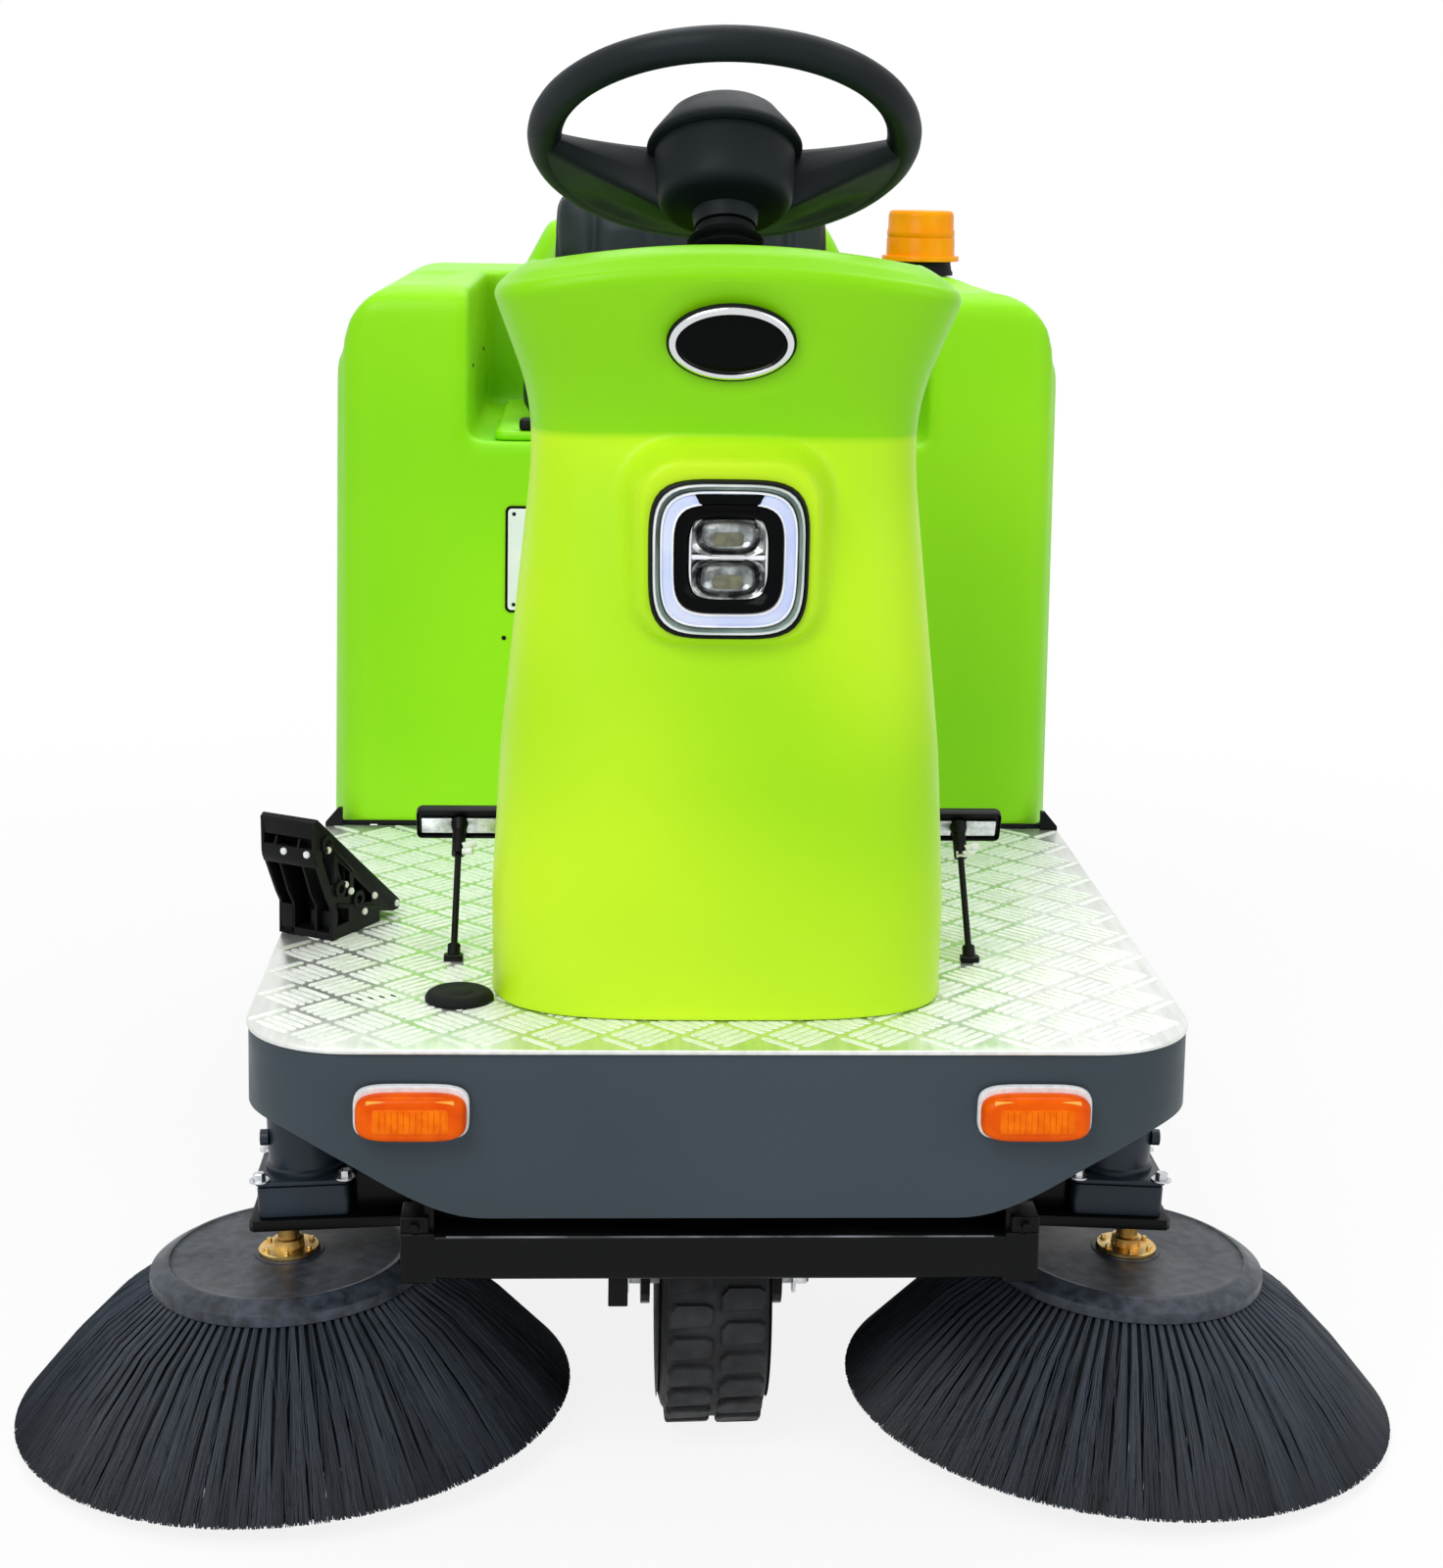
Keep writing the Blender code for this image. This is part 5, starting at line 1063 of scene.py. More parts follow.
# Painted highlight: a thin light grey line along the tube's upper edge, where its rounded edge catches the
# light.
painted_highlight = finish("enamel_with_painted_edge_highlight", "#6d7276", 0.35, cloud=(0.04, "#3a3e41", "#8b9094"),
                   Specular_IOR_Level=0.3)
highlight_line = sweep([(-0.222, behind(0.0118), 0.2296), (0.222, behind(0.0118), 0.2296)], 0.0008, 10)
shown("crossbar_worn_edge", highlight_line, painted_highlight, slot="black_paint", smooth=60)
fixings("pivot_nuts", hexagon_bolt(0.0075), [(x, behind(0.0122), 0.2385) for x in (-0.2475, 0.2475)],
        facing("X", 90), semi_black, slot="black_paint")

# ---- Brush arms and gear motors -----------------------------------------------------------------
# Each arm is a 10 mm steel plate welded to a barrel that swings on the pivot rod. A cast gearbox
# under a round motor is bolted on it, and drives the brush's shaft through a hole in the plate.
def arm_frame(side):
    """Where a brush arm's parts are drawn: on its pivot rod, tilted down outwards."""
    return (Matrix.Translation((side * 0.245, behind(0.184), 0.206))
            @ Matrix.Rotation(side * radians(2.5), 4, "Y"))


HUB_X = (0.370 - 0.245) / cos(radians(2.5))
# Smooth dark blue-grey enamel over cast metal.
motor_paint = finish("slate_blue_enamel", "#262f3a", 0.34, cloud=(0.08, "#232c36", "#2b3540", 2.0),
                     grain=(0.0016, 0.00006), Specular_IOR_Level=0.25)
# Gold plating with the passivation's rainbow drift.
yellow_zinc = finish("yellow_passivated_zinc", "#d9b25c", 0.28, 1.0, cloud=(0.030, "#d2a04c", "#ecd08a"),
                     shine=(0.020, 0.26, 0.40))
# Dull silver with a sand-blasted skin.
cast_aluminium = finish("cast_aluminium", "#b9bcbf", 0.42, 1.0, cloud=(0.004, "#a8abae", "#c8cacc"),
                        grain=(0.0012, 0.00010, 3.0))

PLATE_TOP = -0.010
for side_name, side in (("left", 1), ("right", -1)):
    lay = arm_frame(side)
    body = "brush_arm_" + side_name
    motor_x = side * (HUB_X - 0.019)
    outline = [(side * x, y) for x, y in ((0.006, -0.044), (HUB_X + 0.024, -0.044),
                                          (HUB_X + 0.0275, -0.040), (HUB_X + 0.0275, 0.045),
                                          (HUB_X + 0.020, 0.053), (0.006, 0.053))]
    plate = soften(prism(outline, -0.020, PLATE_TOP), 0.0014, 2, 60)
    for start, end, radius in ((-0.086, 0.053, 0.0140), (-0.086, -0.080, 0.0150), (-0.060, -0.054, 0.0150),
                               (0.046, 0.052, 0.0150)):
        sweep([(0, start, 0), (0, end, 0)], radius, 28, plate)
    squared(0.0500, 0.0700, PLATE_TOP - 0.0010, PLATE_TOP + 0.0420, side * 0.0390, 0.0080, 0.004, 0.0015,
            plate)
    shown("arm_weldment_" + side_name, placed(plate, lay), semi_black, body,
          replaces=["brush_arm_" + side_name], slot="black_paint")
    foot = PLATE_TOP + 0.0003
    case = squared(0.0780, 0.0780, foot, foot + 0.0270, motor_x, 0, 0.005, 0.0016)
    squared(0.0700, 0.0700, foot + 0.0265, foot + 0.0290, motor_x, 0, 0.005, 0.0005, case)
    flange = squared(0.0820, 0.0820, foot + 0.0285, foot + 0.0325, motor_x, 0, 0.008, 0.0010)
    can = lathe([(0, 0), (35, 0), (35, 4), (32.5, 6), (32.5, 50), (31.8, 51.5), (31.8, 53), (32.5, 54.5),
                 (32.5, 59), (30.5, 62), (12, 63), (11, 63.2), (0, 63.2)])
    placed(can, at(motor_x, 0, foot + 0.0325))
    sweep([(motor_x + side * x, -0.012, foot + 0.0625) for x in (0.030, 0.037)], 0.007, 20, can)
    for name, shape, more in (("gearbox_case_", case, {"replaces": ["brush_motor_" + side_name]}),
                              ("gearbox_flange_", flange, {}), ("motor_can_", can, {"smooth": 35})):
        shown(name + side_name, placed(shape, lay), motor_paint, body, slot="motor_paint", **more)
    for name, across, points in (
            ("gearbox_bolts_", 0.0095,
             [(motor_x + x, y, foot + 0.0330) for x in (-0.0365, 0.0365) for y in (-0.0365, 0.0365)]),
            ("arm_bolts_", 0.0075, [(motor_x + x, 0.046, PLATE_TOP) for x in (-0.030, 0.030)])):
        fixings(name + side_name, hexagon_bolt(across), [lay @ Vector(p) for p in points], lay.to_3x3(),
                bright_zinc, body)

# ---- Side brushes -------------------------------------------------------------------------------
# A moulded polypropylene disc hangs from a yellow-zinc flange on the gearbox's shaft. Tufts of
# stiff polypropylene bristle are stapled into its skirt, splayed outwards, and sag at their tips.

# Black moulding greyed by dust, with flow marks.
dusty_disc = finish("black_recycled_polypropylene", "#2b3038", 0.40,
                    cloud=(0.011, "#20242b", "#434b58", 8.0, 0.36, 0.72), shine=(0.05, 0.32, 0.50),
                    grain=(0.003, 0.00015, 3.0), Specular_IOR_Level=0.40)
# Black threads, each carrying its own shade: a random tone, painted lighter towards the roots as highlight
# and darker towards the tips as shade, and darker on the inner row as painted shade.
filament = finish("black_polypropylene_filament", "#1d2127", 0.38, Specular_IOR_Level=0.2, cloud=(
    lambda tree, place: add(tree, "ShaderNodeAttribute", attribute_name="shade").outputs["Fac"],
    "#06070a", "#484f5a", 3.0, 0.0, 1.0))

tree, given = new_tree("splayed_tufts", Tufts="Float", Strands="Int", Per_Tuft="Float", Root="Float",
                       Tuft="Float", Reach="Float", Ragged="Float", Pale="Float", Fan="Float",
                       Shift="Float", Top="Float", Tip="Float", Sag="Float", Thick="Float", Seed="Int",
                       Finish="Material")
dots = add(tree, "GeometryNodeMeshLine", {"Count": given["Strands"], "Offset": (0, 0, 0)})
straight = add(tree, "GeometryNodeCurvePrimitiveLine", {"Start": (0, 0, 0), "End": (0, 0, 1)})
straight = add(tree, "GeometryNodeResampleCurve", {"Curve": straight, "Count": 4})
share = add(tree, "ShaderNodeMath", [add(tree, "GeometryNodeInputIndex"), given["Per_Tuft"]],
            operation="DIVIDE")
tuft = add(tree, "ShaderNodeMath", [share], operation="FLOOR")
round_share = add(tree, "ShaderNodeMath", [add(tree, "ShaderNodeMath", [tuft, given["Shift"]]),
                                           given["Tufts"]],
                  operation="DIVIDE")
# What each strand keeps while it is bent: its tuft's turn, and six random numbers.
marks = {"angle": add(tree, "ShaderNodeMath", [round_share, 2 * pi], operation="MULTIPLY")}
for seed, (label, low) in enumerate((("aside", -1), ("outward", -1), ("splay", -1), ("short", 0),
                                     ("shade", 0), ("stray", 0)), 1):
    own_seed = add(tree, "ShaderNodeMath", [given["Seed"], seed])
    marks[label] = add(tree, "FunctionNodeRandomValue", {2: low, 3: 1, "Seed": own_seed}).outputs[1]
# Each strand's tone mixes its own and its tuft's random draws, scaled by the row's paleness: painted shade
# on the darker inner row.
tuft_shade = add(tree, "FunctionNodeRandomValue", {"ID": tuft, "Seed": given["Seed"]}).outputs[1]
mixed = add(tree, "ShaderNodeMix", {0: 0.40, 2: marks["shade"], 3: tuft_shade})
marks["shade"] = add(tree, "ShaderNodeMath", [mixed, given["Pale"]], operation="MULTIPLY")
stored = dots
for label, value in marks.items():
    stored = add(tree, "GeometryNodeStoreNamedAttribute", {"Geometry": stored, "Name": label,
                                                           "Value": value},
                 domain="POINT")
strands = add(tree, "GeometryNodeInstanceOnPoints", {"Points": stored, "Instance": straight})
grown = add(tree, "GeometryNodeRealizeInstances", [strands])
told = {label: add(tree, "GeometryNodeInputNamedAttribute", {"Name": label}).outputs["Attribute"]
        for label in marks}
along = add(tree, "ShaderNodeSeparateXYZ", [add(tree, "GeometryNodeInputPosition")]).outputs["Z"]
ragged = add(tree, "ShaderNodeMath", [told["short"], 1.6], operation="POWER")
ragged = add(tree, "ShaderNodeMath", [ragged, given["Ragged"]], operation="MULTIPLY")
reach = add(tree, "ShaderNodeMath", [given["Reach"], ragged], operation="SUBTRACT")
root = add(tree, "ShaderNodeMath", [told["outward"], given["Tuft"], given["Root"]],
           operation="MULTIPLY_ADD")
radius = add(tree, "ShaderNodeMix", {0: along, 2: root, 3: reach})
root_turn = add(tree, "ShaderNodeMath", [told["aside"], given["Tuft"]], operation="MULTIPLY")
root_turn = add(tree, "ShaderNodeMath", [root_turn, given["Root"]], operation="DIVIDE")
wild = add(tree, "ShaderNodeMath", [told["stray"], 14.0], operation="POWER")      # a few strands stand out
fan = add(tree, "ShaderNodeMath", [wild, 0.08, given["Fan"]], operation="MULTIPLY_ADD")
fan = add(tree, "ShaderNodeMath", [fan, told["splay"]], operation="MULTIPLY")
turn = add(tree, "ShaderNodeMath", [add(tree, "ShaderNodeMix", {0: along, 2: root_turn, 3: fan}),
                                    told["angle"]])
fall = add(tree, "ShaderNodeMath", [along, given["Sag"]], operation="POWER")
height = add(tree, "ShaderNodeMix", {0: fall, 2: given["Top"], 3: given["Tip"]})
lift = add(tree, "ShaderNodeMath", [told["short"], along], operation="MULTIPLY")
height = add(tree, "ShaderNodeMath", [lift, 0.002, height], operation="MULTIPLY_ADD")
spot = add(tree, "ShaderNodeVectorRotate", {
    "Vector": add(tree, "ShaderNodeCombineXYZ", {"X": radius, "Z": height}), "Angle": turn})
# Painted shade: each strand darker towards its tip.
dimmed = add(tree, "ShaderNodeMath", [along, -0.45, 1.0], operation="MULTIPLY_ADD")
dimmed = add(tree, "ShaderNodeMath", [dimmed, told["shade"]], operation="MULTIPLY")
# Painted highlight: lighter towards the roots.
root_highlight = add(tree, "ShaderNodeMath", [along, -0.36, 0.36], operation="MULTIPLY_ADD")
tone_with_painted_light = add(tree, "ShaderNodeMath", [root_highlight, given["Pale"], dimmed], operation="MULTIPLY_ADD")
grown = add(tree, "GeometryNodeStoreNamedAttribute", {"Geometry": grown, "Name": "shade", "Value": tone_with_painted_light},
            domain="POINT")
bent = add(tree, "GeometryNodeSetPosition", {"Geometry": grown, "Position": spot})
section = add(tree, "GeometryNodeCurvePrimitiveCircle", {"Resolution": 3, "Radius": given["Thick"]})
end_tree(tree, add(tree, "GeometryNodeCurveToMesh", {"Curve": bent, "Profile Curve": section,
                                                     "Fill Caps": True}),
         given["Finish"])
strand_tree = tree

DISC_TOP, DISC_FOOT = -54, -72                         # mm below the pivot rod
TUFTS = 100
# Each row's strands per tuft, root and reach from the axis, sag, tuft radius, paleness, fan, shift and
# strand radius; paleness is a painted light level. The inner row is set half a tuft on, and its strands are
# thicker and painted darker, as shade behind the outer row.
ROWS = {"outer": (52, 0.1155, 0.2400, 1.30, 0.0018, 1.0, 0.031, 0.0, 0.00052),
        "inner": (36, 0.1060, 0.2350, 1.22, 0.0036, 0.25, 0.060, 0.5, 0.00110)}
for side_name, side in (("left", 1), ("right", -1)):
    lay = arm_frame(side) @ at(side * HUB_X, 0, 0)
    body = "side_brush_" + side_name
    disc = lathe([(0, DISC_TOP), (30, DISC_TOP), (30.5, DISC_TOP - 1), (96, DISC_TOP - 1.6),
                  (101, DISC_TOP - 1.2), (103, DISC_TOP + 0.2), (106, DISC_TOP), (108.5, DISC_TOP - 1.8),
                  (117, DISC_TOP - 6.2), (119.6, DISC_TOP - 8.2), (120, DISC_TOP - 10),
                  (120, DISC_FOOT + 1), (119, DISC_FOOT), (80, DISC_FOOT), (0, DISC_FOOT)], 128)
    shown("brush_disc_" + side_name, placed(disc, lay), dusty_disc, body,
          replaces=["side_brush_disc_" + side_name], slot="brush_plastic", smooth=35)
    hub = lathe([(0, -14), (9.5, -14), (9.5, DISC_TOP + 12), (13, DISC_TOP + 11), (13.5, DISC_TOP + 4),
                 (25.5, DISC_TOP + 3.4), (26.5, DISC_TOP + 2.6), (26.5, DISC_TOP + 0.4),
                 (0, DISC_TOP + 0.4)], 72)
    shown("brush_flange_" + side_name, placed(hub, lay), yellow_zinc, body,
          replaces=["side_brush_hub_" + side_name], slot="zinc_plate", smooth=35)
    studs = [lay @ Vector((x, y, (DISC_TOP + 3.4) / 1000)) for x, y in arc((0, 0), 0.0212, 30, 330, 5)]
    fixings("brush_studs_" + side_name, hexagon_bolt(0.0042), studs, lay.to_3x3(), yellow_zinc, body)
    for row, (per_tuft, root, reach, sag, tuft, pale, fan, shift, thick) in ROWS.items():
        tufts = solve(strand_tree, Tufts=float(TUFTS), Strands=TUFTS * per_tuft, Per_Tuft=float(per_tuft),
                      Root=root, Tuft=tuft, Pale=pale, Fan=fan, Reach=reach, Ragged=0.0025, Shift=shift,
                      Top=(DISC_FOOT + 1) / 1000, Tip=-0.1840, Sag=sag, Thick=thick, Seed=11 + side,
                      Finish=filament)
        shown(f"brush_tufts_{row}_{side_name}", placed(tufts, lay), filament, body, slot="bristle",
              smooth=0, replaces=["side_brush_bristles_" + side_name] if row == "outer" else [])

# ---- Tyres and rims -----------------------------------------------------------------------------
# The steered drive wheel has a moulded rubber tyre with two staggered rows of tread blocks beside a
# centre groove. The rear tyres have shallower blocks, on silver steel rims held by five nuts each.

# Black rubber with dust in the tread.
rubber = finish("black_tyre_rubber", "#1a1b1e", 0.58, cloud=(0.03, "#141517", "#26282b", 4.0),
                shine=(0.012, 0.60, 0.80), grain=(0.0015, 0.00008), Specular_IOR_Level=0.4)
# Silver lacquer: half metallic, with a soft gloss.
silver_paint = finish("silver_lacquered_steel", "#aeb1b4", 0.34, 0.5, shine=(0.02, 0.28, 0.42))
# Turned steel, grey and slightly oiled.
bare_steel = finish("bare_turned_steel", "#8d9094", 0.35, 1.0, cloud=(0.006, "#7b7e82", "#9fa2a5"),
                    shine=(0.004, 0.28, 0.46))

# Pieces set in rows round an axle: the tyres' blocks, and the main brush's tufts further on.
tree, given = new_tree("rows_round_an_axle", Piece="Object", Pieces="Int", Per_Row="Float", Radius="Float",
                       Row_Turn="Float", Row_Step="Float", Turn="Float", Length="Float", Twist="Float",
                       Unrest="Float", Seed="Int", Finish="Material")
number = add(tree, "GeometryNodeInputIndex")
row = add(tree, "ShaderNodeMath", [add(tree, "ShaderNodeMath", [number, given["Per_Row"]],
                                       operation="DIVIDE")],
          operation="FLOOR")
share = add(tree, "ShaderNodeMath", [number, given["Per_Row"]], operation="MODULO")
share = add(tree, "ShaderNodeMath", [share, given["Per_Row"]], operation="DIVIDE")
off_middle = add(tree, "ShaderNodeMath", [add(tree, "ShaderNodeMath", [share, -0.5])], operation="ABSOLUTE")
unrest = add(tree, "FunctionNodeRandomValue", {2: -1, 3: 1, "Seed": given["Seed"]}).outputs[1]
turn = add(tree, "ShaderNodeMath", [row, given["Row_Turn"]], operation="MULTIPLY")
for value, size in ((share, "Turn"), (off_middle, "Twist"), (unrest, "Unrest")):
    turn = add(tree, "ShaderNodeMath", [value, given[size], turn], operation="MULTIPLY_ADD")
along = add(tree, "ShaderNodeMath", [row, given["Row_Step"]], operation="MULTIPLY")
along = add(tree, "ShaderNodeMath", [share, given["Length"], along], operation="MULTIPLY_ADD")
spot = add(tree, "ShaderNodeVectorRotate", {
    "Vector": add(tree, "ShaderNodeCombineXYZ", {"X": along, "Y": given["Radius"]}), "Angle": turn},
           rotation_type="X_AXIS")
dots = add(tree, "GeometryNodeMeshLine", {"Count": given["Pieces"], "Offset": (0, 0, 0)})
stood = add(tree, "ShaderNodeCombineXYZ", {"X": add(tree, "ShaderNodeMath", [turn, -pi / 2])})
piece = add(tree, "GeometryNodeObjectInfo", {"Object": given["Piece"]}).outputs["Geometry"]
end_tree(tree, add(tree, "GeometryNodeInstanceOnPoints", {
    "Points": add(tree, "GeometryNodeSetPosition", {"Geometry": dots, "Position": spot}), "Instance": piece,
    "Rotation": stood}), given["Finish"])
row_tree = tree


def wheel(name, centre, radius, width, rim_radius, around, body, rim_paint, names, tread=0.0052):
    """One tyre with its tread blocks, and its rim, on an axle along X."""
    lay = at(*centre) @ Matrix.Rotation(pi / 2, 4, "Y")
    half, base = width / 2, radius - tread
    carcass = [(rim_radius, half - 0.010), (rim_radius + 0.004, half - 0.004),
               (rim_radius + 0.012, half - 0.0005), (rim_radius + 0.022, half),
               (base - 0.022, half - 0.0005), (base - 0.010, half - 0.004), (base - 0.003, half - 0.009),
               (base, half - 0.016)]
    tyre = lathe(carcass + [(r, -h) for r, h in reversed(carcass)] + carcass[:1], 112, 1)
    shown(name + "_carcass", placed(tyre, lay), rubber, body, replaces=[names[0]], slot="tyre_rubber",
          smooth=35)
    long, deep = half - 0.012, 2 * pi * radius / around * 0.70
    lug_outline = [(-long * 0.52, -deep / 2), (long * 0.46, -deep / 2 + 0.002),
                   (long * 0.56, -deep / 2 + 0.006), (long * 0.56, deep / 2 - 0.003),
                   (long * 0.40, deep / 2), (-long * 0.34, deep / 2), (-long * 0.52, deep / 2 - 0.007)]
    lug = tool(skinned([[(x * s, y * s, z - 0.0030 * max(0.0, x / long) ** 2 - (y * s) ** 2 / (2 * radius))
                         for x, y in lug_outline]
                        for s, z in ((1.00, -0.0015), (0.97, tread * 0.75), (0.90, tread))]))
    blocks = solve(row_tree, Piece=lug, Pieces=2 * around, Per_Row=float(around), Radius=base, Turn=2 * pi,
                   Row_Turn=pi / around, Row_Step=half * 0.92, Length=0.0, Twist=0.0, Unrest=0.0,
                   Finish=rubber)
    bpy.data.objects.remove(lug)
    shown(name + "_tread", placed(blocks, at(*centre) @ at(-half * 0.46, 0, 0)), rubber, body,
          slot="tyre_rubber", smooth=30)
    seat, lip = rim_radius - 0.0005, half - 0.012
    disc = lathe([(0.0102, 0.034), (0.026, 0.034), (0.028, 0.032), (0.028, 0.012), (0.036, 0.009),
                  (seat - 0.024, 0.004), (seat - 0.010, 0.006), (seat - 0.006, lip - 0.004),
                  (seat - 0.003, lip), (seat, lip), (seat, -lip), (seat - 0.003, -lip),
                  (seat - 0.010, -0.002), (seat - 0.024, -0.004), (0.028, -0.008), (0.028, -0.034),
                  (0.0102, -0.034), (0.0102, 0.034)], 96, 1)
    shown(name + "_rim", placed(disc, lay), rim_paint, body, replaces=[names[1]], slot="rim_steel",
          smooth=35)
    outward = 1 if centre[0] >= 0 else -1
    nuts = [(centre[0] + outward * 0.0335, y, z) for y, z in arc(centre[1:], 0.019, 0, 288, 4)]
    fixings(name + "_nuts", hexagon_bolt(0.0075), nuts, facing("Y", outward * 90), bright_zinc, body)


wheel("front_wheel", (0, behind(0.182), 0.125), 0.125, 0.095, 0.082, 27, "front_wheel", cast_aluminium,
      ("front_tyre", "front_rim"))
for side_name, side in (("left", 1), ("right", -1)):
    wheel("rear_wheel_" + side_name, (side * 0.341, behind(1.130), 0.145), 0.145, 0.070, 0.090, 44,
          "rear_wheel_" + side_name, silver_paint, ("rear_tyre_" + side_name, "rear_rim_" + side_name),
          0.0035)

# ---- Rear body ----------------------------------------------------------------------------------
# One large rotomoulded polyethylene cover, 5 mm thick, over the battery and the main brush. A seat
# well is moulded into it between two pods, with bulged flanks and a shallow tray on each pod.
lime_body = moulding("lime_body_polyethylene", "#8ade0e", "#9ae815", 0.30, 0.30, 0.70)

BODY_FOOT, BODY_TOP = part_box("rear_body")[0].z, 0.961
DECK_TOP = 0.799                                       # the seat deck's height
BODY_FRONT, BODY_REAR = 0.721, 1.430
ACROSS = Matrix.Rotation(pi / 2, 4, "X")               # an (x, z) outline pushed along -Y
ENDWISE = Matrix.Rotation(pi / 2, 4, "Z") @ ACROSS     # a (y, z) outline along X


def rounded(left, right, foot, top, radii, steps=8):
    """A rectangle whose four corners, from lower left and anticlockwise, have their own radii."""
    points = []
    corners = ((left, foot, 180), (right, foot, 270), (right, top, 0), (left, top, 90))
    for (x, y, start), radius in zip(corners, radii):
        middle = (x + (radius if x == left else -radius), y + (radius if y == foot else -radius))
        points += arc(middle, radius, start, start + 90, steps) if radius else [(x, y)]
    return points


def form(half, foot, top, front, rear, shoulder, brow, back, corner, lean=0.0):
    """A solid box with its own radius for shoulders, front and rear top edges and upright corners."""
    front, rear = behind(front), behind(rear)
    section = [(x * (1 - lean * max(0.0, z - foot) / (top - foot) / half), z)
               for x, z in rounded(-half, half, foot, top, (0, 0, shoulder, shoulder), 10)]
    profile = rounded(front, rear, foot, top, (0, 0, back, brow), 10)
    plan = rounded(-half, half, front, rear, (corner,) * 4, 10)
    others = [lump(prism(profile, -0.5, 0.5), ENDWISE), lump(prism(plan, foot - 0.1, top + 0.1))]
    return combined(lump(prism(section, -rear - 0.1, 0.1 - front), ACROSS), others, "INTERSECT")


main_form = form(0.378, BODY_FOOT - 0.03, BODY_TOP, BODY_FRONT, BODY_REAR, 0.066, 0.030, 0.060, 0.036,
                 0.0065)
flank_form = form(0.3845, BODY_FOOT - 0.03, 0.898, BODY_FRONT + 0.026, BODY_REAR - 0.040, 0.026, 0.026,
                  0.030, 0.022, 0.004)
well_form = form(0.2405, DECK_TOP, BODY_TOP + 0.2, BODY_FRONT - 0.10, BODY_FRONT + 0.420, 0, 0, 0, 0.022)
tray_forms = [lump(prism(rounded(left, right, behind(0.765), behind(1.120), (0.020,) * 4), BODY_TOP - 0.005,
                         BODY_TOP + 0.05)) for left, right in ((-0.348, -0.268), (0.268, 0.348))]
combined(main_form, [flank_form], "UNION")
combined(main_form, [well_form, *tray_forms], "DIFFERENCE")
remesh = main_form.modifiers.new("voxels", "REMESH")
remesh.mode = "VOXEL"
remesh.voxel_size = 0.0070
ease = main_form.modifiers.new("ease", "SMOOTH")
ease.factor = 0.5
ease.iterations = 7
skin = bmesh.new()
skin.from_mesh(evaluated(main_form))
bpy.data.objects.remove(main_form)
bmesh.ops.bisect_plane(skin, geom=[*skin.verts, *skin.edges, *skin.faces], plane_co=(0, 0, BODY_FOOT),
                       plane_no=(0, 0, -1), clear_outer=True)

# The battery's opening under the seat lid is cut along straight lines.
OPENING_X, OPENING_FRONT, OPENING_REAR = 0.190, BODY_FRONT + 0.045, BODY_FRONT + 0.375


def decked(half, front, rear):
    """The faces of the seat deck within these bounds."""
    middles = [(face, face.calc_center_median()) for face in skin.faces]
    return [face for face, middle in middles if abs(middle.z - DECK_TOP) < 0.003 and abs(middle.x) < half
            and front < middle.y - FRONT < rear]


for spot, along in (((OPENING_X, 0, 0), (1, 0, 0)), ((-OPENING_X, 0, 0), (1, 0, 0)),
                    ((0, behind(OPENING_FRONT), 0), (0, 1, 0)), ((0, behind(OPENING_REAR), 0), (0, 1, 0))):
    deck = decked(0.205, OPENING_FRONT - 0.012, OPENING_REAR + 0.012)
    around = list({v for f in deck for v in f.verts}) + list({e for f in deck for e in f.edges}) + deck
    bmesh.ops.bisect_plane(skin, geom=around, plane_co=spot, plane_no=along)
bmesh.ops.delete(skin, geom=decked(OPENING_X, OPENING_FRONT, OPENING_REAR), context="FACES")
shell = tool(skin)
wall = shell.modifiers.new("wall", "SOLIDIFY")
wall.thickness = 0.0045
wall.offset = -1
shown("body_shell", evaluated(shell), lime_body, replaces=["rear_body"], slot="lime_moulding", smooth=50)
bpy.data.objects.remove(shell)

hood = []
for half, front, rear, corner, rise in (               # mm, up the cover from the body's top
        (199, 1150, 1311, 30, 0.4), (196.8, 1151, 1310, 30, 4), (187, 1153, 1300, 30, 22),
        (177.6, 1156, 1286, 30, 40), (172, 1160, 1272, 30, 50), (168, 1165, 1262, 28, 55.5),
        (162, 1171, 1252, 25, 59), (153, 1179, 1242, 20, 60.5), (138, 1190, 1228, 12, 60.8)):
    hood.append([(x / 1000, behind(y / 1000), BODY_TOP + rise / 1000)
                 for x, y in rounded(-half, half, front, rear, (corner,) * 4)])
shown("hood_cover", skinned(hood), lime_body, replaces=["rear_hood"], slot="lime_moulding", smooth=60)

front_spots = [(x, behind(BODY_FRONT - 0.0002), 0.592) for x in (-0.203, 0.203)]
well_spots = [(-0.2404, behind(d), 0.873) for d in (0.800, 1.060)]
for name, spots, axis in (("body_screws", front_spots, "X"), ("well_screws", well_spots, "Y")):
    fixings(name, lathe([(0, 1.2), (2.2, 0.8), (2.6, -0.4), (0, -0.4)], 14), spots, facing(axis, 90),
            dull_black, slot="black_plastic")

# ---- Placard ------------------------------------------------------------------------------------
# A blank white enamelled plate with a black border, held on the body's front by four small rivets.

# Bluish white enamel with a low gloss.
white_enamel = finish("white_enamelled_plate", "#e9f0f0", 0.32, cloud=(0.05, "#e3ebeb", "#eff4f3", 2.0),
                      shine=(0.03, 0.26, 0.38))
plate_at = at(-0.127, behind(BODY_FRONT - 0.0004), 0.676) @ Matrix.Rotation(pi / 2, 4, "X")
for name, half_x, half_z, corner, low, high, edge, material, stands_for in (
        ("placard_border", 0.0750, 0.0565, 0.006, 0.0, 0.0013, 0.0003, gloss_black, ["placard"]),
        ("placard_plate", 0.0722, 0.0537, 0.004, 0.0010, 0.0018, 0.0002, white_enamel, [])):
    sheet = prism(rounded(-half_x, half_x, -half_z, half_z, (corner,) * 4, 5), low, high)
    shown(name, placed(soften(sheet, edge, 1, 60), plate_at), material, replaces=stands_for,
          slot="white_plate")
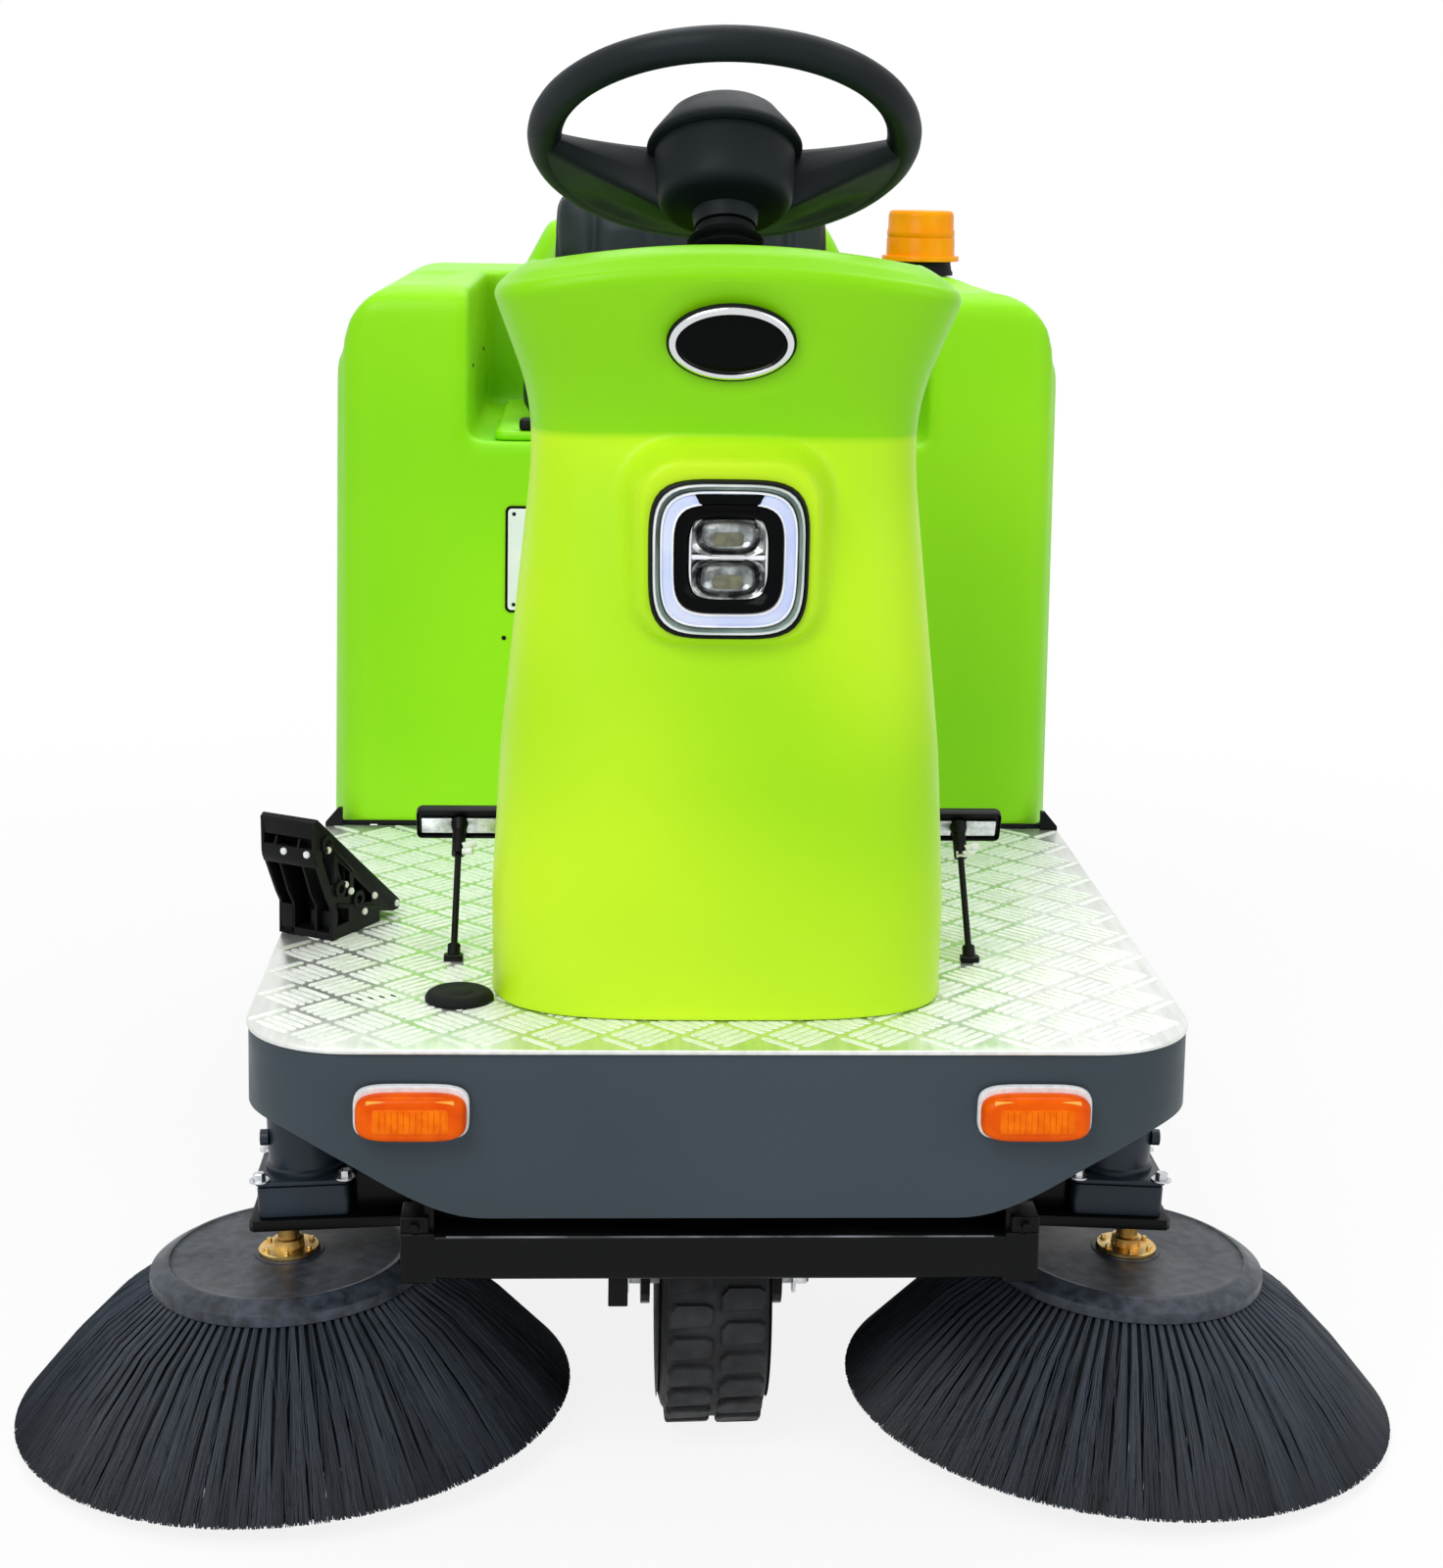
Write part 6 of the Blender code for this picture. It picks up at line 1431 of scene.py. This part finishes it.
fixings("placard_rivets", lathe([(0, 1.2), (1.4, 1), (2.2, 0), (0, 0)], 14),
        [plate_at @ Vector((x, y, 0.0017)) for x in (-0.066, 0.066) for y in (-0.048, 0.048)],
        facing("X", 90), semi_black)

# ---- Seat ---------------------------------------------------------------------------------------
# Foam under black leatherette, sewn in channels: a thick cushion bolted to the hinged lid and a low
# backrest with side bolsters. The lid is a moulded panel with a rubber catch at its front.


def hide(tree, place):
    """The pattern of embossed hide, 1.6 mm from crease to crease."""
    return add(tree, "ShaderNodeTexVoronoi", {"Vector": place, "Scale": 1 / 0.0016},
               feature="DISTANCE_TO_EDGE").outputs["Distance"]


# Blue-black cloth-backed vinyl, with a soft gloss that wears unevenly.
leatherette = finish("black_pvc_leatherette", "#1e262a", 0.46, cloud=(0.10, "#1b2327", "#272f34", 2.0),
                     shine=(0.030, 0.40, 0.54), grain=(hide, 0.0004), Specular_IOR_Level=0.22,
                     Sheen_Weight=0.04, Sheen_Roughness=0.4)

lid_low, lid_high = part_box("seat_lid")
lid = squared(lid_high.x - lid_low.x, lid_high.y - lid_low.y, lid_low.z, lid_high.z, 0,
              (lid_low.y + lid_high.y) / 2, 0.012, 0.0035)
shown("lid_panel", lid, lime_body, "seat_lid", replaces=["seat_lid"], slot="lime_moulding", smooth=50)
catch = squared(0.022, 0.030, lid_high.z + 0.0003, lid_high.z + 0.012, -0.178, lid_low.y + 0.018, 0.006,
                0.003)
shown("lid_catch", catch, dull_black, "seat_lid", slot="boot_rubber", smooth=50)


CLOTH_FRAMES = 20


def points_of(mesh):
    """A mesh's points, one to a row."""
    flat = np.empty(len(mesh.vertices) * 3)
    mesh.vertices.foreach_get("co", flat)
    return flat.reshape(-1, 3)


def stuffed(low, high, round_by, most):
    """A rounded block's mesh, and its points blown up as stuffed cloth, each moved this far at most."""
    pad = tool(block(low, high, round_by, 4))
    voxels = pad.modifiers.new("voxels", "REMESH")
    voxels.mode = "VOXEL"
    voxels.voxel_size = 0.0055
    pad.data = evaluated(pad)
    pad.modifiers.clear()
    rest = points_of(pad.data)
    grown = rest
    cloth = pad.modifiers.new("cloth", "CLOTH")
    cloth.settings.quality = 5
    cloth.settings.mass = 0.4
    cloth.settings.tension_stiffness = 12
    cloth.settings.compression_stiffness = 12
    cloth.settings.bending_stiffness = 1.0
    cloth.settings.use_pressure = True
    cloth.settings.uniform_pressure_force = 4.0
    cloth.settings.effector_weights.gravity = 0
    cloth.point_cache.frame_start = 1
    cloth.point_cache.frame_end = CLOTH_FRAMES
    for frame_number in range(1, CLOTH_FRAMES + 1):
        bpy.context.scene.frame_set(frame_number)
    grown = points_of(pad.evaluated_get(bpy.context.evaluated_depsgraph_get()).to_mesh())
    pad.modifiers.clear()
    bpy.context.scene.frame_set(1)
    shift = grown - rest
    far = np.linalg.norm(shift, axis=1, keepdims=True)
    settled = rest + shift * np.minimum(1, most / np.maximum(far, 1e-9))
    mesh = pad.data
    bpy.data.objects.remove(pad)
    return mesh, settled


def groove(distance, width, depth):
    """How deep a sewn channel pulls the cover in at this distance from its seam."""
    return depth * np.exp(-(distance / width) ** 2)


def outward_from(a, b):
    """The unit vectors that point away from the middle, one to a row."""
    away = np.stack([a, b], axis=1)
    return away / np.maximum(np.linalg.norm(away, axis=1, keepdims=True), 1e-6)


def covered(name, mesh, points, replaces):
    """Give a stuffed mesh its points, one level of subdivision and its cover."""
    mesh.vertices.foreach_set("co", points.astype(np.float32).ravel())
    mesh.update()
    pad = tool(mesh)
    finer = pad.modifiers.new("finer", "SUBSURF")
    finer.levels = finer.render_levels = 1
    fine = evaluated(pad)
    bpy.data.objects.remove(pad)
    made = shown(name, fine, leatherette, "seat_lid", replaces=[replaces], slot="leatherette", smooth=0)
    fine.shade_smooth()


cushion_low, cushion_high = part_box("seat_cushion")
mesh, points = stuffed((cushion_low.x + 0.008, cushion_low.y + 0.008, cushion_low.z + 0.001),
                       (cushion_high.x - 0.008, cushion_high.y - 0.008, cushion_high.z - 0.010), 0.020,
                       0.024)
x, y, z = points.T
middle_y = (cushion_low.y + cushion_high.y) / 2
upper = np.clip((z - cushion_low.z - 0.040) / 0.020, 0, 1)
inset = np.clip((0.135 - abs(y - middle_y)) / 0.015, 0, 1)
for seam in (-0.115, -0.0575, 0.0, 0.0575, 0.115):
    z = z - groove(x - seam, 0.0045, 0.0070) * upper * inset
inner = np.clip((0.128 - abs(x)) / 0.010, 0, 1)
z = z - groove(abs(y - middle_y) - 0.095, 0.0040, 0.0050) * upper * inner
z = z - groove(abs(x) - 0.1300, 0.0050, 0.0080) * upper * np.clip((0.142 - abs(y - middle_y)) / 0.02, 0, 1)
piping = groove(z - (cushion_low.z + 0.012), 0.0030, 0.0035)
outward = outward_from(x, y - middle_y)
x, y = x - outward[:, 0] * piping, y - outward[:, 1] * piping
points = np.stack([np.clip(x, cushion_low.x - 0.006, cushion_high.x + 0.006),
                   np.clip(y, cushion_low.y - 0.006, cushion_high.y + 0.004),
                   np.clip(z, cushion_low.z + 0.0005, cushion_high.z + 0.004)], axis=1)
covered("seat_cushion_cover", mesh, points, "seat_cushion")

back_low, back_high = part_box("seat_backrest")
mesh, points = stuffed((back_low.x + 0.007, back_low.y + 0.010, back_low.z + 0.007),
                       (back_high.x - 0.007, back_high.y - 0.006, back_high.z - 0.007), 0.022, 0.022)
x, y, z = points.T
ahead = np.clip(((back_low.y + back_high.y) / 2 - y) / 0.012, 0, 1)
tall = np.clip((back_high.z - 0.018 - z) / 0.010, 0, 1)
for seam, deep in ((0.1130, 0.0120), (0.0515, 0.0085)):
    y = y + groove(abs(x) - seam, 0.0050, deep) * ahead * tall
y = y + groove(z - 1.030, 0.0035, 0.0060) * ahead * np.clip((0.108 - abs(x)) / 0.008, 0, 1)
for middle, half in ((0.081, 0.019), (0.0, 0.041)):    # embossed pads between the channels
    pad = np.clip((half - abs(abs(x) - middle)) / 0.004, 0, 1) * np.clip((1.018 - z) / 0.004, 0, 1)
    y = y - 0.0050 * pad * ahead
edge_seam = groove(y - (back_low.y + 0.030), 0.0026, 0.0028)
outward = outward_from(x / 0.167, (z - (back_low.z + back_high.z) / 2) / 0.088)
x, z = x - outward[:, 0] * edge_seam, z - outward[:, 1] * edge_seam
points = np.stack([np.clip(x, back_low.x - 0.004, back_high.x + 0.004),
                   np.clip(y, back_low.y - 0.006, back_high.y + 0.004),
                   np.clip(z, back_low.z + 0.0005, back_high.z + 0.004)], axis=1)
covered("seat_backrest_cover", mesh, points, "seat_backrest")

# ---- Beacon and tail lamps ----------------------------------------------------------------------
# An amber polycarbonate beacon in a stepped drum on a black foot, screwed to the left pod, and two
# red lamps with domed lenses at the back of the body.

# Bright amber plastic, evenly lit through.
beacon_amber = finish("amber_polycarbonate", "#ff9a00", 0.22, cloud=(0.05, "#fa9000", "#ffa408"),
                      Specular_IOR_Level=0.08)
beacon_drum = lathe([(0, 0), (47, 0), (47, 5.2), (46.2, 6.2), (42, 6.6), (41.6, 8), (41.4, 27),
                     (40.8, 28.2), (40.2, 28.6), (40.8, 29.2), (41.2, 30.2), (41, 37), (40, 38), (39.8, 54),
                     (39.4, 56.2), (38.4, 59), (36.6, 60.6), (32, 61), (0, 61.2)], 128)
beacon_foot = lathe([(0, 0), (40, 0), (40, 4), (38.5, 6), (37, 15), (38, 16.8), (0, 16.8)])
for name, shape, material, stands_for, slot in (
        ("beacon_drum", beacon_drum, beacon_amber, "beacon_lens", "amber_lens"),
        ("beacon_foot", beacon_foot, dull_black, "beacon_base", "black_plastic")):
    low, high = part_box(stands_for)
    lay = at((low.x + high.x) / 2, (low.y + high.y) / 2, low.z)
    shown(name, placed(shape, lay), material, replaces=[stands_for], slot=slot, smooth=45)
BACKWARDS = Matrix.Rotation(-pi / 2, 4, "X")
# Dark red, slightly see-through lens.
red_acrylic = finish("red_acrylic", "#b3120e", 0.15, cloud=(0.02, "#a50d0a", "#c4201a"),
                     Transmission_Weight=0.2, IOR=1.49)
for side_name, side in (("left", 1), ("right", -1)):
    tail = squares([(100, 50, 0), (100, 50, 13), (98, 48, 16.5), (93, 43, 18.8), (80, 32, 19.7),
                    (50, 15, 20)], 6)
    placed(tail, at(side * 0.270, behind(BODY_REAR + 0.0003), 0.760) @ BACKWARDS)
    shown("tail_lens_" + side_name, tail, red_acrylic, replaces=["tail_lamp_" + side_name], slot="red_lens",
          smooth=50)

# ---- Body vents, charging cap and foot seal -----------------------------------------------------
# Two louvred ABS grilles are clipped into the flanks to cool the motors, a sprung cap covers the
# charging socket at the back, and a rubber strip seals the cover's front foot to the platform.
for side_name, side in (("left", 1), ("right", -1)):
    face = at(side * 0.3815, behind(1.250), 0.560) @ Matrix.Rotation(side * pi / 2, 4, "Z") @ ACROSS
    grille = squares([(170, 96, -6), (170, 96, 1), (166, 92, 2.2), (150, 76, 1.8), (150, 76, -6)], 9,
                     "joined")
    for i in range(7):
        slat = prism([(-0.0052, -0.0040), (-0.0040, -0.0052), (0.0040, 0.0010), (0.0028, 0.0016)], -0.077,
                     0.077)
        joined(placed(slat, at(0, -0.0315 + 0.0105 * i, 0) @ Matrix.Rotation(pi / 2, 4, "Y")), grille)
    squared(0.156, 0.082, -0.0066, -0.0054, 0, 0, 0.004, 0.0003, grille)
    shown("vent_grille_" + side_name, placed(grille, face), dull_black, slot="black_plastic", smooth=30)
    clips = [face @ Vector((x, y, 0.0020)) for x in (-0.0790, 0.0790) for y in (-0.0420, 0.0420)]
    fixings("vent_screws_" + side_name, stud(2.4, 0.9), clips, face.to_3x3(), bright_zinc)
cap = lathe([(0, 8.5), (19, 8), (21.5, 6), (22.2, 3), (27, 2.6), (28, 1.4), (28, 0), (0, 0)])
squared(0.016, 0.012, 0.0, 0.0098, 0, 0.026, 0.003, 0.0012, cap)
shown("charging_cap", placed(cap, at(-0.230, behind(BODY_REAR + 0.0002), 0.640) @ BACKWARDS), dull_black,
      slot="black_plastic")
shown("foot_seal", beam((-0.372, 0.7180, 0.3906), (0.372, 0.7207, 0.3950), 0.0010), dull_black,
      slot="boot_rubber")
gussets = bmesh.new()
for side in (-1, 1):
    outline = [(side * x, deck_high.z + z) for x, z in (
        (0.3715, 0), (0.3895, 0), (0.3895, 0.004), (0.3760, 0.020), (0.3715, 0.020))]
    joined(placed(prism(outline[::side], 0, 0.006), at(0, behind(0.7175), 0) @ ACROSS), gussets)
shown("platform_gussets", gussets, semi_black, slot="black_paint")

# ---- Underframe, steering head and axles --------------------------------------------------------
# Welded steel, enamelled black under the platform and slate at the back, with turned steel pins for
# the fork's axle, the rear stub axles and the steering column.


def painted(material, *names):
    """Give CAD nodes that stay as they are this finish."""
    for name in names:
        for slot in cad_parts[name].material_slots:
            slot.material = material


painted(semi_black, "platform_frame", "steering_head", "steering_fork")
painted(bare_steel, "front_axle", "stub_axle_left", "stub_axle_right", "steering_column")
painted(slate, "side_plate_left", "side_plate_right", "rear_frame")
for label, side in (("right", -1), ("left", 1)):
    fixings("front_axle_nut_" + label, hexagon_bolt(0.019), [(side * 0.0718, behind(0.182), 0.125)],
            facing("Y", side * 90), bright_zinc, "front_fork")

# ---- Skirts -------------------------------------------------------------------------------------
# Folded 3 mm sheet steel in slate powder coat, one on each side, hung on the frame by a row of
# bolts, with rubber edging round the wheel's arch.
painted(slate, "side_skirt_left", "side_skirt_right")
ARCH_FROM = 180 / pi * atan2(0.195 - 0.145, sqrt(0.163 ** 2 - 0.050 ** 2))      # degrees above level
for side_name, side in (("left", 1), ("right", -1)):
    points = arc((behind(1.130), 0.145), 0.163, ARCH_FROM, 180 - ARCH_FROM, 40)
    arch = [(side * 0.3766, y, z) for y, z in points]
    shown("arch_edging_" + side_name, sweep(arch, 0.0030, 10), dull_black, slot="boot_rubber")
    for name, fixing, z, distances in (
            ("bolts", hexagon_bolt(0.009), 0.374, (0.76, 0.92, 1.08, 1.24, 1.40)),
            ("screws", stud(3.5, 1.4), 0.212, (0.76, 0.92, 1.40))):
        fixings(f"skirt_{name}_{side_name}", fixing, [(side * 0.3781, behind(d), z) for d in distances],
                facing("Y", side * 90), bright_zinc)

# ---- Battery ------------------------------------------------------------------------------------
# Four 12 V blocks in moulded polypropylene cases stand side by side under the seat lid, linked by
# thick black leads, with red boots over the terminals and screwed vent plugs.
battery_low, battery_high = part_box("battery_pack")
# Dark grey moulded case.
battery_case = finish("grey_polypropylene_case", "#2b2e31", 0.50, cloud=(0.05, "#27292c", "#323539"))
# Soft red caps.
red_pvc = finish("red_pvc_boot", "#a81c16", 0.45, cloud=(0.01, "#98170f", "#b5261f"))
cells, leads, boots, plugs = bmesh.new(), bmesh.new(), [], []
CELL_LONG = battery_high.y - battery_low.y
WALLS_TOP, LID_TOP = battery_high.z - 0.030, battery_high.z - 0.014
wide = (battery_high.x - battery_low.x) / 4
middle_y = (battery_low.y + battery_high.y) / 2
for i in range(4):
    x = battery_low.x + wide * (i + 0.5)
    squared(wide - 0.004, CELL_LONG - 0.004, battery_low.z, WALLS_TOP, x, middle_y, 0.008, 0.002, cells)
    squared(wide - 0.008, CELL_LONG - 0.010, WALLS_TOP, LID_TOP, x, middle_y, 0.008, 0.003, cells)
    boots += [(x, middle_y + y, LID_TOP) for y in (-0.120, 0.120)]
    plugs += [(x, middle_y + y, LID_TOP) for y in (-0.075, -0.045, -0.015, 0.015, 0.045, 0.075)]
    if i < 3:
        end = 1 if i % 2 else -1
        sweep([(x, middle_y + end * 0.120, LID_TOP + 0.005),
               (x + wide * 0.5, middle_y + end * 0.112, LID_TOP + 0.009),
               (x + wide, middle_y + end * 0.120, LID_TOP + 0.005)], 0.0045, 12, leads)
shown("battery_blocks", cells, battery_case, replaces=["battery_pack"], slot="battery_case")
shown("battery_leads", leads, dull_black, slot="boot_rubber")
fixings("battery_boots", lathe([(0, 14), (6, 13), (9, 8), (10, 0), (0, 0)], 16), boots, UPRIGHT, red_pvc,
        slot="red_lens")
fixings("battery_plugs", lathe([(0, 6), (7, 5.5), (8.8, 3.5), (9, 0), (0, 0)], 18), plugs, UPRIGHT,
        dull_black, slot="battery_case")

# ---- Rear bumper --------------------------------------------------------------------------------
# A folded steel bar with a ribbed rubber strip along its face, bolted to the frame above the hopper.
shown("bumper_bar", beam((-0.360, 1.442, 0.345), (0.360, 1.484, 0.425), 0.014), semi_black,
      replaces=["rear_bumper"], slot="black_plastic", smooth=50)
strip = beam((-0.340, 1.480, 0.362), (0.340, 1.492, 0.408), 0.005)
for z in (0.3745, 0.385, 0.3955):
    beam((-0.334, 1.488, z - 0.0026), (0.334, 1.494, z + 0.0026), 0.0022, strip)
shown("bumper_strip", strip, dull_black, slot="boot_rubber", smooth=50)

# ---- Hopper -------------------------------------------------------------------------------------
# A folded sheet steel drawer under the body that catches the sweepings. Its back has a welded
# flange held by eight bolts and a bent bar handle.
painted(slate, "hopper")
flange = bmesh.new()
for half, foot, top in ((0.286, 0.0585, 0.0765), (0.286, 0.3160, 0.3340), (0.200, 0.1180, 0.1240),
                        (0.200, 0.2700, 0.2760)):
    beam((-half, 1.4522, foot), (half, 1.4558, top), 0.0012, flange)
for side in (-1, 1):
    beam((side * 0.268, 1.4522, 0.0585), (side * 0.286, 1.4558, 0.3340), 0.0012, flange)
shown("hopper_flange", flange, slate, "hopper", slot="slate_paint")
spots = [(x, behind(1.4558), z) for x in (-0.277, -0.150, 0.150, 0.277) for z in (0.0675, 0.3250)]
fixings("hopper_bolts", hexagon_bolt(0.008), spots, facing("X", -90), bright_zinc, "hopper")
HANDLE_Z = 0.200
bend = [(-0.090, 1.4560), (-0.090, 1.4690), (-0.0885, 1.4755), (-0.084, 1.4800), (-0.0775, 1.4815)]
bar = sweep([(x, behind(d), HANDLE_Z) for x, d in bend + [(-x, d) for x, d in reversed(bend)]], 0.0060, 16)
for side in (-1, 1):
    plate = squared(0.030, 0.024, 0, 0.0030, 0, 0, 0.004, 0.001)
    joined(placed(plate, at(side * 0.090, behind(1.4556), HANDLE_Z) @ BACKWARDS), bar)
shown("hopper_pull", bar, semi_black, "hopper", replaces=["hopper_handle"], slot="black_plastic")

# ---- Main brush, its hood and the front flap ----------------------------------------------------
# A roller between the side plates, with sixteen spiral rows of polypropylene tufts on a turned core.
# A rolled steel hood covers it, and a rubber flap clamped at the front lets the litter in.
painted(slate, "brush_hood")
painted(dull_black, "front_flap")
roller_low, roller_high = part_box("main_brush")
roller_at = at(0, (roller_low.y + roller_high.y) / 2, (roller_low.z + roller_high.z) / 2)
half_core = [(0, roller_high.x), (0.0195, roller_high.x), (0.0195, roller_high.x - 0.010),
             (0.0680, roller_high.x - 0.010), (0.0700, roller_high.x - 0.014)]
core = lathe([(r, -x) for r, x in half_core] + half_core[::-1], 64, 1)
shown("roller_core", placed(core, roller_at @ Matrix.Rotation(pi / 2, 4, "Y")), dull_black, "main_brush",
      replaces=["main_brush"], slot="brush_plastic", smooth=35)
BRUSH_ROWS, ROW_TUFTS, ROW_LENGTH = 16, 84, 0.552
CORE_RADIUS, BRUSH_RADIUS, TUFT_RADIUS = 0.0690, 0.1315, 0.0029
tuft = tool(skinned([[(x, y, z) for x, y in arc((0, 0), radius, 0, 288, 4)]
                     for radius, z in ((TUFT_RADIUS, 0), (TUFT_RADIUS * 2.2, BRUSH_RADIUS - CORE_RADIUS))]))
bristles = solve(row_tree, Piece=tuft, Pieces=BRUSH_ROWS * ROW_TUFTS, Per_Row=float(ROW_TUFTS),
                 Radius=CORE_RADIUS, Row_Turn=2 * pi / BRUSH_ROWS, Row_Step=0.0, Turn=0.0,
                 Length=ROW_LENGTH, Twist=1.1, Unrest=0.02, Seed=6, Finish=filament)
bpy.data.objects.remove(tuft)
shown("roller_bristles", placed(bristles, roller_at @ at(-ROW_LENGTH / 2, 0, 0)), filament, "main_brush",
      slot="bristle", smooth=0)
shown("flap_clamp", beam((-0.288, 0.6544, 0.084), (0.288, 0.6574, 0.102), 0.0006), slate,
      slot="slate_paint")
spots = [(x, behind(0.6499), 0.093) for x in (-0.26, -0.13, 0.0, 0.13, 0.26)]
fixings("flap_bolts", hexagon_bolt(0.008), spots, facing("X", 90), bright_zinc)
